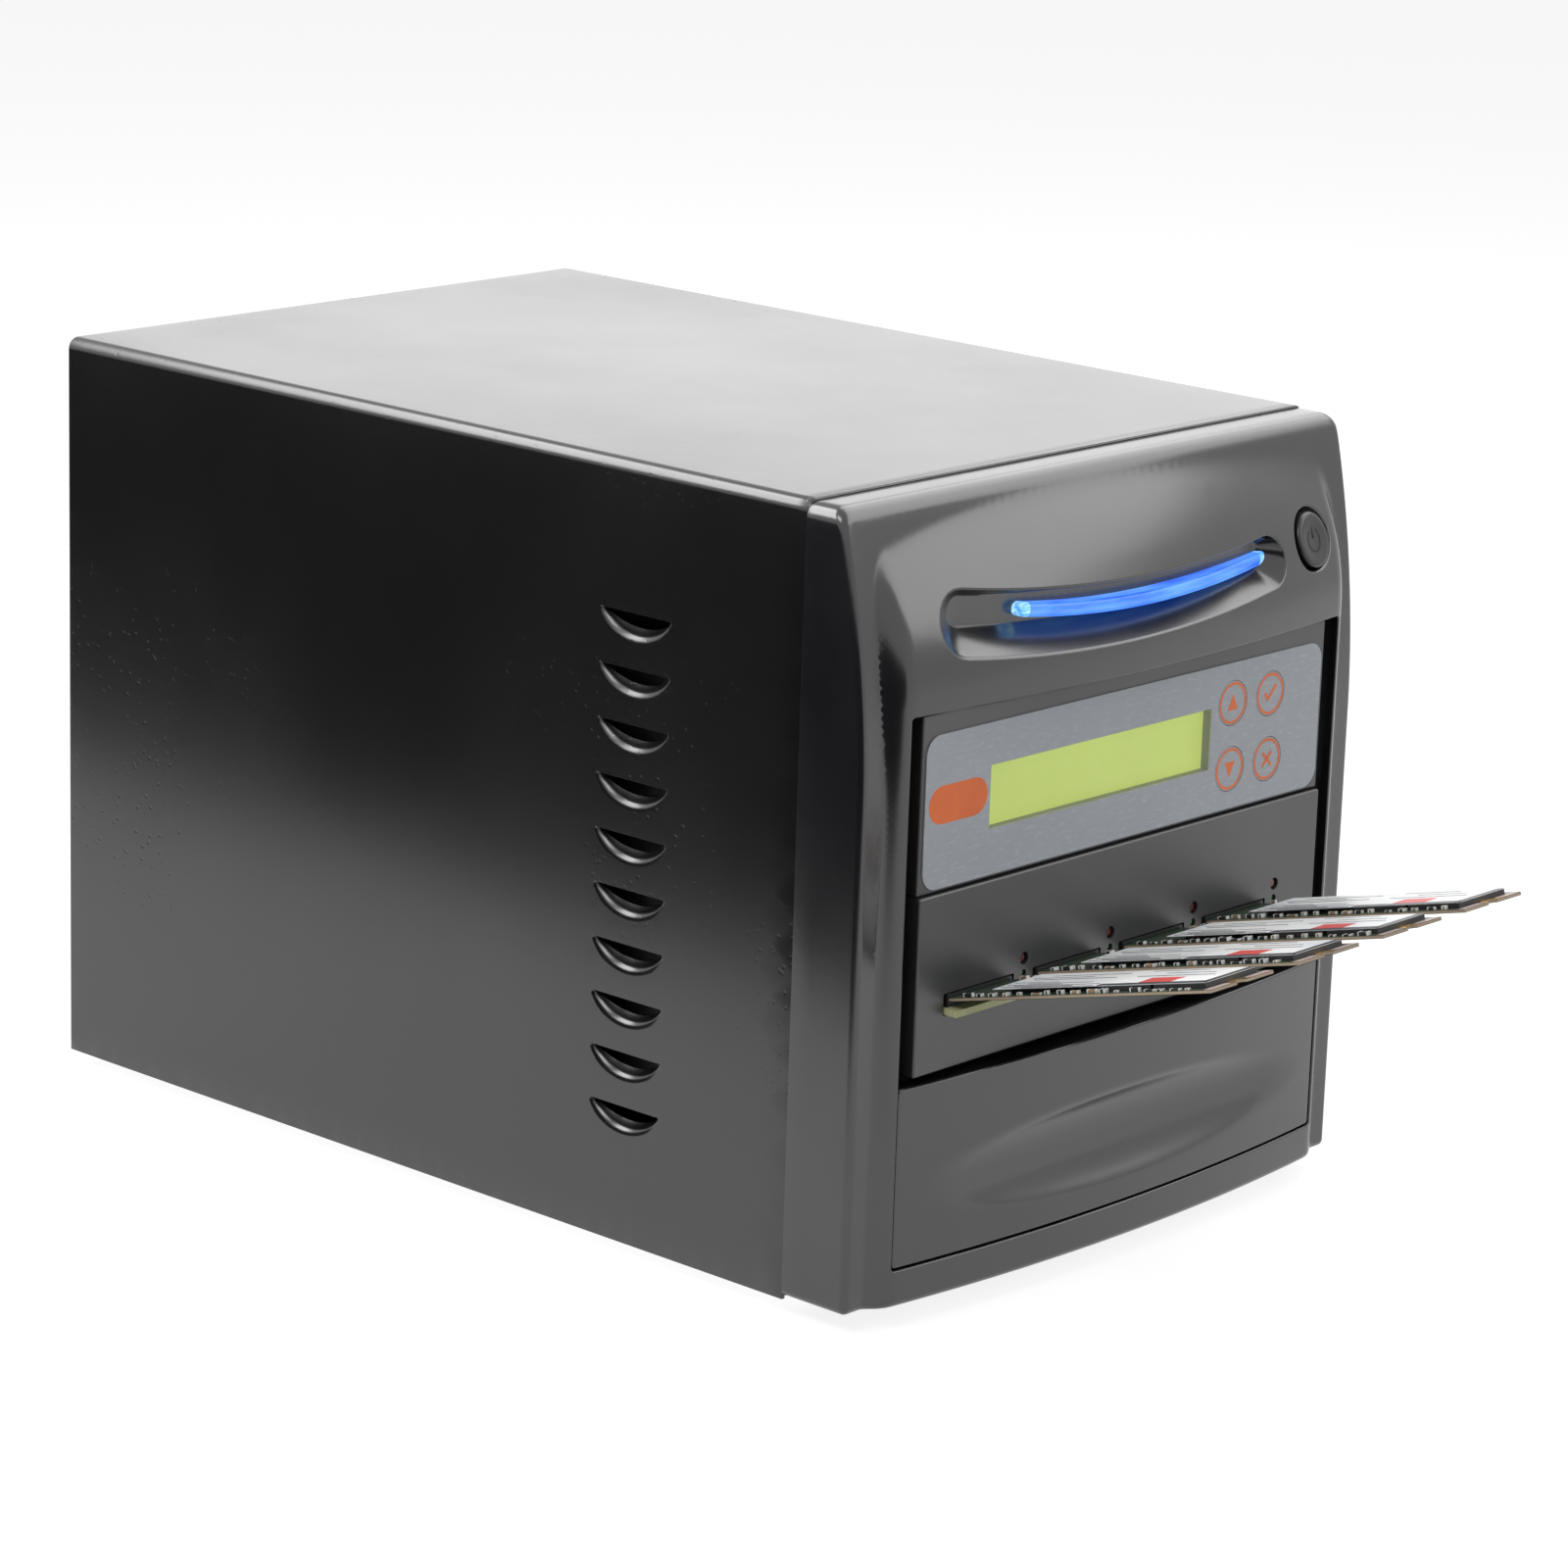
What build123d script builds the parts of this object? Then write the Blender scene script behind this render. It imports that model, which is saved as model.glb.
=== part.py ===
from build123d import *
import math
import os

# Sheet-metal case
CASE_WIDTH = 177.0
CASE_LENGTH = 249.0
CASE_HEIGHT = 185.0
COVER_SHEET = 1.0
COVER_EDGE_R = 3.0
COVER_PLAY = 0.2
CHASSIS_SHEET = 1.0
TRAY_LIP = 15.0
CORNER_CUT = 2.5
REAR_FLANGE = 10.0
REAR_TOP_FLANGE = 3.5

# Louvres pressed into both side walls
LOUVRE_PITCH = 13.0
LOUVRE_RISE = 11.0
LOUVRE_LOWEST_Z = 32.0
LOUVRE_FRONT_Y = 40.0
LOUVRE_LENGTH = 22.5
LOUVRE_DROP = 6.2

# Rubber feet
FOOT_HEIGHT = 4.0
FOOT_R = 10.0
FOOT_TAPER = 1.0
FOOT_INSET_X = 22.0
FOOT_INSET_Y = 26.0
FOOT_SCREW_R = 1.5
FOOT_SCREW_HEAD_R = 3.0
FOOT_SCREW_HEAD = 1.4
FOOT_POCKET_R = 3.6
FOOT_POCKET = 2.2

# Moulded front bezel
BEZEL_SIDE_REACH = 0.7
BEZEL_BOTTOM_Z = 1.0
BEZEL_TOP_STEP = 0.5
BEZEL_GAP = 0.8
BEZEL_WALL = 2.5
BEZEL_EDGE_R = 2.0
FRAME_FACE_Y = -19.5
FRAME_BEND_DROP = 71.5
FRAME_BEND_R = 284.0
POD_FACE_Y = -28.0
POD_BOW_R = 600.0
POD_SIDE_STEP = 6.7
POD_CORNER_R = 6.0
POD_BEND_DROP = 44.5
POD_BEND_R = 56.5
BEZEL_LIP = 2.0
BEZEL_POST_R = 3.0

# Bay opening in the bezel
OPENING_SIDE_GAP = 4.3
OPENING_BOTTOM_Z = 10.0
OPENING_TOP_GAP = 0.2
LEDGE = 1.8
LEDGE_Y = -19.5
OPENING_WALL = 1.8

# Scoop, light pipe and its lamp board
SCOOP_CENTRE_X = -6.0
SCOOP_INSET = 28.5
SCOOP_DROP = 27.7
SCOOP_SAG = 3.4
SCOOP_HEIGHT = 12.8
SCOOP_BACK_Y = -17.5
SCOOP_BACK_HEIGHT = 7.0
SCOOP_BACK_RISE = 1.9
SCOOP_BACK_INSET = 2.0
SCOOP_MOUTH_Y = -28.5
PIPE_CENTRE_X = 3.0
PIPE_INSET = 9.0
PIPE_RAISE = 0.8
PIPE_SAG = 4.4
PIPE_HEIGHT = 4.1
PIPE_FRONT_Y = -21.8
PIPE_BACK_Y = -8.2
PIPE_PLAY = 0.15
LAMP_BOARD_Y = -6.4
LAMP_HEIGHT = 1.5

# Power button
BUTTON_INSET = 15.1
BUTTON_RAISE = 1.2
BUTTON_R = 6.4
BUTTON_FACE_Y = -22.4
BUTTON_EDGE_R = 0.8
BUTTON_PLAY = 0.15
BUTTON_TRAVEL = 2.5
WELL_R = 8.2
WELL_FLOOR_Y = -17.6
WELL_BOSS_WALL = 2.0
WELL_BACK_Y = -12.0
BUTTON_FLANGE_R = 7.6
BUTTON_FLANGE = 1.0
BUTTON_STEM_R = 2.0
BUTTON_STEM = 1.2
SWITCH_BODY = 12.0
SWITCH_BODY_Y = -3.2
SWITCH_TIP_Y = -6.8
SWITCH_TIP_R = 1.5
SWITCH_BARREL_R = 5.0
SWITCH_BARREL = 8.0
SPRING_R = 3.8
SPRING_WIRE = 0.6

# Drive bays
CAGE_SIDE_GAP = 14.0
BAY_SIDE_PLAY = 0.5
BAY_TRAY_LENGTH = 150.0
CAGE_LENGTH = 175.0
CAGE_TOP_GAP = 1.0
CAGE_FLANGE = 10.0
FRAME_OPENING_MARGIN = 1.5
BAY_SCREW_R = 1.5
BAY_SCREW_HEAD_R = 2.8
BAY_SCREW_HEAD = 1.6
BAY_SCREW_ROWS = (47.4, 126.6)
BAY_SCREW_RISE = 10.0
SCREW_PLAY = 0.25

# Display faceplate in the top bay
LCD_PLATE_Y = -22.3
LCD_PLATE_DROP = 46.5
LCD_PLATE_HEIGHT = 41.5
PLATE_WALL = 2.0
PLATE_SIDE = 1.5
FILM = 0.3
FILM_INSET = 1.3
FILM_BOTTOM_MARGIN = 0.9
FILM_TOP_MARGIN = 5.05
FILM_CORNER_R = 4.5
WINDOW_LEFT_X = -49.6
WINDOW_RIGHT_X = 29.75
WINDOW_RISE = 11.7
WINDOW_HEIGHT = 14.8
WINDOW_PLAY = 0.1
LCD_FRAME_MARGIN = 3.4
LCD_FRAME_DEPTH = 2.7
LCD_FRAME_RIM_Z = 4.8
LCD_GLASS_DEPTH = 1.5
LCD_GLASS_SINK = 0.2
LCD_GLASS_OVERLAP = 0.4
PLATE_GAP = 0.1
BOARD = 1.6
LCD_BOARD_MARGIN_X = 6.3
LCD_BOARD_RISE = 2.2
LCD_BOARD_HEIGHT = 33.8
BOSS_R = 1.8

# Membrane keys
KEY_LEFT_X = 37.8
KEY_RIGHT_X = 52.1
KEY_RISE = 10.6
KEY_PITCH_Z = 16.0
KEY_R = 5.4
KEY_PLAY = 0.1
KEY_FLANGE_R = 6.2
KEY_FLANGE = 0.5
KEY_TRAVEL = 0.4
TACT_GAP = 0.5
TACT_TIP_R = 1.75
TACT_TIP = 1.0
TACT_BODY = 6.0
TACT_HEIGHT = 3.3
KEY_BOARD_LEFT_X = 31.8
KEY_BOARD_RIGHT_X = 58.6
KEY_BOARD_RISE = 2.7
KEY_BOARD_HEIGHT = 31.8
KEY_BOSS_OFFSET_Z = 13.7

# Slot panel in the middle bay
SLOT_PANEL_Y = -23.3
SLOT_PANEL_GAP = 0.2
SLOT_PANEL_HEIGHT = 41.7
SLOT_PANEL_WALL = 1.5
SLOT_WIDTH = 24.4
SLOT_RISE = 12.8
SLOT_HEIGHT = 5.2
RED_LAMP_RISE = 2.9
RED_LAMP_R = 1.4
GREEN_LAMP_DROP = 0.7
GREEN_LAMP_R = 0.85
LAMP_PLAY = 0.1
LAMP_TIP_SINK = 0.6
LAMP_LENGTH = 3.6
LAMP_HOLDER_WIDTH = 3.6
LAMP_HOLDER_DEPTH = 4.0

# Adapter boards and drive sockets
DRIVE_COUNT = 4
DRIVE_ROW_MARGIN = 22.0
FIRST_DRIVE_INSET = 21.5
ADAPTER_RISE = 1.9
ADAPTER_FRONT_Y = -26.8
ADAPTER_TONGUE_WIDTH = 23.4
ADAPTER_GAP = 1.0
ADAPTER_SHOULDER_Y = -20.8
ADAPTER_BACK_Y = 60.0
ADAPTER_SHIFT_X = 2.9
SOCKET_WIDTH = 22.2
SOCKET_HEIGHT = 3.0
SOCKET_FRONT_Y = -23.6
SOCKET_DEPTH = 8.0
SOCKET_PLAY = 0.1

# M.2 2280 drives, tilted up out of their sockets
DRIVE_TILT = 14.5
DRIVE_SEAT_Y = -19.5
DRIVE_LIFT = 0.7
DRIVE_LENGTH = 80.0
DRIVE_WIDTH = 22.0
DRIVE_BOARD = 0.8
TONGUE_LENGTH = 4.6
TONGUE_WIDTH = 19.85
NOTCH_R = 1.75
CHIP_HEIGHT = 1.2
MEMORY_WIDTH = 17.8
MEMORY_FAR_START = 62.5
MEMORY_NEAR_START = 47.0
MEMORY_LENGTH = 14.6
CONTROLLER_START = 20.0
CONTROLLER_SIDE = 14.0
BUFFER_START = 35.5
BUFFER_LENGTH = 9.5
BUFFER_WIDTH = 12.0
LABEL_START = 15.6
LABEL_END = 77.3
LABEL_WIDTH = 17.4
LABEL = 0.15
SMALL_PART_ROW = 1.2
SMALL_PART_WIDTH = 1.1
SMALL_PART_COUNT = 12
SMALL_PART_START = 9.0
SMALL_PART_PITCH = 4.1
SMALL_PART_LENGTHS = (1.2, 2.0, 0.9, 2.6)
SMALL_PART_HEIGHT = 0.7
END_PART_FROM_TIP = 2.0
END_PART_SIZE = 1.8
DRIVE_PULL = 12.0

# Trays inside the bays
TRAY_FLOOR_RISE = 1.0
CONTROLLER_TRAY_GAP = 2.0
SLOT_TRAY_GAP = 1.3
STANDOFF_R = 2.5
CONTROLLER_STANDOFF = 6.0
CONTROLLER_BOARD_WIDTH = 120.0
CONTROLLER_BOARD_FRONT_Y = 20.0
CONTROLLER_BOARD_BACK_Y = 130.0
STANDOFF_INSET = 6.0
PROCESSOR_SIDE = 28.0
PROCESSOR_HEIGHT = 2.4
SINK_HEIGHT = 9.0
SINK_SLOT = 2.0
SINK_FINS = 6
PORT_WIDTH = 14.0
PORT_DEPTH = 9.0
PORT_HEIGHT = 6.5
PORT_PITCH = 20.0

# Blank cover of the bottom bay
BLANK_PLAY = 0.3
BLANK_TOP_GAP = 1.8
BLANK_SINK = 0.3
BLANK_BACK_Y = -19.7
BLANK_WALL = 2.2
FINGER_RISE = 17.2
FINGER_HALF_LENGTH = 65.0
FINGER_AXIS_OUT = 13.1
FINGER_DEPTH = 4.0
CLIP_WIDTH = 12.0
CLIP_WALL = 1.2
CLIP_PLAY = 0.3

# Power supply on the cage top
SUPPLY_SIDE_GAP = 11.75
SUPPLY_WIDTH = 81.5
SUPPLY_HEIGHT = 40.5
SUPPLY_LENGTH = 150.0
SUPPLY_SHEET = 0.8
SUPPLY_WINDOW_MARGIN = 3.0
SUPPLY_BOARD_RISE = 3.0
CAPACITOR_R = 9.0
VENT_COUNT = 7
VENT_PITCH = 4.0
VENT_WIDTH = 2.2
VENT_HEIGHT = 26.0
VENT_OFFSET_X = -24.0

# Mains inlet
INLET_OFFSET_X = 22.2
INLET_FLANGE_WIDTH = 30.0
INLET_FLANGE_HEIGHT = 23.0
INLET_FLANGE = 2.0
INLET_BODY_WIDTH = 27.2
INLET_BODY_HEIGHT = 19.8
INLET_DEPTH = 17.0
INLET_MOUTH_WIDTH = 24.6
INLET_MOUTH_HEIGHT = 16.8
INLET_CORNER = 4.0
INLET_FLOOR = 2.0
PIN_WIDTH = 2.0
PIN_HEIGHT = 4.0
PIN_LENGTH = 11.5
PIN_PITCH = 7.0
PIN_RAISE = 2.0

# Rocker switch
ROCKER_OFFSET_X = -1.8
ROCKER_FLANGE_WIDTH = 15.0
ROCKER_FLANGE_HEIGHT = 21.0
ROCKER_BODY_WIDTH = 13.0
ROCKER_BODY_HEIGHT = 19.2
ROCKER_DEPTH = 14.0
ROCKER_MOUTH_WIDTH = 10.4
ROCKER_MOUTH_HEIGHT = 16.4
ROCKER_MOUTH_DEPTH = 11.0
ROCKER_PADDLE_WIDTH = 10.0
ROCKER_PADDLE_HEIGHT = 14.0
ROCKER_PIVOT_DEPTH = 4.0
ROCKER_RISE = 1.0
ROCKER_DIP = 0.9
ROCKER_HUB_R = 3.2
ROCKER_PIN_R = 1.2
ROCKER_PIN = 1.0
PIVOT_PLAY = 0.05
ROCKER_TILT = 10.0

# Case fan behind the rear panel
FAN_X = 0.0
FAN_Z = 72.0
FAN_SIZE = 80.0
FAN_DEPTH = 25.0
FAN_CORNER_R = 4.0
FAN_BORE_R = 38.0
FAN_FLANGE = 4.0
FAN_DUCT_WALL = 1.8
FAN_HOLE_PITCH = 71.5
FAN_HOLE_R = 2.15
FAN_BASE_R = 17.0
FAN_BASE = 3.0
FAN_STRUT_WIDTH = 4.0
FAN_STRUT_COUNT = 4
FAN_SLEEVE_R = 4.5
FAN_SHAFT_R = 1.5
FAN_SHAFT_PLAY = 0.05
HUB_R = 17.5
HUB_WALL = 2.0
HUB_FRONT_GAP = 1.5
HUB_BACK_GAP = 1.5
BLADE_COUNT = 7
BLADE_TIP_GAP = 1.5
BLADE_CHORD_ROOT = 15.0
BLADE_CHORD_TIP = 22.0
BLADE_THICKNESS = 1.4
BLADE_PITCH_ROOT = 42.0
BLADE_PITCH_TIP = 28.0
GUARD_WIRE = 1.8
GUARD_OVERLAP = 0.2
GUARD_LIFT = 0.1
GUARD_EYE_OVERLAP = 0.4
GUARD_RINGS = (10.0, 19.0, 28.0, 37.0)
GUARD_EYE_R = 4.2

# Rear fasteners
REAR_SCREW_R = 2.0
REAR_SCREW_HEAD_R = 3.6
REAR_SCREW_HEAD = 1.6
REAR_SCREW_LENGTH = 6.0
REAR_SCREW_INSET_Z = 30.0

# Derived places: y counts from the cover's front edge, z from its bottom edge
HALF_WIDTH = CASE_WIDTH / 2
CHASSIS_HALF = HALF_WIDTH - COVER_SHEET - COVER_PLAY
CHASSIS_TOP_Z = CASE_HEIGHT - COVER_SHEET - COVER_PLAY
REAR_PANEL_BACK_Y = CASE_LENGTH - COVER_SHEET
REAR_PANEL_FRONT_Y = REAR_PANEL_BACK_Y - CHASSIS_SHEET
CAGE_OUTER_X = HALF_WIDTH - CAGE_SIDE_GAP
CAGE_INNER_X = CAGE_OUTER_X - CHASSIS_SHEET
BAY_PLATE_WIDTH = 2 * (CAGE_INNER_X - BAY_SIDE_PLAY)
BEZEL_WIDTH = CASE_WIDTH + 2 * BEZEL_SIDE_REACH
BEZEL_TOP_Z = CASE_HEIGHT - BEZEL_TOP_STEP
FRAME_BEND_Z = BEZEL_TOP_Z - FRAME_BEND_DROP
POD_WIDTH = BEZEL_WIDTH - 2 * POD_SIDE_STEP
POD_BEND_Z = BEZEL_TOP_Z - POD_BEND_DROP
SCOOP_SPAN = POD_WIDTH - 2 * SCOOP_INSET
SCOOP_BACK_SPAN = SCOOP_SPAN - 2 * SCOOP_BACK_INSET
SCOOP_END_Z = BEZEL_TOP_Z - SCOOP_DROP
PIPE_SPAN = SCOOP_SPAN - 2 * PIPE_INSET
PIPE_END_Z = SCOOP_END_Z + PIPE_RAISE
BUTTON_X = POD_WIDTH / 2 - BUTTON_INSET
BUTTON_Z = SCOOP_END_Z + BUTTON_RAISE
LCD_PLATE_TOP_Z = BEZEL_TOP_Z - LCD_PLATE_DROP
LCD_PLATE_BOTTOM_Z = LCD_PLATE_TOP_Z - LCD_PLATE_HEIGHT
OPENING_WIDTH = BAY_PLATE_WIDTH + 2 * OPENING_SIDE_GAP
OPENING_TOP_Z = LCD_PLATE_TOP_Z + OPENING_TOP_GAP
CAGE_TOP_Z = LCD_PLATE_TOP_Z + CAGE_TOP_GAP
LOUVRE_TOP_Z = CAGE_TOP_Z + LOUVRE_RISE
LOUVRE_COUNT = 1 + int((LOUVRE_TOP_Z - LOUVRE_LOWEST_Z) // LOUVRE_PITCH)
FILM_WIDTH = BAY_PLATE_WIDTH - 2 * FILM_INSET
FILM_BOTTOM_Z = LCD_PLATE_BOTTOM_Z + FILM_BOTTOM_MARGIN
FILM_TOP_Z = LCD_PLATE_TOP_Z - FILM_TOP_MARGIN
WINDOW_BOTTOM_Z = LCD_PLATE_BOTTOM_Z + WINDOW_RISE
WINDOW_TOP_Z = WINDOW_BOTTOM_Z + WINDOW_HEIGHT
LCD_BOARD_BOTTOM_Z = LCD_PLATE_BOTTOM_Z + LCD_BOARD_RISE
LCD_BOARD_TOP_Z = LCD_BOARD_BOTTOM_Z + LCD_BOARD_HEIGHT
KEY_LOWER_Z = LCD_PLATE_BOTTOM_Z + KEY_RISE
KEY_UPPER_Z = KEY_LOWER_Z + KEY_PITCH_Z
KEY_BOARD_BOTTOM_Z = LCD_PLATE_BOTTOM_Z + KEY_BOARD_RISE
KEY_BOARD_TOP_Z = KEY_BOARD_BOTTOM_Z + KEY_BOARD_HEIGHT
SLOT_PANEL_TOP_Z = LCD_PLATE_BOTTOM_Z - SLOT_PANEL_GAP
SLOT_PANEL_BOTTOM_Z = SLOT_PANEL_TOP_Z - SLOT_PANEL_HEIGHT
SLOT_BOTTOM_Z = SLOT_PANEL_BOTTOM_Z + SLOT_RISE
SLOT_TOP_Z = SLOT_BOTTOM_Z + SLOT_HEIGHT
RED_LAMP_Z = SLOT_TOP_Z + RED_LAMP_RISE
GREEN_LAMP_Z = SLOT_TOP_Z - GREEN_LAMP_DROP
DRIVE_PITCH = (BAY_PLATE_WIDTH - DRIVE_ROW_MARGIN) / DRIVE_COUNT
FIRST_DRIVE_X = FIRST_DRIVE_INSET - BAY_PLATE_WIDTH / 2
LAMP_OFFSET_X = DRIVE_PITCH / 2
ADAPTER_TOP_Z = SLOT_BOTTOM_Z + ADAPTER_RISE
ADAPTER_WIDTH = DRIVE_PITCH - ADAPTER_GAP
DRIVE_SEAT_Z = ADAPTER_TOP_Z + DRIVE_LIFT
CONTROLLER_TRAY_TOP_Z = CAGE_TOP_Z - CONTROLLER_TRAY_GAP
SLOT_TRAY_TOP_Z = SLOT_PANEL_TOP_Z - SLOT_TRAY_GAP
BLANK_WIDTH = OPENING_WIDTH - 2 * BLANK_PLAY
BLANK_BOTTOM_Z = OPENING_BOTTOM_Z + BLANK_PLAY
BLANK_TOP_Z = SLOT_PANEL_BOTTOM_Z - BLANK_TOP_GAP
FINGER_Z = BLANK_BOTTOM_Z + FINGER_RISE
REAR_SCREW_HEIGHTS = (REAR_SCREW_INSET_Z, CASE_HEIGHT - REAR_SCREW_INSET_Z)
TILT = math.radians(DRIVE_TILT)
DRIVE_REACH = -DRIVE_SEAT_Y + DRIVE_LENGTH * math.cos(TILT) + DRIVE_BOARD / 2 * math.sin(TILT)
GUARD_DEPTH = 2 * GUARD_WIRE - GUARD_OVERLAP + GUARD_LIFT
REAR_REACH = REAR_PANEL_BACK_Y + GUARD_DEPTH
CASE_FRONT_Y = (DRIVE_REACH - REAR_REACH) / 2
CASE_BASE_Z = FOOT_HEIGHT
DRIVE_XS = [FIRST_DRIVE_X + DRIVE_PITCH * i for i in range(DRIVE_COUNT)]
SUPPLY_X = SUPPLY_SIDE_GAP + SUPPLY_WIDTH / 2 - HALF_WIDTH
SUPPLY_BOTTOM_Z = CAGE_TOP_Z + CHASSIS_SHEET
SUPPLY_MID_Z = SUPPLY_BOTTOM_Z + SUPPLY_HEIGHT / 2
SUPPLY_FRONT_Y = REAR_PANEL_FRONT_Y - SUPPLY_LENGTH
INLET_X = SUPPLY_X + INLET_OFFSET_X
ROCKER_X = SUPPLY_X + ROCKER_OFFSET_X


def facing_front(y):
    """Plane across the case at depth y: its x is the case's x, its y the height, it faces forward."""
    return Plane(origin=(0, CASE_FRONT_Y + y, CASE_BASE_Z), x_dir=(1, 0, 0), z_dir=(0, -1, 0))


def level(z):
    """Horizontal plane at height z: its x is the case's x, its y the depth."""
    return Plane(origin=(0, CASE_FRONT_Y, CASE_BASE_Z + z), x_dir=(1, 0, 0), z_dir=(0, 0, 1))


def lengthwise(x):
    """Upright plane along the case at x: its x is the depth, its y the height, its normal points to +X."""
    return Plane(origin=(x, CASE_FRONT_Y, CASE_BASE_Z), x_dir=(0, 1, 0), z_dir=(1, 0, 0))


def panel(left, right, low, high, mode=Mode.ADD):
    """Rectangle between four edges, for the sketch being drawn."""
    with Locations(((left + right) / 2, (low + high) / 2)):
        return Rectangle(right - left, high - low, mode=mode)


def finish(piece, name):
    """Name a finished piece and write it."""
    piece.part.label = name
    export_step(piece.part, f"parts/{name}.step")


os.makedirs("parts", exist_ok=True)

# Louvre: a circular segment turned a quarter turn about its straight edge
LOUVRE_MID_Y = LOUVRE_FRONT_Y + LOUVRE_LENGTH / 2


def louvre_quarter(side, grow):
    """Quarter of a lemon that hangs from the louvre's straight edge, grown by the sheet for its outside."""
    with BuildPart() as quarter:
        with BuildSketch(lengthwise(side * HALF_WIDTH)):
            with BuildLine():
                half = LOUVRE_LENGTH / 2 + grow
                ThreePointArc(
                    (LOUVRE_MID_Y - half, LOUVRE_TOP_Z),
                    (LOUVRE_MID_Y, LOUVRE_TOP_Z - LOUVRE_DROP - grow),
                    (LOUVRE_MID_Y + half, LOUVRE_TOP_Z),
                )
                Line((LOUVRE_MID_Y - half, LOUVRE_TOP_Z), (LOUVRE_MID_Y + half, LOUVRE_TOP_Z))
            make_face()
        edge_line = Axis((side * HALF_WIDTH, CASE_FRONT_Y, CASE_BASE_Z + LOUVRE_TOP_Z), (0, side, 0))
        revolve(axis=edge_line, revolution_arc=90)
    return quarter.part


LOUVRE_STEPS = [(0, 0, -LOUVRE_PITCH * i) for i in range(LOUVRE_COUNT)]

# Cover: folded shell of top and both sides, with a narrow flange round its back
with BuildPart() as top_cover:
    with BuildSketch(facing_front(CASE_LENGTH)) as shell_outline:
        panel(-HALF_WIDTH, HALF_WIDTH, 0, CASE_HEIGHT)
        fillet(shell_outline.vertices().group_by(Axis.Z)[-1], COVER_EDGE_R)
    extrude(amount=CASE_LENGTH)
    with BuildSketch(facing_front(REAR_PANEL_BACK_Y)) as hollow_outline:
        panel(
            COVER_SHEET - HALF_WIDTH, HALF_WIDTH - COVER_SHEET, -COVER_EDGE_R, CASE_HEIGHT - COVER_SHEET
        )
        fillet(hollow_outline.vertices().group_by(Axis.Z)[-1], COVER_EDGE_R - COVER_SHEET)
    extrude(amount=REAR_PANEL_BACK_Y, mode=Mode.SUBTRACT)
    with BuildSketch(facing_front(CASE_LENGTH)):
        flange_x = HALF_WIDTH - COVER_SHEET - REAR_FLANGE
        panel(-flange_x, flange_x, -COVER_EDGE_R, CASE_HEIGHT - COVER_SHEET - REAR_TOP_FLANGE)
    extrude(amount=COVER_SHEET, mode=Mode.SUBTRACT)
    REAR_SCREW_X = HALF_WIDTH - COVER_SHEET - REAR_FLANGE / 2
    with BuildSketch(facing_front(CASE_LENGTH)):
        for height in REAR_SCREW_HEIGHTS:
            with Locations((-REAR_SCREW_X, height), (REAR_SCREW_X, height)):
                Circle(REAR_SCREW_R + SCREW_PLAY)
    extrude(amount=COVER_SHEET, mode=Mode.SUBTRACT)
    for side in (-1, 1):
        dish = louvre_quarter(side, COVER_SHEET)
        hollow = louvre_quarter(side, 0)
        with Locations(*LOUVRE_STEPS):
            add(dish)
        with Locations(*LOUVRE_STEPS):
            add(hollow, mode=Mode.SUBTRACT)
finish(top_cover, "top_cover")

# Foot places, shared by the tray, the feet and their screws
FOOT_X = HALF_WIDTH - FOOT_INSET_X
FOOT_SPOTS = [
    (x, y) for x in (-FOOT_X, FOOT_X) for y in (FOOT_INSET_Y, CASE_LENGTH - FOOT_INSET_Y)
]

# Chassis tray: floor with two low side lips
with BuildPart() as chassis_tray:
    with BuildSketch(facing_front(REAR_PANEL_FRONT_Y)):
        panel(-CHASSIS_HALF, CHASSIS_HALF, 0, TRAY_LIP)
        panel(
            CHASSIS_SHEET - CHASSIS_HALF, CHASSIS_HALF - CHASSIS_SHEET, CHASSIS_SHEET, TRAY_LIP,
            mode=Mode.SUBTRACT,
        )
    extrude(amount=REAR_PANEL_FRONT_Y - CHASSIS_SHEET)
    with BuildSketch(level(0)):
        with Locations(*FOOT_SPOTS):
            Circle(FOOT_SCREW_R)
    extrude(amount=CHASSIS_SHEET, mode=Mode.SUBTRACT)
finish(chassis_tray, "chassis_tray")

# Front frame: steel plate behind the bezel, with the bay opening and a hole for the power switch
with BuildPart() as front_frame:
    with BuildSketch(facing_front(CHASSIS_SHEET)) as frame_outline:
        panel(-CHASSIS_HALF, CHASSIS_HALF, 0, CHASSIS_TOP_Z)
        chamfer(frame_outline.vertices().group_by(Axis.Z)[-1], CORNER_CUT)
        bay_half = CAGE_INNER_X + FRAME_OPENING_MARGIN
        panel(-bay_half, bay_half, OPENING_BOTTOM_Z, CAGE_TOP_Z, mode=Mode.SUBTRACT)
        with Locations((BUTTON_X, BUTTON_Z)):
            Circle(SWITCH_BARREL_R + SCREW_PLAY, mode=Mode.SUBTRACT)
    extrude(amount=CHASSIS_SHEET)
    with BuildSketch(facing_front(CHASSIS_SHEET + TRAY_LIP)):
        lip_half = CHASSIS_HALF - CORNER_CUT
        panel(-lip_half, lip_half, CHASSIS_TOP_Z - CHASSIS_SHEET, CHASSIS_TOP_Z)
    extrude(amount=TRAY_LIP)
finish(front_frame, "front_frame")

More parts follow.
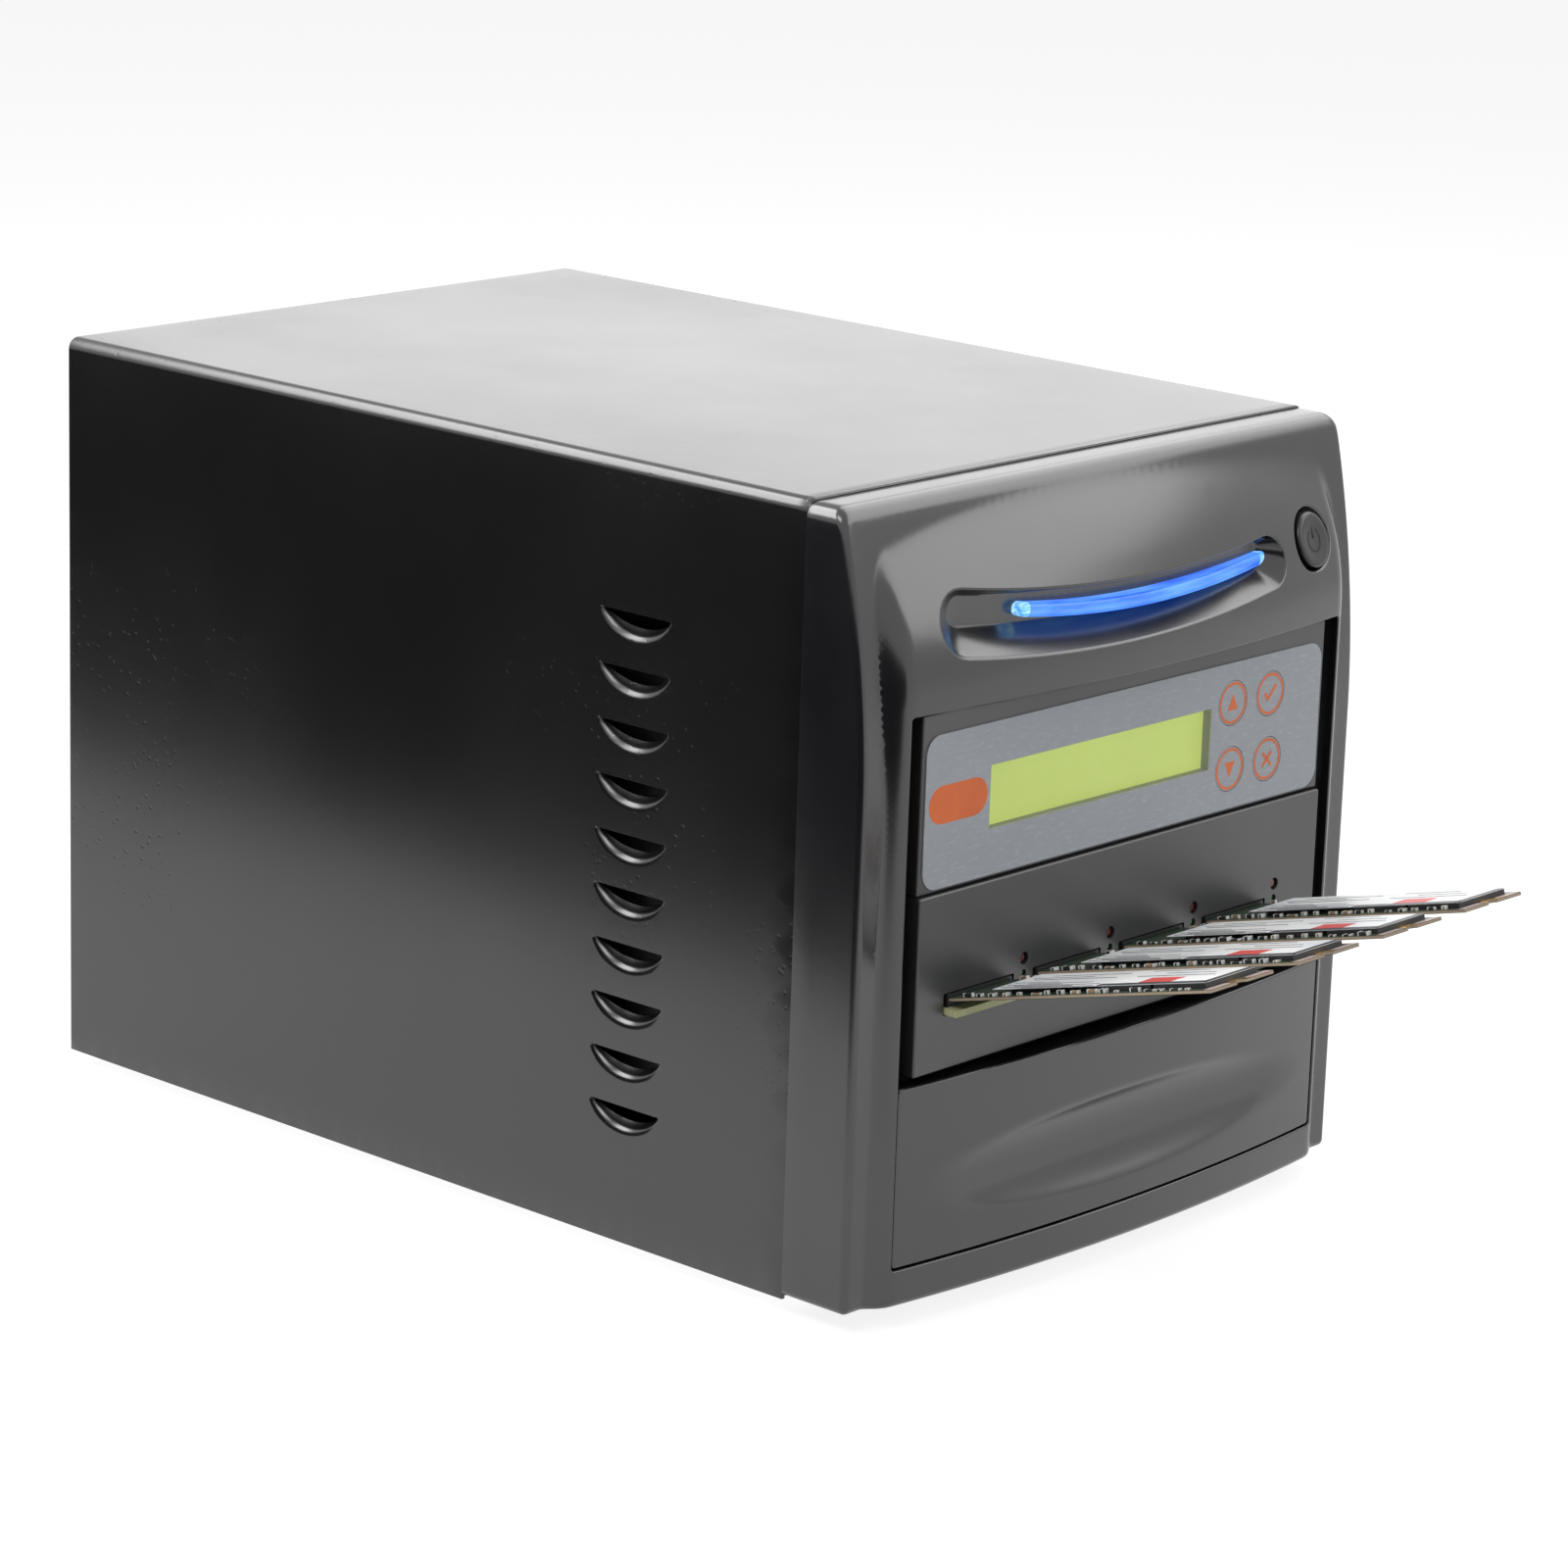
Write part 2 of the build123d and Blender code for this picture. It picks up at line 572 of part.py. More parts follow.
# Rear panel: fan opening, window for the power supply, screw holes
FAN_SCREWS = FAN_HOLE_PITCH / 2
FAN_SPOTS = [(FAN_X + i * FAN_SCREWS, FAN_Z + j * FAN_SCREWS) for i in (-1, 1) for j in (-1, 1)]
SUPPLY_SCREW_X = SUPPLY_WIDTH / 2 - SUPPLY_WINDOW_MARGIN
with BuildPart() as rear_panel:
    with BuildSketch(facing_front(REAR_PANEL_BACK_Y)) as rear_outline:
        panel(-CHASSIS_HALF, CHASSIS_HALF, 0, CHASSIS_TOP_Z)
        chamfer(rear_outline.vertices().group_by(Axis.Z)[-1], CORNER_CUT)
        with Locations((FAN_X, FAN_Z)):
            Circle(FAN_BORE_R, mode=Mode.SUBTRACT)
        with Locations(*FAN_SPOTS):
            Circle(FAN_HOLE_R, mode=Mode.SUBTRACT)
        panel(
            SUPPLY_X - SUPPLY_WIDTH / 2 + SUPPLY_WINDOW_MARGIN,
            SUPPLY_X + SUPPLY_WIDTH / 2 - SUPPLY_WINDOW_MARGIN,
            SUPPLY_BOTTOM_Z + SUPPLY_WINDOW_MARGIN,
            SUPPLY_BOTTOM_Z + SUPPLY_HEIGHT - SUPPLY_WINDOW_MARGIN,
            mode=Mode.SUBTRACT,
        )
        for height in REAR_SCREW_HEIGHTS:
            with Locations((-REAR_SCREW_X, height), (REAR_SCREW_X, height)):
                Circle(REAR_SCREW_R, mode=Mode.SUBTRACT)
    extrude(amount=CHASSIS_SHEET)
finish(rear_panel, "rear_panel")

# Trays and their floors
CONTROLLER_TRAY_Z = LCD_PLATE_BOTTOM_Z + TRAY_FLOOR_RISE
SLOT_TRAY_Z = SLOT_PANEL_BOTTOM_Z + TRAY_FLOOR_RISE
BAY_SCREW_SPOTS = [
    (y, z + BAY_SCREW_RISE) for y in BAY_SCREW_ROWS for z in (SLOT_TRAY_Z, CONTROLLER_TRAY_Z)
]

# Drive cage: two side plates, each with a foot flange and a front flange, and a top plate
for side, name in ((-1, "drive_cage_left"), (1, "drive_cage_right")):
    low_x, high_x = sorted((side * CAGE_INNER_X, side * CAGE_OUTER_X))
    flange_low, flange_high = sorted((side * CAGE_INNER_X, side * (CAGE_OUTER_X + CAGE_FLANGE)))
    with BuildPart() as cage_side:
        with BuildSketch(facing_front(CHASSIS_SHEET + CAGE_LENGTH)):
            panel(low_x, high_x, CHASSIS_SHEET, CAGE_TOP_Z)
            panel(flange_low, flange_high, CHASSIS_SHEET, 2 * CHASSIS_SHEET)
        extrude(amount=CAGE_LENGTH)
        with BuildSketch(facing_front(2 * CHASSIS_SHEET)):
            panel(flange_low, flange_high, CHASSIS_SHEET, CAGE_TOP_Z)
        extrude(amount=CHASSIS_SHEET)
        with BuildSketch(lengthwise(low_x)):
            with Locations(*BAY_SCREW_SPOTS):
                Circle(BAY_SCREW_R + SCREW_PLAY)
        extrude(amount=CHASSIS_SHEET, mode=Mode.SUBTRACT)
    finish(cage_side, name)

# Cage top: plate from front to back, with lips that start behind the louvres
with BuildPart() as cage_top:
    with BuildSketch(facing_front(REAR_PANEL_FRONT_Y)):
        panel(-CHASSIS_HALF, CHASSIS_HALF, CAGE_TOP_Z, CAGE_TOP_Z + CHASSIS_SHEET)
    extrude(amount=REAR_PANEL_FRONT_Y - CHASSIS_SHEET)
    with BuildSketch(facing_front(REAR_PANEL_FRONT_Y)):
        panel(-CHASSIS_HALF, CHASSIS_HALF, CAGE_TOP_Z, CAGE_TOP_Z + CAGE_FLANGE)
        panel(
            CHASSIS_SHEET - CHASSIS_HALF, CHASSIS_HALF - CHASSIS_SHEET,
            CAGE_TOP_Z, CAGE_TOP_Z + CAGE_FLANGE, mode=Mode.SUBTRACT,
        )
    extrude(amount=REAR_PANEL_FRONT_Y - LOUVRE_FRONT_Y - LOUVRE_LENGTH - CAGE_FLANGE)
finish(cage_top, "cage_top")

# Bezel form: frame block with a leaning front, and a bowed pod that stands out of it
BEND_CENTRE_Y = FRAME_FACE_Y + FRAME_BEND_R
POD_AXIS_Y = POD_FACE_Y + POD_BOW_R
POD_HALF = POD_WIDTH / 2
POD_ARC = 2 * math.degrees(math.asin(POD_HALF / POD_BOW_R))


def frame_block(inset):
    """Frame of the bezel with its outer faces moved inward by inset."""
    bend = FRAME_BEND_R - inset
    top = BEZEL_TOP_Z - inset
    low = BEZEL_BOTTOM_Z + inset
    rise = top - FRAME_BEND_Z
    half = BEZEL_WIDTH / 2 - inset
    with BuildPart() as block:
        with BuildSketch(lengthwise(-half)):
            with BuildLine():
                Polyline(
                    (BEND_CENTRE_Y - math.sqrt(bend**2 - rise**2), top), (-BEZEL_GAP, top),
                    (-BEZEL_GAP, low), (BEND_CENTRE_Y - bend, low), (BEND_CENTRE_Y - bend, FRAME_BEND_Z),
                )
                RadiusArc(
                    (BEND_CENTRE_Y - bend, FRAME_BEND_Z),
                    (BEND_CENTRE_Y - math.sqrt(bend**2 - rise**2), top),
                    bend,
                )
            make_face()
        extrude(amount=2 * half)
    return block.part


def pod_block(inset, low, high):
    """Bowed pod between two heights, turned about a far upright axis, with rounded ends."""
    bend = POD_BEND_R - inset
    bend_centre_y = POD_FACE_Y + POD_BEND_R
    tail = -BEZEL_GAP - BEZEL_WALL
    rise = high - POD_BEND_Z
    with BuildPart() as pod:
        with BuildSketch(lengthwise(0)):
            with BuildLine():
                if rise > 0:
                    top_y = bend_centre_y - math.sqrt(bend**2 - rise**2)
                    Polyline(
                        (top_y, high), (tail, high), (tail, low), (POD_FACE_Y + inset, low),
                        (POD_FACE_Y + inset, POD_BEND_Z),
                    )
                    RadiusArc((POD_FACE_Y + inset, POD_BEND_Z), (top_y, high), bend)
                else:
                    Polyline(
                        (POD_FACE_Y + inset, high), (tail, high), (tail, low), (POD_FACE_Y + inset, low),
                        close=True,
                    )
            make_face()
        pod_axis = Axis((0, CASE_FRONT_Y + POD_AXIS_Y, 0), (0, 0, 1))
        revolve(axis=pod_axis, revolution_arc=POD_ARC)
        with BuildPart(mode=Mode.PRIVATE) as other_half:
            add(mirror(pod.part, about=Plane.YZ, mode=Mode.PRIVATE))
        add(other_half.part)
        with BuildSketch(level(low)):
            panel(inset - POD_HALF, POD_HALF - inset, POD_FACE_Y, tail)
        extrude(amount=high - low, mode=Mode.INTERSECT)
        ends = pod.edges().filter_by(
            lambda edge: abs(abs((edge @ 0.5).X) - POD_HALF + inset) < BOSS_R
            and (edge @ 0.5).Y < CASE_FRONT_Y + (POD_FACE_Y + tail) / 2 - BEZEL_WALL
            and low < (edge @ 0.5).Z - CASE_BASE_Z < high
        )
        fillet(ends, POD_CORNER_R - inset)
    return pod.part


def bowed_front(y, low, high):
    """Space behind the pod's bow when its face stands at depth y, for what follows the bow."""
    reach = POD_AXIS_Y - y
    with BuildPart() as bow:
        with BuildSketch(level(low)):
            with Locations((0, POD_AXIS_Y)):
                Circle(reach)
            panel(-HALF_WIDTH, HALF_WIDTH, y - BEZEL_WALL, 0, mode=Mode.INTERSECT)
        extrude(amount=high - low)
    return bow.part


POD_TOP_Z = BEZEL_TOP_Z - BEZEL_EDGE_R
with BuildPart() as front_bezel:
    add(frame_block(0))
    fillet(
        front_bezel.edges().filter_by(
            lambda edge: (edge @ 0.5).Y < CASE_FRONT_Y - BEZEL_GAP - BEZEL_EDGE_R
            or (edge @ 0.5).Z > CASE_BASE_Z + BEZEL_TOP_Z - BEZEL_EDGE_R
            and abs((edge @ 0.5).X) > POD_HALF
            and abs((edge @ 0.5).Y - CASE_FRONT_Y + BEZEL_GAP) > BEZEL_EDGE_R
        ),
        BEZEL_EDGE_R,
    )
    add(pod_block(0, BEZEL_BOTTOM_Z, POD_TOP_Z))

    # Hollow back, less the walls of the opening and the boss of the button
    opening_half = OPENING_WIDTH / 2
    with BuildPart(mode=Mode.PRIVATE) as hollow:
        add(frame_block(BEZEL_WALL))
        add(pod_block(BEZEL_WALL, BEZEL_BOTTOM_Z + BEZEL_WALL, POD_TOP_Z - BEZEL_WALL))
        with BuildSketch(facing_front(-BEZEL_GAP)):
            panel(
                -opening_half - OPENING_WALL, opening_half + OPENING_WALL,
                OPENING_BOTTOM_Z - OPENING_WALL, OPENING_TOP_Z + OPENING_WALL,
            )
            with BuildLine():
                back_arc = ThreePointArc(
                    (SCOOP_CENTRE_X - SCOOP_BACK_SPAN / 2, SCOOP_END_Z + SCOOP_BACK_RISE),
                    (SCOOP_CENTRE_X, SCOOP_END_Z + SCOOP_BACK_RISE - SCOOP_SAG),
                    (SCOOP_CENTRE_X + SCOOP_BACK_SPAN / 2, SCOOP_END_Z + SCOOP_BACK_RISE),
                )
        extrude(amount=-POD_FACE_Y, mode=Mode.SUBTRACT)
        with BuildSketch(facing_front(SCOOP_BACK_Y + BEZEL_WALL)):
            SlotArc(back_arc, SCOOP_HEIGHT + BEZEL_WALL)
        extrude(amount=-POD_FACE_Y, mode=Mode.SUBTRACT)
        with BuildSketch(facing_front(WELL_BACK_Y)):
            with Locations((BUTTON_X, BUTTON_Z)):
                Circle(WELL_R + WELL_BOSS_WALL)
        extrude(amount=-POD_FACE_Y, mode=Mode.SUBTRACT)
    add(hollow.part, mode=Mode.SUBTRACT)

    # Opening with a ledge that the blank cover rests on
    with BuildSketch(facing_front(LEDGE_Y)):
        panel(-opening_half, opening_half, OPENING_BOTTOM_Z, OPENING_TOP_Z)
    extrude(amount=-POD_FACE_Y, mode=Mode.SUBTRACT)
    with BuildSketch(facing_front(0)):
        panel(
            LEDGE - opening_half, opening_half - LEDGE,
            OPENING_BOTTOM_Z + LEDGE / 2, OPENING_TOP_Z,
        )
    extrude(amount=-POD_FACE_Y, mode=Mode.SUBTRACT)

    # Scoop: from its wide mouth back to the narrow upright wall that the light pipe comes out of
    with BuildSketch(facing_front(SCOOP_MOUTH_Y)):
        with BuildLine():
            mouth_arc = ThreePointArc(
                (SCOOP_CENTRE_X - SCOOP_SPAN / 2, SCOOP_END_Z),
                (SCOOP_CENTRE_X, SCOOP_END_Z - SCOOP_SAG),
                (SCOOP_CENTRE_X + SCOOP_SPAN / 2, SCOOP_END_Z),
            )
        SlotArc(mouth_arc, SCOOP_HEIGHT)
    with BuildSketch(facing_front(SCOOP_BACK_Y)):
        with BuildLine():
            wall_arc = ThreePointArc(
                (SCOOP_CENTRE_X - SCOOP_BACK_SPAN / 2, SCOOP_END_Z + SCOOP_BACK_RISE),
                (SCOOP_CENTRE_X, SCOOP_END_Z + SCOOP_BACK_RISE - SCOOP_SAG),
                (SCOOP_CENTRE_X + SCOOP_BACK_SPAN / 2, SCOOP_END_Z + SCOOP_BACK_RISE),
            )
        SlotArc(wall_arc, SCOOP_BACK_HEIGHT)
    loft(mode=Mode.SUBTRACT)
    with BuildSketch(facing_front(0)):
        with BuildLine():
            pipe_arc = ThreePointArc(
                (PIPE_CENTRE_X - PIPE_SPAN / 2, PIPE_END_Z),
                (PIPE_CENTRE_X, PIPE_END_Z - PIPE_SAG),
                (PIPE_CENTRE_X + PIPE_SPAN / 2, PIPE_END_Z),
            )
        SlotArc(pipe_arc, PIPE_HEIGHT + 2 * PIPE_PLAY)
    extrude(amount=-SCOOP_BACK_Y + PIPE_HEIGHT, mode=Mode.SUBTRACT)

    # Round well of the power button
    with BuildSketch(facing_front(WELL_FLOOR_Y)):
        with Locations((BUTTON_X, BUTTON_Z)):
            Circle(WELL_R)
    extrude(amount=-POD_FACE_Y, mode=Mode.SUBTRACT)
    with BuildSketch(facing_front(0)):
        with Locations((BUTTON_X, BUTTON_Z)):
            Circle(BUTTON_R + BUTTON_PLAY)
    extrude(amount=-POD_FACE_Y, mode=Mode.SUBTRACT)

    # Four corner posts that stand on the front frame
    post_x = (POD_HALF + opening_half + OPENING_WALL) / 2
    POST_SPOTS = [
        (x, z) for x in (-post_x, post_x)
        for z in (OPENING_BOTTOM_Z + OPENING_WALL, POD_BEND_Z + OPENING_WALL)
    ]
    with BuildSketch(facing_front(0)):
        with Locations(*POST_SPOTS):
            Circle(BEZEL_POST_R)
    extrude(amount=-FRAME_FACE_Y - BEZEL_WALL / 2)
finish(front_bezel, "front_bezel")

# Light pipe: bar bent like a smile, its front following the bow
with BuildPart() as light_pipe:
    with BuildSketch(facing_front(PIPE_BACK_Y)):
        with BuildLine():
            pipe_line = ThreePointArc(
                (PIPE_CENTRE_X - PIPE_SPAN / 2, PIPE_END_Z),
                (PIPE_CENTRE_X, PIPE_END_Z - PIPE_SAG),
                (PIPE_CENTRE_X + PIPE_SPAN / 2, PIPE_END_Z),
            )
        SlotArc(pipe_line, PIPE_HEIGHT)
    extrude(amount=-POD_FACE_Y)
    add(bowed_front(PIPE_FRONT_Y, OPENING_TOP_Z, BEZEL_TOP_Z), mode=Mode.INTERSECT)
finish(light_pipe, "light_pipe")

# Lamp board: board on spacers, with a lamp at each end of the light pipe
LAMP_XS = (PIPE_CENTRE_X - PIPE_SPAN / 2, PIPE_CENTRE_X + PIPE_SPAN / 2)
with BuildPart() as lamp_board:
    with BuildSketch(facing_front(LAMP_BOARD_Y + BOARD)):
        panel(
            LAMP_XS[0] - PIPE_HEIGHT, LAMP_XS[1] + PIPE_HEIGHT,
            PIPE_END_Z - PIPE_SAG - PIPE_HEIGHT, PIPE_END_Z + PIPE_HEIGHT,
        )
    extrude(amount=BOARD)
    with BuildSketch(facing_front(LAMP_BOARD_Y)):
        with Locations(*[(x, PIPE_END_Z) for x in LAMP_XS]):
            Rectangle(PIPE_HEIGHT, PIPE_HEIGHT - 2 * PIPE_PLAY)
    extrude(amount=LAMP_HEIGHT)
    with BuildSketch(facing_front(0)):
        with Locations(*[(x, PIPE_END_Z) for x in LAMP_XS]):
            Circle(BOSS_R)
    extrude(amount=-LAMP_BOARD_Y - BOARD)
finish(lamp_board, "lamp_board")

# Power button: domed cap, a flange that keeps it behind the boss, and a stem
FLANGE_FRONT_Y = WELL_BACK_Y + BUTTON_PLAY
FLANGE_BACK_Y = FLANGE_FRONT_Y + BUTTON_FLANGE
with BuildPart() as power_button:
    with BuildSketch(facing_front(FLANGE_FRONT_Y)):
        with Locations((BUTTON_X, BUTTON_Z)):
            Circle(BUTTON_R)
    extrude(amount=FLANGE_FRONT_Y - BUTTON_FACE_Y)
    fillet(power_button.edges().group_by(Axis.Y)[0], BUTTON_EDGE_R)
    with BuildSketch(facing_front(FLANGE_BACK_Y)):
        with Locations((BUTTON_X, BUTTON_Z)):
            Circle(BUTTON_FLANGE_R)
    extrude(amount=BUTTON_FLANGE)
    with BuildSketch(facing_front(FLANGE_BACK_Y + BUTTON_STEM)):
        with Locations((BUTTON_X, BUTTON_Z)):
            Circle(BUTTON_STEM_R)
    extrude(amount=BUTTON_STEM)
finish(power_button, "power_button")

# Power switch on the front frame
with BuildPart() as power_switch:
    with BuildSketch(facing_front(0)):
        with Locations((BUTTON_X, BUTTON_Z)):
            RectangleRounded(SWITCH_BODY, SWITCH_BODY, SWITCH_TIP_R)
    extrude(amount=-SWITCH_BODY_Y)
    with BuildSketch(facing_front(SWITCH_BARREL)):
        with Locations((BUTTON_X, BUTTON_Z)):
            Circle(SWITCH_BARREL_R)
    extrude(amount=SWITCH_BARREL)
    with BuildSketch(facing_front(SWITCH_BODY_Y)):
        with Locations((BUTTON_X, BUTTON_Z)):
            Circle(SWITCH_TIP_R)
    extrude(amount=SWITCH_BODY_Y - SWITCH_TIP_Y)
finish(power_switch, "power_switch")

# Return spring between the switch and the button's flange
with BuildPart() as button_spring:
    with BuildSketch(facing_front(SWITCH_BODY_Y)):
        with Locations((BUTTON_X, BUTTON_Z)):
            Circle(SPRING_R)
            Circle(SPRING_R - SPRING_WIRE, mode=Mode.SUBTRACT)
    extrude(amount=SWITCH_BODY_Y - FLANGE_BACK_Y)
finish(button_spring, "button_spring")


def bay_pan(face_y, low, high, wall):
    """Faceplate of one bay: front wall and four returns that run back to the tray behind it."""
    half = BAY_PLATE_WIDTH / 2
    with BuildPart() as pan:
        with BuildSketch(facing_front(0)):
            panel(-half, half, low, high)
        extrude(amount=-face_y)
        with BuildSketch(facing_front(0)):
            panel(PLATE_SIDE - half, half - PLATE_SIDE, low + PLATE_SIDE, high - PLATE_SIDE)
        extrude(amount=-face_y - wall, mode=Mode.SUBTRACT)
    return pan.part


# Display faceplate
KEY_SPOTS = {
    "key_up": (KEY_LEFT_X, KEY_UPPER_Z),
    "key_enter": (KEY_RIGHT_X, KEY_UPPER_Z),
    "key_down": (KEY_LEFT_X, KEY_LOWER_Z),
    "key_escape": (KEY_RIGHT_X, KEY_LOWER_Z),
}
LCD_PLATE_BACK_Y = LCD_PLATE_Y + PLATE_WALL
LCD_FRAME_Y = LCD_PLATE_BACK_Y + PLATE_GAP
LCD_BOARD_Y = LCD_FRAME_Y + LCD_FRAME_DEPTH
KEY_FLANGE_Y = LCD_PLATE_BACK_Y + PLATE_GAP
TACT_TIP_Y = KEY_FLANGE_Y + KEY_FLANGE + TACT_GAP
KEY_BOARD_Y = TACT_TIP_Y + TACT_TIP + TACT_HEIGHT
LCD_BOSS_XS = (WINDOW_LEFT_X - LCD_BOARD_MARGIN_X + BOSS_R, WINDOW_RIGHT_X - BOSS_R)
LCD_BOSS_ZS = (LCD_BOARD_BOTTOM_Z + BOSS_R, LCD_BOARD_TOP_Z - BOSS_R)
KEY_BOSS_X = (KEY_LEFT_X + KEY_RIGHT_X) / 2
KEY_MID_Z = (KEY_UPPER_Z + KEY_LOWER_Z) / 2
KEY_BOSS_SPOTS = [(KEY_BOSS_X, KEY_MID_Z + i * KEY_BOSS_OFFSET_Z) for i in (-1, 1)]
with BuildPart() as lcd_plate:
    add(bay_pan(LCD_PLATE_Y, LCD_PLATE_BOTTOM_Z, LCD_PLATE_TOP_Z, PLATE_WALL))
    with BuildSketch(facing_front(LCD_PLATE_BACK_Y)):
        panel(WINDOW_LEFT_X, WINDOW_RIGHT_X, WINDOW_BOTTOM_Z, WINDOW_TOP_Z)
        with Locations(*KEY_SPOTS.values()):
            Circle(KEY_R + KEY_PLAY)
    extrude(amount=PLATE_WALL, mode=Mode.SUBTRACT)
    with BuildSketch(facing_front(LCD_BOARD_Y)):
        with Locations(*[(x, z) for x in LCD_BOSS_XS for z in LCD_BOSS_ZS]):
            Circle(BOSS_R)
    extrude(amount=LCD_BOARD_Y - LCD_PLATE_BACK_Y)
    with BuildSketch(facing_front(KEY_BOARD_Y)):
        with Locations(*KEY_BOSS_SPOTS):
            Circle(BOSS_R)
    extrude(amount=KEY_BOARD_Y - LCD_PLATE_BACK_Y)
finish(lcd_plate, "lcd_plate")

# Printed film on the faceplate
with BuildPart() as lcd_overlay:
    with BuildSketch(facing_front(LCD_PLATE_Y)):
        with Locations((0, (FILM_BOTTOM_Z + FILM_TOP_Z) / 2)):
            RectangleRounded(FILM_WIDTH, FILM_TOP_Z - FILM_BOTTOM_Z, FILM_CORNER_R)
        panel(WINDOW_LEFT_X, WINDOW_RIGHT_X, WINDOW_BOTTOM_Z, WINDOW_TOP_Z, mode=Mode.SUBTRACT)
        with Locations(*KEY_SPOTS.values()):
            Circle(KEY_R + KEY_PLAY, mode=Mode.SUBTRACT)
    extrude(amount=FILM)
finish(lcd_overlay, "lcd_overlay")

# Clear window in the film
with BuildPart() as lcd_window:
    with BuildSketch(facing_front(LCD_PLATE_Y)):
        panel(
            WINDOW_LEFT_X + WINDOW_PLAY, WINDOW_RIGHT_X - WINDOW_PLAY,
            WINDOW_BOTTOM_Z + WINDOW_PLAY, WINDOW_TOP_Z - WINDOW_PLAY,
        )
    extrude(amount=FILM)
finish(lcd_window, "lcd_window")

# Display: metal frame, glass in it, and the board behind
with BuildPart() as lcd_frame:
    with BuildSketch(facing_front(LCD_BOARD_Y)):
        panel(
            WINDOW_LEFT_X - LCD_FRAME_MARGIN, WINDOW_RIGHT_X + BOSS_R / 2,
            WINDOW_BOTTOM_Z - LCD_FRAME_RIM_Z, WINDOW_TOP_Z + LCD_FRAME_RIM_Z,
        )
    extrude(amount=LCD_FRAME_DEPTH)
    with BuildSketch(facing_front(LCD_FRAME_Y + LCD_GLASS_SINK + LCD_GLASS_DEPTH)):
        panel(
            WINDOW_LEFT_X - LCD_GLASS_OVERLAP, WINDOW_RIGHT_X + LCD_GLASS_OVERLAP,
            WINDOW_BOTTOM_Z - LCD_GLASS_OVERLAP, WINDOW_TOP_Z + LCD_GLASS_OVERLAP,
        )
    extrude(amount=LCD_FRAME_DEPTH, mode=Mode.SUBTRACT)
finish(lcd_frame, "lcd_frame")

with BuildPart() as lcd_glass:
    with BuildSketch(facing_front(LCD_FRAME_Y + LCD_GLASS_SINK + LCD_GLASS_DEPTH)):
        panel(
            WINDOW_LEFT_X - LCD_GLASS_OVERLAP, WINDOW_RIGHT_X + LCD_GLASS_OVERLAP,
            WINDOW_BOTTOM_Z - LCD_GLASS_OVERLAP, WINDOW_TOP_Z + LCD_GLASS_OVERLAP,
        )
    extrude(amount=LCD_GLASS_DEPTH)
finish(lcd_glass, "lcd_glass")

with BuildPart() as lcd_board:
    with BuildSketch(facing_front(LCD_BOARD_Y + BOARD)):
        panel(
            WINDOW_LEFT_X - LCD_BOARD_MARGIN_X, WINDOW_RIGHT_X + BOSS_R / 2,
            LCD_BOARD_BOTTOM_Z, LCD_BOARD_TOP_Z,
        )
    extrude(amount=BOARD)
finish(lcd_board, "lcd_board")

# Keypad board with a touch switch behind each key
with BuildPart() as keypad_board:
    with BuildSketch(facing_front(KEY_BOARD_Y + BOARD)):
        panel(KEY_BOARD_LEFT_X, KEY_BOARD_RIGHT_X, KEY_BOARD_BOTTOM_Z, KEY_BOARD_TOP_Z)
    extrude(amount=BOARD)
    with BuildSketch(facing_front(KEY_BOARD_Y)):
        with Locations(*KEY_SPOTS.values()):
            Rectangle(TACT_BODY, TACT_BODY)
    extrude(amount=TACT_HEIGHT)
    with BuildSketch(facing_front(KEY_BOARD_Y - TACT_HEIGHT)):
        with Locations(*KEY_SPOTS.values()):
            Circle(TACT_TIP_R)
    extrude(amount=TACT_TIP)
finish(keypad_board, "keypad_board")

# Keys: round pads in the film, held by a flange behind the faceplate
for name, spot in KEY_SPOTS.items():
    with BuildPart() as key:
        with BuildSketch(facing_front(KEY_FLANGE_Y)):
            with Locations(spot):
                Circle(KEY_R)
        extrude(amount=KEY_FLANGE_Y - LCD_PLATE_Y + FILM)
        with BuildSketch(facing_front(KEY_FLANGE_Y + KEY_FLANGE)):
            with Locations(spot):
                Circle(KEY_FLANGE_R)
        extrude(amount=KEY_FLANGE)
    finish(key, name)


def bay_tray(floor_z, top_z):
    """Steel tray of one bay: floor, two side walls and the screw holes in them."""
    half = BAY_PLATE_WIDTH / 2
    with BuildPart() as tray:
        with BuildSketch(facing_front(BAY_TRAY_LENGTH)):
            panel(-half, half, floor_z, top_z)
            panel(
                CHASSIS_SHEET - half, half - CHASSIS_SHEET, floor_z + CHASSIS_SHEET, top_z,
                mode=Mode.SUBTRACT,
            )
        extrude(amount=BAY_TRAY_LENGTH)
        with BuildSketch(lengthwise(-half)):
            with Locations(*[(y, floor_z + BAY_SCREW_RISE) for y in BAY_SCREW_ROWS]):
                Circle(BAY_SCREW_R)
        extrude(amount=BAY_PLATE_WIDTH, mode=Mode.SUBTRACT)
    return tray.part


with BuildPart() as controller_tray:
    add(bay_tray(CONTROLLER_TRAY_Z, CONTROLLER_TRAY_TOP_Z))
finish(controller_tray, "controller_tray")

with BuildPart() as slot_tray:
    add(bay_tray(SLOT_TRAY_Z, SLOT_TRAY_TOP_Z))
finish(slot_tray, "slot_tray")

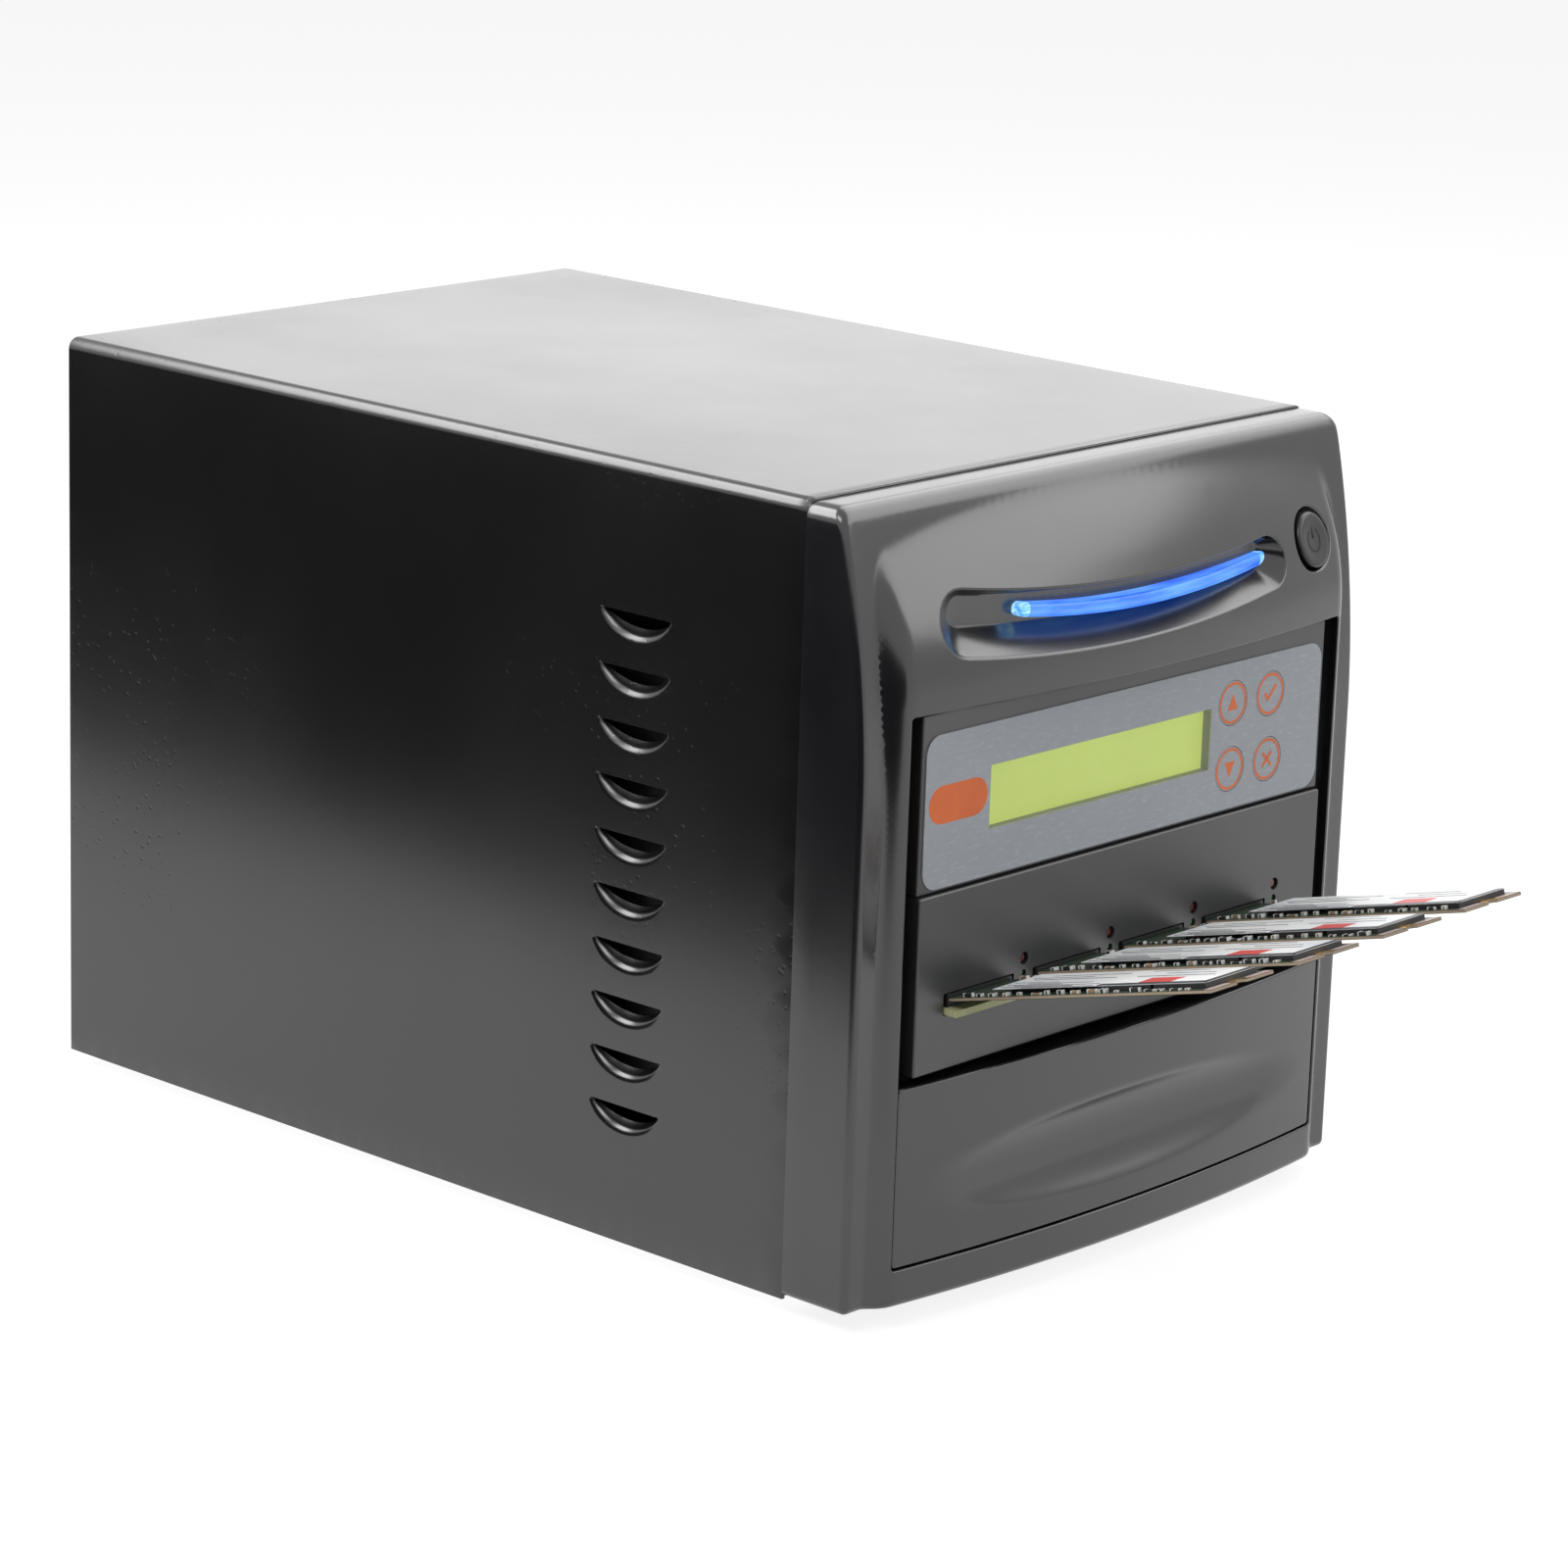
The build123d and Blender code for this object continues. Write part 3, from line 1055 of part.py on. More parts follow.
# Controller board with its processor, finned sink, memory and drive ports
CONTROLLER_BOARD_Z = CONTROLLER_TRAY_Z + CHASSIS_SHEET + CONTROLLER_STANDOFF
CONTROLLER_MID_Y = (CONTROLLER_BOARD_FRONT_Y + CONTROLLER_BOARD_BACK_Y) / 2
with BuildPart() as controller_board:
    with BuildSketch(level(CONTROLLER_BOARD_Z)):
        panel(
            -CONTROLLER_BOARD_WIDTH / 2, CONTROLLER_BOARD_WIDTH / 2,
            CONTROLLER_BOARD_FRONT_Y, CONTROLLER_BOARD_BACK_Y,
        )
    extrude(amount=BOARD)
    with BuildSketch(level(CONTROLLER_BOARD_Z + BOARD)):
        with Locations((0, CONTROLLER_MID_Y)):
            Rectangle(PROCESSOR_SIDE, PROCESSOR_SIDE)
    extrude(amount=PROCESSOR_HEIGHT + SINK_HEIGHT)
    with BuildSketch(level(CONTROLLER_BOARD_Z + BOARD + 2 * PROCESSOR_HEIGHT)):
        with Locations((0, CONTROLLER_MID_Y)):
            with GridLocations(PROCESSOR_SIDE / SINK_FINS, 0, SINK_FINS - 1, 1):
                Rectangle(SINK_SLOT, PROCESSOR_SIDE)
    extrude(amount=SINK_HEIGHT, mode=Mode.SUBTRACT)
    with BuildSketch(level(CONTROLLER_BOARD_Z + BOARD)):
        with Locations((0, CONTROLLER_BOARD_BACK_Y - PORT_DEPTH / 2)):
            with GridLocations(PORT_PITCH, 0, DRIVE_COUNT + 1, 1):
                Rectangle(PORT_WIDTH, PORT_DEPTH)
    extrude(amount=PORT_HEIGHT)
finish(controller_board, "controller_board")

# Standoffs of the controller board and of the adapter boards
CONTROLLER_POSTS = [
    (x, y)
    for x in (STANDOFF_INSET - CONTROLLER_BOARD_WIDTH / 2, CONTROLLER_BOARD_WIDTH / 2 - STANDOFF_INSET)
    for y in (CONTROLLER_BOARD_FRONT_Y + STANDOFF_INSET, CONTROLLER_BOARD_BACK_Y - STANDOFF_INSET)
]
ADAPTER_POSTS = [
    (x + ADAPTER_SHIFT_X, y)
    for x in DRIVE_XS for y in (STANDOFF_INSET, ADAPTER_BACK_Y - STANDOFF_INSET)
]
with BuildPart() as board_standoffs:
    with BuildSketch(level(CONTROLLER_TRAY_Z + CHASSIS_SHEET)):
        with Locations(*CONTROLLER_POSTS):
            RegularPolygon(STANDOFF_R, 6)
    extrude(amount=CONTROLLER_STANDOFF)
    with BuildSketch(level(SLOT_TRAY_Z + CHASSIS_SHEET)):
        with Locations(*ADAPTER_POSTS):
            RegularPolygon(STANDOFF_R, 6)
    extrude(amount=ADAPTER_TOP_Z - BOARD - SLOT_TRAY_Z - CHASSIS_SHEET)
finish(board_standoffs, "board_standoffs")

# Slot panel
LAMP_XS_PANEL = [x + LAMP_OFFSET_X for x in DRIVE_XS]
with BuildPart() as slot_panel:
    add(bay_pan(SLOT_PANEL_Y, SLOT_PANEL_BOTTOM_Z, SLOT_PANEL_TOP_Z, SLOT_PANEL_WALL))
    with BuildSketch(facing_front(SLOT_PANEL_Y + SLOT_PANEL_WALL)):
        for x in DRIVE_XS:
            panel(x - SLOT_WIDTH / 2, x + SLOT_WIDTH / 2, SLOT_BOTTOM_Z, SLOT_TOP_Z)
        with Locations(*[(x, RED_LAMP_Z) for x in LAMP_XS_PANEL]):
            Circle(RED_LAMP_R + LAMP_PLAY)
        with Locations(*[(x, GREEN_LAMP_Z) for x in LAMP_XS_PANEL]):
            Circle(GREEN_LAMP_R + LAMP_PLAY)
    extrude(amount=SLOT_PANEL_WALL, mode=Mode.SUBTRACT)
finish(slot_panel, "slot_panel")

# Adapter boards: a narrow tongue comes out of each slot
with BuildPart() as adapter_boards:
    with BuildSketch(level(ADAPTER_TOP_Z - BOARD)):
        for x in DRIVE_XS:
            panel(
                x - ADAPTER_TONGUE_WIDTH / 2, x + ADAPTER_TONGUE_WIDTH / 2,
                ADAPTER_FRONT_Y, ADAPTER_SHOULDER_Y,
            )
            panel(
                x + ADAPTER_SHIFT_X - ADAPTER_WIDTH / 2, x + ADAPTER_SHIFT_X + ADAPTER_WIDTH / 2,
                ADAPTER_SHOULDER_Y, ADAPTER_BACK_Y,
            )
    extrude(amount=BOARD)
finish(adapter_boards, "adapter_boards")


def drive_plane(x, lift):
    """Plane of one drive's board, with its y pointing back into the socket and lift above mid-board."""
    seat = Vector(x, CASE_FRONT_Y + DRIVE_SEAT_Y, CASE_BASE_Z + DRIVE_SEAT_Z)
    normal = Vector(0, math.sin(TILT), math.cos(TILT))
    return Plane(origin=seat + normal * lift, x_dir=(1, 0, 0), z_dir=normal)


# Sockets: black blocks, each with a tilted channel that takes the end of a drive
with BuildPart() as drive_sockets:
    with BuildSketch(level(ADAPTER_TOP_Z)):
        for x in DRIVE_XS:
            panel(
                x - SOCKET_WIDTH / 2, x + SOCKET_WIDTH / 2,
                SOCKET_FRONT_Y, SOCKET_FRONT_Y + SOCKET_DEPTH,
            )
    extrude(amount=SOCKET_HEIGHT)
    for x in DRIVE_XS:
        with BuildSketch(drive_plane(x, -DRIVE_BOARD / 2 - SOCKET_PLAY)):
            panel(
                -TONGUE_WIDTH / 2 - SOCKET_PLAY, TONGUE_WIDTH / 2 + SOCKET_PLAY,
                -2 * TONGUE_LENGTH, SOCKET_PLAY,
            )
        extrude(amount=DRIVE_BOARD + 2 * SOCKET_PLAY, mode=Mode.SUBTRACT)
finish(drive_sockets, "drive_sockets")

# Lamp holders on the adapter boards, and the red and green lamps in front of them
LAMP_TIP_Y = SLOT_PANEL_Y + LAMP_TIP_SINK
LAMP_BACK_Y = LAMP_TIP_Y + LAMP_LENGTH
with BuildPart() as lamp_holders:
    with BuildSketch(facing_front(LAMP_BACK_Y + LAMP_HOLDER_DEPTH)):
        for x in LAMP_XS_PANEL:
            panel(
                x - LAMP_HOLDER_WIDTH / 2, x + LAMP_HOLDER_WIDTH / 2,
                ADAPTER_TOP_Z, RED_LAMP_Z + RED_LAMP_R,
            )
    extrude(amount=LAMP_HOLDER_DEPTH)
finish(lamp_holders, "lamp_holders")

for name, height, radius in (
    ("red_lamps", RED_LAMP_Z, RED_LAMP_R),
    ("green_lamps", GREEN_LAMP_Z, GREEN_LAMP_R),
):
    with BuildPart() as lamps:
        with BuildSketch(facing_front(LAMP_BACK_Y)):
            with Locations(*[(x, height) for x in LAMP_XS_PANEL]):
                Circle(radius)
        extrude(amount=LAMP_LENGTH)
        fillet(lamps.edges().group_by(Axis.Y)[0], radius / 2)
    finish(lamps, name)

# Drives: board with a narrow contact end and a screw notch, chips on it, and a label over the chips
CHIPS = (
    (MEMORY_FAR_START, MEMORY_LENGTH, MEMORY_WIDTH),
    (MEMORY_NEAR_START, MEMORY_LENGTH, MEMORY_WIDTH),
    (CONTROLLER_START, CONTROLLER_SIDE, CONTROLLER_SIDE),
    (BUFFER_START, BUFFER_LENGTH, BUFFER_WIDTH),
)
for index, x in enumerate(DRIVE_XS):
    with BuildPart() as drive_board:
        with BuildSketch(drive_plane(x, -DRIVE_BOARD / 2)):
            panel(-DRIVE_WIDTH / 2, DRIVE_WIDTH / 2, -DRIVE_LENGTH, -TONGUE_LENGTH)
            panel(-TONGUE_WIDTH / 2, TONGUE_WIDTH / 2, -TONGUE_LENGTH, 0)
            with Locations((0, -DRIVE_LENGTH)):
                Circle(NOTCH_R, mode=Mode.SUBTRACT)
        extrude(amount=DRIVE_BOARD)
    finish(drive_board, f"drive_{index + 1}_board")

    with BuildPart() as drive_chips:
        with BuildSketch(drive_plane(x, DRIVE_BOARD / 2)):
            for start, length, width in CHIPS:
                panel(-width / 2, width / 2, -start - length, -start)
        extrude(amount=CHIP_HEIGHT)
        with BuildSketch(drive_plane(x, DRIVE_BOARD / 2)):
            row_x = SMALL_PART_ROW - DRIVE_WIDTH / 2
            for i in range(SMALL_PART_COUNT):
                along = SMALL_PART_START + i * SMALL_PART_PITCH
                length = SMALL_PART_LENGTHS[i % len(SMALL_PART_LENGTHS)]
                panel(
                    row_x - SMALL_PART_WIDTH / 2, row_x + SMALL_PART_WIDTH / 2,
                    -along - length, -along,
                )
            tip = END_PART_FROM_TIP - DRIVE_LENGTH
            panel(
                row_x - SMALL_PART_WIDTH / 2, row_x - SMALL_PART_WIDTH / 2 + END_PART_SIZE,
                tip, tip + END_PART_SIZE,
            )
        extrude(amount=SMALL_PART_HEIGHT)
    finish(drive_chips, f"drive_{index + 1}_chips")

    with BuildPart() as drive_label:
        with BuildSketch(drive_plane(x, DRIVE_BOARD / 2 + CHIP_HEIGHT)):
            panel(-LABEL_WIDTH / 2, LABEL_WIDTH / 2, -LABEL_END, -LABEL_START)
        extrude(amount=LABEL)
    finish(drive_label, f"drive_{index + 1}_label")

# Blank cover: bowed like the pod, with an elliptical finger scoop and a hollow back
FINGER_AXIS_Y = POD_FACE_Y + BLANK_SINK - FINGER_AXIS_OUT
FINGER_MID_R = FINGER_AXIS_OUT + FINGER_DEPTH
FINGER_END_R = FINGER_AXIS_OUT + FINGER_HALF_LENGTH**2 / (2 * POD_BOW_R)


def finger_cutter(grow):
    """Long barrel that cuts the finger scoop where it dips behind the bowed face."""
    with BuildPart() as cutter:
        with BuildSketch(level(FINGER_Z)):
            with BuildLine():
                left = (-FINGER_HALF_LENGTH, FINGER_AXIS_Y + FINGER_END_R + grow)
                right = (FINGER_HALF_LENGTH, FINGER_AXIS_Y + FINGER_END_R + grow)
                ThreePointArc(left, (0, FINGER_AXIS_Y + FINGER_MID_R + grow), right)
                Polyline(
                    right, (FINGER_HALF_LENGTH, FINGER_AXIS_Y),
                    (-FINGER_HALF_LENGTH, FINGER_AXIS_Y), left,
                )
            make_face()
        barrel_axis = Axis((0, CASE_FRONT_Y + FINGER_AXIS_Y, CASE_BASE_Z + FINGER_Z), (1, 0, 0))
        revolve(axis=barrel_axis)
    return cutter.part


with BuildPart() as blank_cover:
    with BuildSketch(facing_front(BLANK_BACK_Y)):
        panel(-BLANK_WIDTH / 2, BLANK_WIDTH / 2, BLANK_BOTTOM_Z, BLANK_TOP_Z)
    extrude(amount=BLANK_BACK_Y - POD_FACE_Y)
    add(bowed_front(POD_FACE_Y + BLANK_SINK, 0, CASE_HEIGHT), mode=Mode.INTERSECT)
    with BuildPart(mode=Mode.PRIVATE) as blank_hollow:
        with BuildSketch(facing_front(BLANK_BACK_Y)):
            panel(
                3 * BLANK_WALL - BLANK_WIDTH / 2, BLANK_WIDTH / 2 - 3 * BLANK_WALL,
                BLANK_BOTTOM_Z + BLANK_WALL, BLANK_TOP_Z - BLANK_WALL,
            )
        extrude(amount=BLANK_BACK_Y - POD_FACE_Y)
        add(bowed_front(POD_FACE_Y + BLANK_SINK + BLANK_WALL, 0, CASE_HEIGHT), mode=Mode.INTERSECT)
        add(finger_cutter(BLANK_WALL), mode=Mode.SUBTRACT)
    add(blank_hollow.part, mode=Mode.SUBTRACT)
    add(finger_cutter(0), mode=Mode.SUBTRACT)
    clip_mid_z = (BLANK_BOTTOM_Z + BLANK_TOP_Z) / 2
    with BuildSketch(facing_front(0)):
        clip_x = CAGE_INNER_X - CLIP_PLAY
        panel(-clip_x, CLIP_WALL - clip_x, clip_mid_z - CLIP_WIDTH / 2, clip_mid_z + CLIP_WIDTH / 2)
        panel(clip_x - CLIP_WALL, clip_x, clip_mid_z - CLIP_WIDTH / 2, clip_mid_z + CLIP_WIDTH / 2)
    extrude(amount=-BLANK_BACK_Y)
finish(blank_cover, "blank_cover")

# Feet and the screws through them
with BuildPart() as feet:
    with BuildSketch(level(-FOOT_HEIGHT)):
        with Locations(*FOOT_SPOTS):
            Circle(FOOT_R - FOOT_TAPER)
    with BuildSketch(level(0)):
        with Locations(*FOOT_SPOTS):
            Circle(FOOT_R)
    for low_face, high_face in zip(
        sorted(feet.pending_faces[:4], key=lambda face: (face.center().X, face.center().Y)),
        sorted(feet.pending_faces[4:], key=lambda face: (face.center().X, face.center().Y)),
    ):
        add(Solid.make_loft([low_face.outer_wire(), high_face.outer_wire()]))
    feet.pending_faces.clear()
    feet.pending_face_planes.clear()
    with BuildSketch(level(-FOOT_HEIGHT)):
        with Locations(*FOOT_SPOTS):
            Circle(FOOT_POCKET_R)
    extrude(amount=FOOT_POCKET, mode=Mode.SUBTRACT)
    with BuildSketch(level(-FOOT_HEIGHT)):
        with Locations(*FOOT_SPOTS):
            Circle(FOOT_SCREW_R)
    extrude(amount=FOOT_HEIGHT, mode=Mode.SUBTRACT)
finish(feet, "feet")

with BuildPart() as foot_screws:
    with BuildSketch(level(FOOT_POCKET - FOOT_HEIGHT - FOOT_SCREW_HEAD)):
        with Locations(*FOOT_SPOTS):
            Circle(FOOT_SCREW_HEAD_R)
    extrude(amount=FOOT_SCREW_HEAD)
    with BuildSketch(level(FOOT_POCKET - FOOT_HEIGHT)):
        with Locations(*FOOT_SPOTS):
            Circle(FOOT_SCREW_R)
    extrude(amount=FOOT_HEIGHT - FOOT_POCKET + 2 * CHASSIS_SHEET)
finish(foot_screws, "foot_screws")

# Screws that hold the trays in the cage
with BuildPart() as bay_screws:
    for side in (-1, 1):
        outer = lengthwise(side * CAGE_OUTER_X)
        with BuildSketch(outer):
            with Locations(*BAY_SCREW_SPOTS):
                Circle(BAY_SCREW_HEAD_R)
        extrude(amount=side * BAY_SCREW_HEAD)
        with BuildSketch(outer):
            with Locations(*BAY_SCREW_SPOTS):
                Circle(BAY_SCREW_R)
        extrude(amount=-side * (CAGE_OUTER_X - BAY_PLATE_WIDTH / 2 + 2 * CHASSIS_SHEET))
finish(bay_screws, "bay_screws")

# Power supply: sheet box with vents at both ends and openings for the inlet and the rocker
VENT_X = SUPPLY_X + VENT_OFFSET_X
with BuildPart() as supply_case:
    with BuildSketch(facing_front(REAR_PANEL_FRONT_Y)):
        with Locations((SUPPLY_X, SUPPLY_MID_Z)):
            Rectangle(SUPPLY_WIDTH, SUPPLY_HEIGHT)
    extrude(amount=SUPPLY_LENGTH)
    with BuildSketch(facing_front(REAR_PANEL_FRONT_Y - SUPPLY_SHEET)):
        with Locations((SUPPLY_X, SUPPLY_MID_Z)):
            Rectangle(SUPPLY_WIDTH - 2 * SUPPLY_SHEET, SUPPLY_HEIGHT - 2 * SUPPLY_SHEET)
    extrude(amount=SUPPLY_LENGTH - 2 * SUPPLY_SHEET, mode=Mode.SUBTRACT)
    with BuildSketch(facing_front(REAR_PANEL_FRONT_Y)):
        with Locations((INLET_X, SUPPLY_MID_Z)):
            Rectangle(INLET_BODY_WIDTH, INLET_BODY_HEIGHT)
        with Locations((ROCKER_X, SUPPLY_MID_Z)):
            Rectangle(ROCKER_BODY_WIDTH, ROCKER_BODY_HEIGHT)
    extrude(amount=SUPPLY_SHEET, mode=Mode.SUBTRACT)
    with BuildSketch(facing_front(REAR_PANEL_FRONT_Y)):
        with Locations((VENT_X, SUPPLY_MID_Z)):
            with GridLocations(VENT_PITCH, 0, VENT_COUNT, 1):
                SlotOverall(VENT_HEIGHT, VENT_WIDTH, rotation=90)
    extrude(amount=SUPPLY_LENGTH, mode=Mode.SUBTRACT)
finish(supply_case, "supply_case")

# Supply board on posts, with a transformer, a heat sink and two capacitors
SUPPLY_BOARD_Z = SUPPLY_BOTTOM_Z + SUPPLY_SHEET + SUPPLY_BOARD_RISE
SUPPLY_BOARD_BACK_Y = REAR_PANEL_FRONT_Y - 2 * INLET_DEPTH
SUPPLY_BOARD_FRONT_Y = SUPPLY_FRONT_Y + STANDOFF_INSET
SUPPLY_BOARD_MID_Y = (SUPPLY_BOARD_BACK_Y + SUPPLY_BOARD_FRONT_Y) / 2
SUPPLY_BOARD_WIDTH = SUPPLY_WIDTH - 2 * STANDOFF_INSET
TALL_PART = SUPPLY_HEIGHT / 2
with BuildPart() as supply_board:
    with BuildSketch(level(SUPPLY_BOARD_Z)):
        panel(
            SUPPLY_X - SUPPLY_BOARD_WIDTH / 2, SUPPLY_X + SUPPLY_BOARD_WIDTH / 2,
            SUPPLY_BOARD_FRONT_Y, SUPPLY_BOARD_BACK_Y,
        )
    extrude(amount=BOARD)
    with BuildSketch(level(SUPPLY_BOARD_Z - SUPPLY_BOARD_RISE)):
        with Locations((SUPPLY_X, SUPPLY_BOARD_MID_Y)):
            with GridLocations(
                SUPPLY_BOARD_WIDTH - 2 * STANDOFF_R - BOARD,
                SUPPLY_BOARD_BACK_Y - SUPPLY_BOARD_FRONT_Y - 2 * STANDOFF_R - BOARD, 2, 2,
            ):
                Circle(STANDOFF_R)
    extrude(amount=SUPPLY_BOARD_RISE)
    with BuildSketch(level(SUPPLY_BOARD_Z + BOARD)):
        with Locations((SUPPLY_X, SUPPLY_BOARD_MID_Y)):
            Rectangle(PROCESSOR_SIDE, PROCESSOR_SIDE)
        with Locations((SUPPLY_X - PROCESSOR_SIDE, SUPPLY_BOARD_MID_Y)):
            Rectangle(FAN_BASE, 2 * PROCESSOR_SIDE)
        with Locations((SUPPLY_X, SUPPLY_BOARD_BACK_Y - PROCESSOR_SIDE / 2)):
            with GridLocations(PROCESSOR_SIDE, 0, 2, 1):
                Circle(CAPACITOR_R)
    extrude(amount=TALL_PART)
finish(supply_board, "supply_board")

# Mains inlet: flanged body with a shaped mouth and three flat pins
INLET_FACE_Y = REAR_PANEL_FRONT_Y + INLET_FLANGE
with BuildPart() as mains_inlet:
    with BuildSketch(facing_front(INLET_FACE_Y)):
        with Locations((INLET_X, SUPPLY_MID_Z)):
            RectangleRounded(INLET_FLANGE_WIDTH, INLET_FLANGE_HEIGHT, INLET_FLANGE)
    extrude(amount=INLET_FLANGE)
    with BuildSketch(facing_front(REAR_PANEL_FRONT_Y)):
        with Locations((INLET_X, SUPPLY_MID_Z)):
            Rectangle(INLET_BODY_WIDTH, INLET_BODY_HEIGHT)
    extrude(amount=INLET_DEPTH)
    with BuildSketch(facing_front(INLET_FACE_Y)) as mouth:
        with Locations((INLET_X, SUPPLY_MID_Z)):
            Rectangle(INLET_MOUTH_WIDTH, INLET_MOUTH_HEIGHT)
        chamfer(mouth.vertices().group_by(Axis.Z)[-1], INLET_CORNER)
    extrude(amount=INLET_DEPTH + INLET_FLANGE - INLET_FLOOR, mode=Mode.SUBTRACT)
finish(mains_inlet, "mains_inlet")

INLET_FLOOR_Y = REAR_PANEL_FRONT_Y - INLET_DEPTH + INLET_FLOOR
PIN_SPOTS = [
    (INLET_X - PIN_PITCH, SUPPLY_MID_Z - PIN_RAISE),
    (INLET_X, SUPPLY_MID_Z + PIN_RAISE),
    (INLET_X + PIN_PITCH, SUPPLY_MID_Z - PIN_RAISE),
]
with BuildPart() as inlet_pins:
    with BuildSketch(facing_front(INLET_FLOOR_Y + PIN_LENGTH)):
        with Locations(*PIN_SPOTS):
            Rectangle(PIN_WIDTH, PIN_HEIGHT)
    extrude(amount=PIN_LENGTH)
finish(inlet_pins, "inlet_pins")

# Rocker switch: flanged housing, and a paddle that tilts on two pins in its walls
ROCKER_FACE_Y = REAR_PANEL_FRONT_Y + INLET_FLANGE
ROCKER_PIVOT_Y = ROCKER_FACE_Y - ROCKER_PIVOT_DEPTH
with BuildPart() as rocker_housing:
    with BuildSketch(facing_front(ROCKER_FACE_Y)):
        with Locations((ROCKER_X, SUPPLY_MID_Z)):
            RectangleRounded(ROCKER_FLANGE_WIDTH, ROCKER_FLANGE_HEIGHT, ROCKER_PIN)
    extrude(amount=INLET_FLANGE)
    with BuildSketch(facing_front(REAR_PANEL_FRONT_Y)):
        with Locations((ROCKER_X, SUPPLY_MID_Z)):
            Rectangle(ROCKER_BODY_WIDTH, ROCKER_BODY_HEIGHT)
    extrude(amount=ROCKER_DEPTH)
    with BuildSketch(facing_front(ROCKER_FACE_Y)):
        with Locations((ROCKER_X, SUPPLY_MID_Z)):
            Rectangle(ROCKER_MOUTH_WIDTH, ROCKER_MOUTH_HEIGHT)
    extrude(amount=ROCKER_MOUTH_DEPTH, mode=Mode.SUBTRACT)
    with BuildSketch(lengthwise(ROCKER_X - ROCKER_MOUTH_WIDTH / 2 - ROCKER_PIN)):
        with Locations((ROCKER_PIVOT_Y, SUPPLY_MID_Z)):
            Circle(ROCKER_PIN_R + PIVOT_PLAY)
    extrude(amount=ROCKER_MOUTH_WIDTH + 2 * ROCKER_PIN, mode=Mode.SUBTRACT)
finish(rocker_housing, "rocker_housing")

with BuildPart() as power_rocker:
    rocker_plane = lengthwise(ROCKER_X - ROCKER_PADDLE_WIDTH / 2)
    rocker_half = ROCKER_PADDLE_HEIGHT / 2
    with BuildSketch(rocker_plane):
        with BuildLine():
            ThreePointArc(
                (ROCKER_FACE_Y + ROCKER_RISE, SUPPLY_MID_Z - rocker_half),
                (ROCKER_FACE_Y + ROCKER_RISE - ROCKER_DIP, SUPPLY_MID_Z),
                (ROCKER_FACE_Y + ROCKER_RISE, SUPPLY_MID_Z + rocker_half),
            )
            Polyline(
                (ROCKER_FACE_Y + ROCKER_RISE, SUPPLY_MID_Z + rocker_half),
                (ROCKER_FACE_Y - ROCKER_RISE, SUPPLY_MID_Z + rocker_half),
                (ROCKER_PIVOT_Y - ROCKER_HUB_R, SUPPLY_MID_Z + ROCKER_HUB_R / 2),
                (ROCKER_PIVOT_Y - ROCKER_HUB_R, SUPPLY_MID_Z - ROCKER_HUB_R / 2),
                (ROCKER_FACE_Y - ROCKER_RISE, SUPPLY_MID_Z - rocker_half),
                (ROCKER_FACE_Y + ROCKER_RISE, SUPPLY_MID_Z - rocker_half),
            )
        make_face()
    extrude(amount=ROCKER_PADDLE_WIDTH)
    with BuildSketch(lengthwise(ROCKER_X - ROCKER_MOUTH_WIDTH / 2 - ROCKER_PIN + PIVOT_PLAY)):
        with Locations((ROCKER_PIVOT_Y, SUPPLY_MID_Z)):
            Circle(ROCKER_PIN_R)
    extrude(amount=ROCKER_MOUTH_WIDTH + 2 * ROCKER_PIN - 2 * PIVOT_PLAY)
    rest_tilt = Axis((0, CASE_FRONT_Y + ROCKER_PIVOT_Y, CASE_BASE_Z + SUPPLY_MID_Z), (1, 0, 0))
    tilted = power_rocker.part.rotate(rest_tilt, -ROCKER_TILT)
    add(tilted, mode=Mode.REPLACE)
finish(power_rocker, "power_rocker")

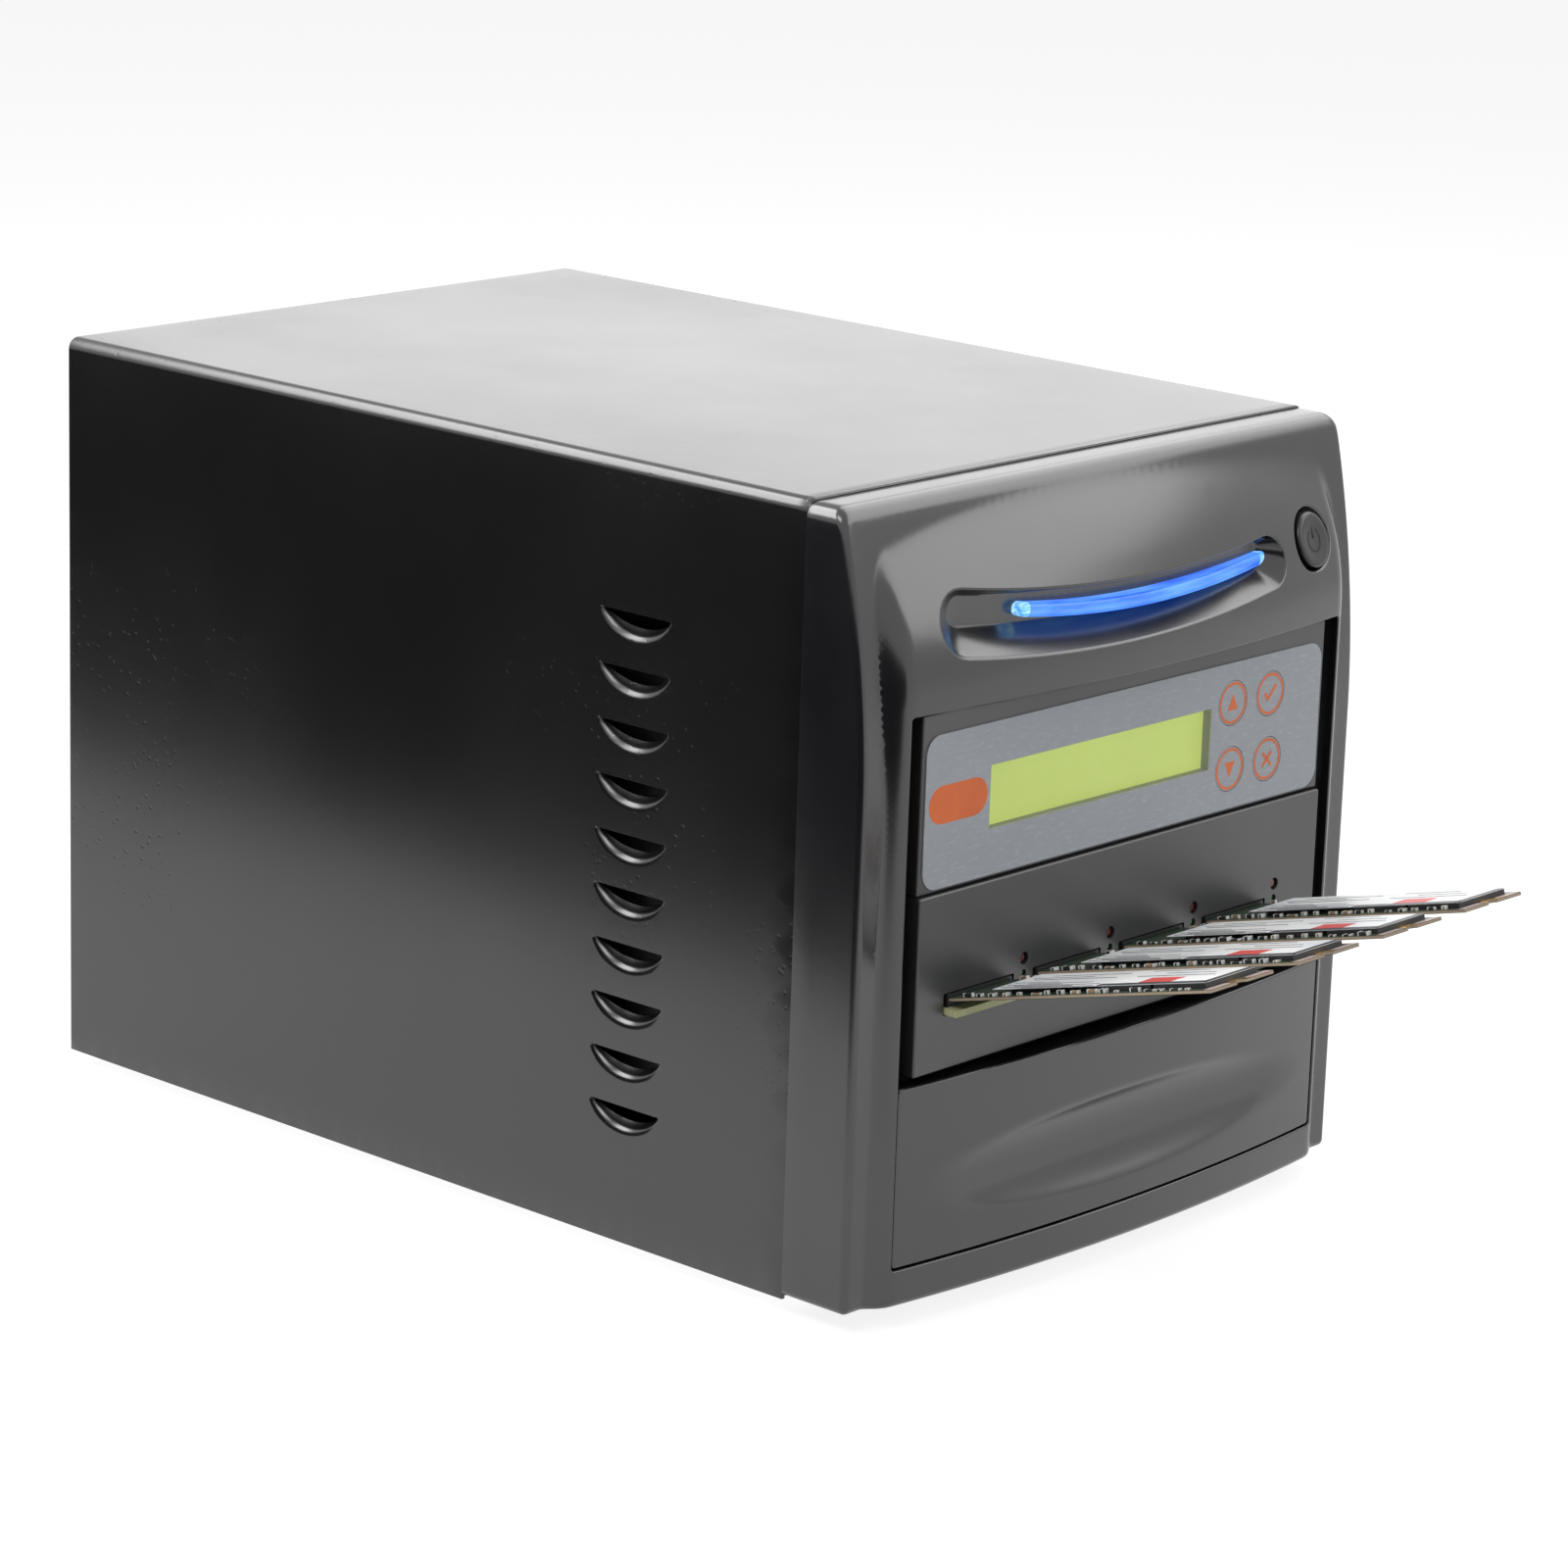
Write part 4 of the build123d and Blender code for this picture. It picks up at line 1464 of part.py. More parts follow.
# Case fan: square frame with flanges and a duct, a motor base on struts, and a sleeve for the shaft
FAN_FRONT_Y = REAR_PANEL_FRONT_Y - FAN_DEPTH
FAN_BASE_FRONT_Y = REAR_PANEL_FRONT_Y - FAN_BASE
HUB_FRONT_Y = FAN_FRONT_Y + HUB_FRONT_GAP
HUB_BACK_Y = FAN_BASE_FRONT_Y - HUB_BACK_GAP
with BuildPart() as fan_frame:
    for face_y in (REAR_PANEL_FRONT_Y, FAN_FRONT_Y + FAN_FLANGE):
        with BuildSketch(facing_front(face_y)):
            with Locations((FAN_X, FAN_Z)):
                RectangleRounded(FAN_SIZE, FAN_SIZE, FAN_CORNER_R)
                Circle(FAN_BORE_R, mode=Mode.SUBTRACT)
            with Locations(*FAN_SPOTS):
                Circle(FAN_HOLE_R, mode=Mode.SUBTRACT)
        extrude(amount=FAN_FLANGE)
    with BuildSketch(facing_front(REAR_PANEL_FRONT_Y)):
        with Locations((FAN_X, FAN_Z)):
            Circle(FAN_BORE_R + FAN_DUCT_WALL)
            Circle(FAN_BORE_R, mode=Mode.SUBTRACT)
    extrude(amount=FAN_DEPTH)
    with BuildSketch(facing_front(REAR_PANEL_FRONT_Y)):
        with Locations((FAN_X, FAN_Z)):
            Circle(FAN_BASE_R)
            with PolarLocations((FAN_BASE_R + FAN_BORE_R) / 2, FAN_STRUT_COUNT):
                Rectangle(FAN_BORE_R - FAN_BASE_R + FAN_DUCT_WALL, FAN_STRUT_WIDTH)
    extrude(amount=FAN_BASE)
    with BuildSketch(facing_front(FAN_BASE_FRONT_Y)):
        with Locations((FAN_X, FAN_Z)):
            Circle(FAN_SLEEVE_R)
    extrude(amount=FAN_DEPTH / 2)
    with BuildSketch(facing_front(FAN_BASE_FRONT_Y)):
        with Locations((FAN_X, FAN_Z)):
            Circle(FAN_SHAFT_R + FAN_SHAFT_PLAY)
    extrude(amount=FAN_DEPTH, mode=Mode.SUBTRACT)
finish(fan_frame, "fan_frame")


def blade_section(radius, chord, pitch):
    """Flat section of a fan blade at one radius, drawn on the plane that faces away from the hub."""
    mid_y = CASE_FRONT_Y + (HUB_FRONT_Y + HUB_BACK_Y) / 2
    plane = Plane(
        origin=(FAN_X, mid_y, CASE_BASE_Z + FAN_Z + radius), x_dir=(1, 0, 0), z_dir=(0, 0, 1)
    )
    with BuildSketch(plane) as section:
        Rectangle(chord, BLADE_THICKNESS, rotation=pitch)
    return section.sketch


with BuildPart() as fan_rotor:
    with BuildSketch(facing_front(HUB_BACK_Y)):
        with Locations((FAN_X, FAN_Z)):
            Circle(HUB_R)
    extrude(amount=HUB_BACK_Y - HUB_FRONT_Y)
    with BuildSketch(facing_front(HUB_BACK_Y)):
        with Locations((FAN_X, FAN_Z)):
            Circle(HUB_R - HUB_WALL)
    extrude(amount=HUB_BACK_Y - HUB_FRONT_Y - HUB_WALL, mode=Mode.SUBTRACT)
    with BuildSketch(facing_front(FAN_BASE_FRONT_Y - PIVOT_PLAY)):
        with Locations((FAN_X, FAN_Z)):
            Circle(FAN_SHAFT_R)
    extrude(amount=FAN_BASE_FRONT_Y - PIVOT_PLAY - HUB_FRONT_Y)
    with BuildPart(mode=Mode.PRIVATE) as blade:
        add(blade_section(HUB_R - HUB_WALL / 2, BLADE_CHORD_ROOT, BLADE_PITCH_ROOT))
        add(blade_section(FAN_BORE_R - BLADE_TIP_GAP, BLADE_CHORD_TIP, BLADE_PITCH_TIP))
        loft(ruled=True)
    fan_axis = Axis((FAN_X, CASE_FRONT_Y, CASE_BASE_Z + FAN_Z), (0, 1, 0))
    for i in range(BLADE_COUNT):
        add(blade.part.rotate(fan_axis, 360 * i / BLADE_COUNT))
finish(fan_rotor, "fan_rotor")

# Wire guard: rings on four spokes that end in screw eyes
SPOKE_MID_Y = REAR_PANEL_BACK_Y + GUARD_LIFT + GUARD_WIRE / 2
RING_MID_Y = SPOKE_MID_Y + GUARD_WIRE - GUARD_OVERLAP
SPOKE_REACH = FAN_SCREWS * math.sqrt(2) - GUARD_EYE_R + GUARD_EYE_OVERLAP
with BuildPart() as fan_guard:
    for ring in GUARD_RINGS:
        with BuildSketch(lengthwise(FAN_X)):
            with Locations((RING_MID_Y, FAN_Z + ring)):
                Circle(GUARD_WIRE / 2)
        revolve(axis=fan_axis)
    for quarter in range(4):
        turn = math.radians(45 + 90 * quarter)
        out = Vector(math.cos(turn), 0, math.sin(turn))
        hub = Vector(FAN_X, CASE_FRONT_Y + SPOKE_MID_Y, CASE_BASE_Z + FAN_Z)
        with BuildSketch(Plane(origin=hub + out * GUARD_RINGS[0], z_dir=out)):
            Circle(GUARD_WIRE / 2)
        extrude(amount=SPOKE_REACH - GUARD_RINGS[0])
    with BuildSketch(facing_front(REAR_PANEL_BACK_Y + GUARD_WIRE)):
        with Locations(*FAN_SPOTS):
            Circle(GUARD_EYE_R)
    extrude(amount=GUARD_WIRE)
    with BuildSketch(facing_front(REAR_PANEL_BACK_Y + GUARD_WIRE)):
        with Locations(*FAN_SPOTS):
            Circle(FAN_HOLE_R)
    extrude(amount=GUARD_WIRE, mode=Mode.SUBTRACT)
finish(fan_guard, "fan_guard")

# Rear screws: four through the cover's flange and four through the guard's eyes
REAR_SCREW_SPOTS = [(side * REAR_SCREW_X, height) for side in (-1, 1) for height in REAR_SCREW_HEIGHTS]
with BuildPart() as rear_screws:
    for seat_y, spots in ((CASE_LENGTH, REAR_SCREW_SPOTS), (REAR_PANEL_BACK_Y + GUARD_WIRE, FAN_SPOTS)):
        with BuildSketch(facing_front(seat_y + REAR_SCREW_HEAD)):
            with Locations(*spots):
                Circle(REAR_SCREW_HEAD_R)
        extrude(amount=REAR_SCREW_HEAD)
        with BuildSketch(facing_front(seat_y)):
            with Locations(*spots):
                Circle(REAR_SCREW_R)
        extrude(amount=REAR_SCREW_LENGTH)
finish(rear_screws, "rear_screws")
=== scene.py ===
"""Looks of a desktop duplicator for solid state drives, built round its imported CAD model.

Case millimetres are used throughout: x to the right seen from the front, y to the back from the
front edge of the cover, z up from the bottom edge of the cover. Surface.piece turns them into
metres of the row.
"""

import math

import bmesh
import bpy
import numpy as np
from mathutils import Matrix, Quaternion, Vector
from mathutils.geometry import delaunay_2d_cdt


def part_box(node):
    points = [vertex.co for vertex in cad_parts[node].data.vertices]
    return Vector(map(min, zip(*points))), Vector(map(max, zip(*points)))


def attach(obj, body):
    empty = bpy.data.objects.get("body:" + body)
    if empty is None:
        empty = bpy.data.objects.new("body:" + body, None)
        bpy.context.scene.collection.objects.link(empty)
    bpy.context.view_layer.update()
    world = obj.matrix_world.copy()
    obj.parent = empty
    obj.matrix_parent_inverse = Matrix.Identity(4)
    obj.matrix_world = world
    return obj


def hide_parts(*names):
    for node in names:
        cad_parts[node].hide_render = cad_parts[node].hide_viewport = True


bl_info = {
    "name": "Drive Duplicator",
    "version": (1, 0, 0),
    "blender": (4, 5, 0),
    "location": "View3D > Sidebar > Duplicator",
    "description": "Dresses a desktop duplicator for solid state drives",
    "category": "Object",
}

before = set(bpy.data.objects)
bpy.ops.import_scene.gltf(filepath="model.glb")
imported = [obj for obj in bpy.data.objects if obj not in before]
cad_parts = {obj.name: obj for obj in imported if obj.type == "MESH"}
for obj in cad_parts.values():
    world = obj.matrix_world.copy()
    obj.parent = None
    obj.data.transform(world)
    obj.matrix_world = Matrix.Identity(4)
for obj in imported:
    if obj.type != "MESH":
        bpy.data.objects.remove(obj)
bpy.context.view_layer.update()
MM = 0.001


def node_box(name):
    """Lowest and highest corner of a CAD node in case millimetres."""
    low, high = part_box(name)
    return np.array(low) / MM - CASE_ORIGIN, np.array(high) / MM - CASE_ORIGIN


COVER_LOW, COVER_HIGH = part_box("top_cover")
CASE_ORIGIN = np.array([0.0, COVER_LOW.y / MM, COVER_LOW.z / MM])
CASE_HALF = COVER_HIGH.x / MM
CASE_LENGTH = (COVER_HIGH.y - COVER_LOW.y) / MM
CASE_HEIGHT = (COVER_HIGH.z - COVER_LOW.z) / MM

# Camera, worked out from the photograph's vanishing lines
CAMERA_TARGET = (17.7, 100.5, 81.9)
CAMERA_DISTANCE = 1320.4
CAMERA_AZIMUTH = -47.86
CAMERA_ELEVATION = 14.88
CAMERA_ROLL = -1.86
SENSOR = 36.0
LENS = 121.64

# Bezel form, as in the solids
FRAME_FACE_Y = -19.5
FRAME_BEND_Z = 113.0
FRAME_BEND_R = 284.0
POD_FACE_Y = -28.0
POD_BOW_R = 600.0
POD_HALF = 82.5
POD_CORNER_R = 6.0
POD_BEND_Z = 140.0
POD_BEND_R = 56.5
POD_TOP_SHARE = 0.98
POD_SIDE_SHARE = 0.985
POD_SIDE_FALL = 6
CREASE_SOFTNESS = 2.2


# Shapes

# Shares of the point spacing that inner points keep from a rim, from dense points and between rows
RIM_GAP = 0.6
DENSE_GAP = 0.7
ROW_STEP = 0.87
MERGE_REACH = 2e-6
SLIGHT = 1e-7
SMILE_END_STEPS = 12
MOON_CORNER = 0.6
MOON_EDGE = 0.08


class Loop:
    """Closed outline on a flat: base points and outward normals, grown by a distance.

    A box also keeps the radius that grows it to its full size.
    """

    def __init__(self, base, normal, radius=0.0):
        self.base = np.asarray(base, float)
        self.normal = np.asarray(normal, float)
        self.radius = radius

    def grown(self, distance):
        """Outline moved outwards by one distance, or by one for each of its points."""
        return self.base + np.reshape(distance, (-1, 1)) * self.normal

    def ring(self, distance, depth):
        """Row of points (a, b, depth). Depth is a number or a function of a and b."""
        flat = self.grown(distance)
        return np.column_stack([flat, depth_at(depth, flat)])

    def rolled(self, edge, bend, face, turn, inward=False):
        """Rows that turn a face over into a wall with a radius, at each angle of turn.

        The wall stands at the distance edge. The row at angle t lies bend (1 - sin t) short of it,
        or past it where the face is outside, and bend (1 - cos t) behind the face.
        """
        short = bend if inward else -bend
        return [
            self.ring(edge + short * (1 - math.sin(t)), lifted(face, bend * (1 - math.cos(t))))
            for t in turn
        ]


def depth_at(depth, flat):
    """Depth of each point of a flat, from a number or a function of a and b."""
    return depth(flat[:, 0], flat[:, 1]) if callable(depth) else np.full(len(flat), float(depth))


def lifted(depth, back):
    """A depth, number or function of a and b, moved back by a distance."""
    return (lambda a, b: depth(a, b) + back) if callable(depth) else depth + back


def quarter(steps):
    """Angles from the face to the wall of a rolled edge."""
    return np.linspace(0, math.pi / 2, steps)


def spans(low, high, spacing):
    """Points from low to high, both counted, about spacing apart."""
    return np.linspace(low, high, max(2, int(math.ceil(abs(high - low) / spacing)) + 1))


def box_loop(left, right, low, high, radius=0.0, spacing=3.0, steps=6, low_radius=None):
    """Rectangle with round corners, grown to its full size by radius. Its low corners may be tighter."""
    low_radius = radius if low_radius is None else low_radius
    corners = [
        (right - low_radius, low + low_radius, -90, low_radius),
        (right - radius, high - radius, 0, radius),
        (left + radius, high - radius, 90, radius),
        (left + low_radius, low + low_radius, 180, low_radius),
    ]
    rim, normal = [], []
    for corner, following in zip(corners, corners[1:] + corners[:1]):
        a, b, turn, bend = corner
        angle = np.radians(np.linspace(turn, turn + 90, steps if bend > 0 else 2))
        facing = np.column_stack([np.cos(angle), np.sin(angle)])
        rim.append(np.array([a, b]) + bend * facing)
        normal.append(facing)
        next_a, next_b, next_turn, next_bend = following
        end = np.radians(next_turn)
        start = rim[-1][-1]
        goal = np.array([next_a, next_b]) + next_bend * np.array([np.cos(end), np.sin(end)])
        length = math.hypot(*(goal - start))
        share = (spans(0, length, spacing)[1:-1] / max(1e-9, length))[:, None]
        rim.append(start + share * (goal - start))
        normal.append(np.tile(facing[-1], (len(share), 1)))
    facing = np.concatenate(normal)
    return Loop(np.concatenate(rim) - radius * facing, facing, radius)


def front_loop(low, high, radius, gap=0.0, **rest):
    """Rectangle round the front of a box that is given by two corners, moved out by a gap."""
    return box_loop(low[0] - gap, high[0] + gap, low[2] - gap, high[2] + gap, radius, **rest)


def circle_loop(a, b, count=48):
    """Circle about a point: its radius is the distance that it is grown by."""
    angle = np.linspace(0, 2 * math.pi, count, endpoint=False)
    return Loop(np.tile([a, b], (count, 1)), np.column_stack([np.cos(angle), np.sin(angle)]))


def smile_loop(centre_a, half, end_b, sag, spacing, taper=0.0, fall=0.0):
    """Outline round an arc that hangs between two ends: the arc is the base, grown by half a height.

    The height changes by the share taper from the middle to each end, less on the right, and the
    whole arc falls by the distance fall from its left end to its right one.
    """
    radius = (half**2 + sag**2) / (2 * sag)
    centre_b = end_b - sag + radius
    reach = math.asin(half / radius)
    along = np.linspace(-reach, reach, int(2 * half / spacing))
    cap = np.linspace(0, math.pi, SMILE_END_STEPS)[1:-1]
    swing = np.concatenate([along, np.full(len(cap), reach), along[::-1], np.full(len(cap), -reach)])
    spin = np.concatenate([np.zeros(len(along)), cap, np.full(len(along), math.pi), math.pi + cap])
    base = np.column_stack([centre_a + radius * np.sin(swing), centre_b - radius * np.cos(swing)])
    base[:, 1] -= fall * (base[:, 0] - centre_a + half) / (2 * half)
    facing = swing + spin
    reach_of_normal = 1 - taper * (base[:, 0] - centre_a) / half
    return Loop(base, np.column_stack([np.sin(facing), -np.cos(facing)]) * reach_of_normal[:, None])


def half_moon_loop(centre, top, half, drop, steps):
    """Half-moon under a straight edge, with turning corners; the edge grows only by the share MOON_EDGE."""
    radius = (half**2 + drop**2) / (2 * drop)
    reach = math.asin(half / radius)
    swing = np.linspace(-reach, reach, steps)
    arc = np.column_stack([
        centre + radius * np.sin(swing), top + radius - drop - radius * np.cos(swing)
    ])
    corner = np.linspace(reach - math.pi / 2, math.pi / 2, 6)[1:-1]
    edge = np.linspace(half, -half, steps)
    base = np.concatenate([
        arc, np.tile(arc[-1], (len(corner), 1)), np.column_stack([centre + edge, np.full(steps, top)]),
        np.tile(arc[0], (len(corner), 1)),
    ])
    facing = np.concatenate([swing - math.pi / 2, corner, np.full(steps, math.pi / 2),
                             math.pi - corner[::-1]])
    fade = np.linspace(MOON_CORNER, MOON_EDGE, len(corner) + 2)[1:-1]
    round_arc = MOON_CORNER + (1 - MOON_CORNER) * np.clip(3 * (1 - np.abs(swing) / reach), 0, 1)
    length = np.concatenate([round_arc, fade, np.full(steps, MOON_EDGE), fade[::-1]])
    return Loop(base, np.column_stack([np.cos(facing), np.sin(facing)]) * length[:, None])


def within(points, outlines):
    """Even-odd test of points against all outlines at once: in the outer one and in none of its holes."""
    start = np.concatenate(outlines)
    end = np.concatenate([np.roll(o, -1, axis=0) for o in outlines])
    crossing = np.zeros(len(points), int)
    for block in np.array_split(np.arange(len(points)), max(1, len(points) // 4000)):
        a, b = points[block, 0][:, None], points[block, 1][:, None]
        spans_row = (start[:, 1] > b) != (end[:, 1] > b)
        rise = np.where(end[:, 1] == start[:, 1], 1.0, end[:, 1] - start[:, 1])
        cut = start[:, 0] + (b - start[:, 1]) * (end[:, 0] - start[:, 0]) / rise
        crossing[block] = (spans_row & (a < cut)).sum(axis=1)
    return crossing % 2 == 1


def away_from(points, outlines, gap):
    """Keeps the points that lie further than gap from every outline point."""
    rim = np.concatenate(outlines)
    keep = np.ones(len(points), bool)
    for block in np.array_split(np.arange(len(points)), max(1, len(points) // 2000)):
        offset = points[block][:, None, :] - rim[None, :, :]
        keep[block] = (offset**2).sum(-1).min(1) > gap**2
    return points[keep]


def lattice(left, right, low, high, spacing):
    """Grid of points over a rectangle, every other row moved by half a step."""
    a = np.arange(left + spacing / 2, right, spacing)
    b = np.arange(low + spacing / 2, high, spacing * ROW_STEP)
    grid_a, grid_b = np.meshgrid(a, b)
    grid_a = grid_a + (np.arange(len(b)) % 2)[:, None] * spacing / 2
    return np.column_stack([grid_a.ravel(), grid_b.ravel()])


def grid_faces(rows, columns, wrap):
    """Quads between the rows of a grid, joined round when it wraps."""
    i = np.arange(rows - 1)[:, None] * columns
    j = np.arange(columns if wrap else columns - 1)[None, :]
    following = (j + 1) % columns
    return np.stack([i + j, i + following, i + columns + following, i + columns + j], -1).reshape(-1, 4)


class Surface:
    """Gathers grids, fills and caps of one piece and makes them one mesh object.

    Its plane maps (a, b, depth) to case millimetres: origin + a A + b B + depth D.
    """

    def __init__(self, origin=(0, 0, 0), across=(1, 0, 0), up=(0, 0, 1), deep=(0, 1, 0)):
        self.points, self.faces, self.marks, self.count = [], [], [], 0
        self.plane(origin, across, up, deep)

    def plane(self, origin, across, up, deep):
        """Sets the plane of what is added from here on."""
        self.origin = np.array(origin, float)
        self.axes = np.array([across, up, deep], float)

    def add(self, points, faces, mark=0):
        """Adds points and the faces between them; mark is the number of their finish."""
        points = np.asarray(points, float)
        self.points.append(self.origin + points @ self.axes)
        self.faces += (np.asarray(faces) + self.count).tolist()
        self.marks += [mark] * len(faces)
        self.count += len(points)

    def grid(self, rows, wrap=True, mark=0):
        """Adds quads between rows of points, joined round when they wrap."""
        rows = np.asarray(rows, float)
        self.add(rows.reshape(-1, 3), grid_faces(rows.shape[0], rows.shape[1], wrap), mark)

    def cap(self, ring, mark=0, turned=False):
        """Adds one face over a ring."""
        order = np.arange(len(ring))
        self.add(ring, [order[::-1] if turned else order], mark)

    def prism(self, loop, rows, mark=0):
        """Profile of rows (distance, depth) carried along a loop and closed by a flat cap at both ends."""
        rings = [loop.ring(distance, depth) for distance, depth in rows]
        self.grid(rings, True, mark)
        self.cap(rings[0], mark, turned=True)
        self.cap(rings[-1], mark)

    def fill(self, outlines, depth, spacing, dense=()):
        """Skin over an outline with holes: a Delaunay mesh of its rims and inner points, lifted to depth."""
        rims = [np.asarray(o, float) for o in outlines]
        low, high = rims[0].min(0), rims[0].max(0)
        inner = away_from(lattice(low[0], high[0], low[1], high[1], spacing), rims, spacing * RIM_GAP)
        for points, gap in dense:
            inner = np.concatenate([away_from(inner, [points], gap * DENSE_GAP), points])
            inner = away_from(inner, rims, gap * RIM_GAP)
        inner = inner[within(inner, rims)]
        start, edges = 0, []
        for rim in rims:
            index = np.arange(len(rim)) + start
            edges += np.column_stack([index, np.roll(index, -1)]).tolist()
            start += len(rim)
        flat = np.concatenate(rims + [inner])
        found = delaunay_2d_cdt([Vector(p) for p in flat.tolist()], edges, [], 0, SLIGHT, False)
        spots = np.array([tuple(p) for p in found[0]])
        triangles = np.array([tuple(f) for f in found[2]])
        triangles = triangles[within(spots[triangles].mean(1), rims)]
        self.add(np.column_stack([spots, depth_at(depth, spots)]), triangles)

    def piece(self, name, body, materials, slot, replaces=(), facing=None, sharp=38, wall=0.0):
        """Makes the object: merges rims, turns faces out, rides it on its body and hides the CAD nodes that
        it replaces.
        """
        points = (np.concatenate(self.points) + CASE_ORIGIN) * MM
        mesh = bpy.data.meshes.new(name)
        mesh.from_pydata(points.tolist(), [], self.faces)
        mesh.polygons.foreach_set("material_index", self.marks)
        work = bmesh.new()
        work.from_mesh(mesh)
        bmesh.ops.remove_doubles(work, verts=work.verts, dist=MERGE_REACH)
        bmesh.ops.dissolve_degenerate(work, edges=work.edges, dist=SLIGHT)
        bmesh.ops.recalc_face_normals(work, faces=work.faces)
        if facing is not None:
            total = sum((f.normal * f.calc_area() for f in work.faces), Vector())
            if total.dot(Vector(facing)) < 0:
                bmesh.ops.reverse_faces(work, faces=work.faces)
        work.to_mesh(mesh)
        work.free()
        mesh.polygons.foreach_set("use_smooth", [True] * len(mesh.polygons))
        mesh.set_sharp_from_angle(angle=math.radians(sharp))
        obj = bpy.data.objects.new(name, mesh)
        bpy.context.scene.collection.objects.link(obj)
        for material in materials:
            mesh.materials.append(material)
        if wall:
            sheet = obj.modifiers.new("sheet", "SOLIDIFY")
            sheet.thickness = wall * MM
            sheet.offset = -1.0
        weighted = obj.modifiers.new("weighted", "WEIGHTED_NORMAL")
        weighted.keep_sharp = True
        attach(obj, body)
        if replaces:
            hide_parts(*replaces)
        return obj


# Finishes


def plain_finish(name, colour, roughness, **sockets):
    """Principled material with its constant sockets set; returns it with its node tree and shader."""
    material = bpy.data.materials.new(name)
    material.use_nodes = True
    tree = material.node_tree
    shader = tree.nodes["Principled BSDF"]
    shader.inputs["Base Color"].default_value = (*colour, 1)
    shader.inputs["Roughness"].default_value = roughness
    for socket, value in sockets.items():
        shader.inputs[socket.replace("_", " ")].default_value = value
    return material, tree, shader


def noise(tree, scale, detail=4.0, roughness=0.55, squeeze=(1, 1, 1)):
    """Noise texture on the piece's own coordinates; squeeze stretches it along an axis."""
    place = tree.nodes.new("ShaderNodeTexCoord")
    mapping = tree.nodes.new("ShaderNodeMapping")
    mapping.inputs["Scale"].default_value = squeeze
    texture = tree.nodes.new("ShaderNodeTexNoise")
    texture.inputs["Scale"].default_value = scale
    texture.inputs["Detail"].default_value = detail
    texture.inputs["Roughness"].default_value = roughness
    tree.links.new(place.outputs["Object"], mapping.inputs["Vector"])
    tree.links.new(mapping.outputs["Vector"], texture.inputs["Vector"])
    return texture.outputs["Fac"]


def remap(tree, value, low, high, to_low, to_high):
    """Maps a value from one range to another."""
    node = tree.nodes.new("ShaderNodeMapRange")
    for socket, number in zip(("From Min", "From Max", "To Min", "To Max"), (low, high, to_low, to_high)):
        node.inputs[socket].default_value = number
    tree.links.new(value, node.inputs["Value"])
    return node.outputs["Result"]


def pits(tree, scale, size):
    """Small round marks at random places, thick in some patches and none in others: 1 in a mark, else 0."""
    place = tree.nodes.new("ShaderNodeTexCoord")
    spots = tree.nodes.new("ShaderNodeTexVoronoi")
    spots.inputs["Scale"].default_value = scale
    tree.links.new(place.outputs["Object"], spots.inputs["Vector"])
    mark = remap(tree, spots.outputs["Distance"], size, size * 1.8, 1.0, 0.0)
    patch = remap(tree, noise(tree, 9.0, 2.0), 0.46, 0.56, 0.0, 1.0)
    both = tree.nodes.new("ShaderNodeMath")
    both.operation = "MULTIPLY"
    tree.links.new(mark, both.inputs[0])
    tree.links.new(patch, both.inputs[1])
    return both.outputs[0]


def mix_colour(tree, factor, first, second):
    """Mixes two colours, or a colour socket and a colour, by a factor socket."""
    node = tree.nodes.new("ShaderNodeMix")
    node.data_type = "RGBA"
    tree.links.new(factor, node.inputs[0])
    for socket, colour in ((node.inputs[6], first), (node.inputs[7], second)):
        if isinstance(colour, bpy.types.NodeSocket):
            tree.links.new(colour, socket)
        else:
            socket.default_value = (*colour, 1)
    return node.outputs[2]


def add_bump(tree, shader, height, strength, distance_mm):
    """Feeds a height into the shader's normal, after any bump that is there already."""
    bump = tree.nodes.new("ShaderNodeBump")
    bump.inputs["Strength"].default_value = strength
    bump.inputs["Distance"].default_value = distance_mm * MM
    tree.links.new(height, bump.inputs["Height"])
    if shader.inputs["Normal"].is_linked:
        tree.links.new(shader.inputs["Normal"].links[0].from_socket, bump.inputs["Normal"])
    tree.links.new(bump.outputs["Normal"], shader.inputs["Normal"])


def moulded(name, colour, roughness, grain=900.0, depth=0.02, **sockets):
    """Moulded plastic: fine spark-eroded grain, and slow changes in gloss from handling."""
    material, tree, shader = plain_finish(name, colour, roughness, **sockets)
    add_bump(tree, shader, noise(tree, grain, 3.0), 0.35, depth)
    gloss = remap(tree, noise(tree, 14.0, 5.0), 0.3, 0.7, roughness - 0.04, roughness + 0.05)
    tree.links.new(gloss, shader.inputs["Roughness"])
    lighter = tuple(min(1.0, c * 1.25 + 0.002) for c in colour)
    tint = mix_colour(tree, remap(tree, noise(tree, 40.0), 0.35, 0.65, 0.0, 1.0), colour, lighter)
    tree.links.new(tint, shader.inputs["Base Color"])
    return material


def coated(name, colour, roughness, orange_peel=420.0, **sockets):
    """Powder-coated sheet: orange peel, fine pits and a few specks of dust in the coat."""
    material, tree, shader = plain_finish(name, colour, roughness, **sockets)
    add_bump(tree, shader, noise(tree, orange_peel, 2.0), 0.16, 0.04)
    add_bump(tree, shader, pits(tree, 380.0, 0.12), 0.35, -0.08)
    gloss = remap(tree, noise(tree, 9.0, 4.0), 0.3, 0.7, roughness - 0.03, roughness + 0.04)
    tree.links.new(gloss, shader.inputs["Roughness"])
    lighter = tuple(c * 1.5 + 0.003 for c in colour)
    tint = mix_colour(tree, remap(tree, noise(tree, 700.0, 2.0), 0.62, 0.75, 0.0, 1.0), colour, lighter)
    tree.links.new(tint, shader.inputs["Base Color"])
    return material


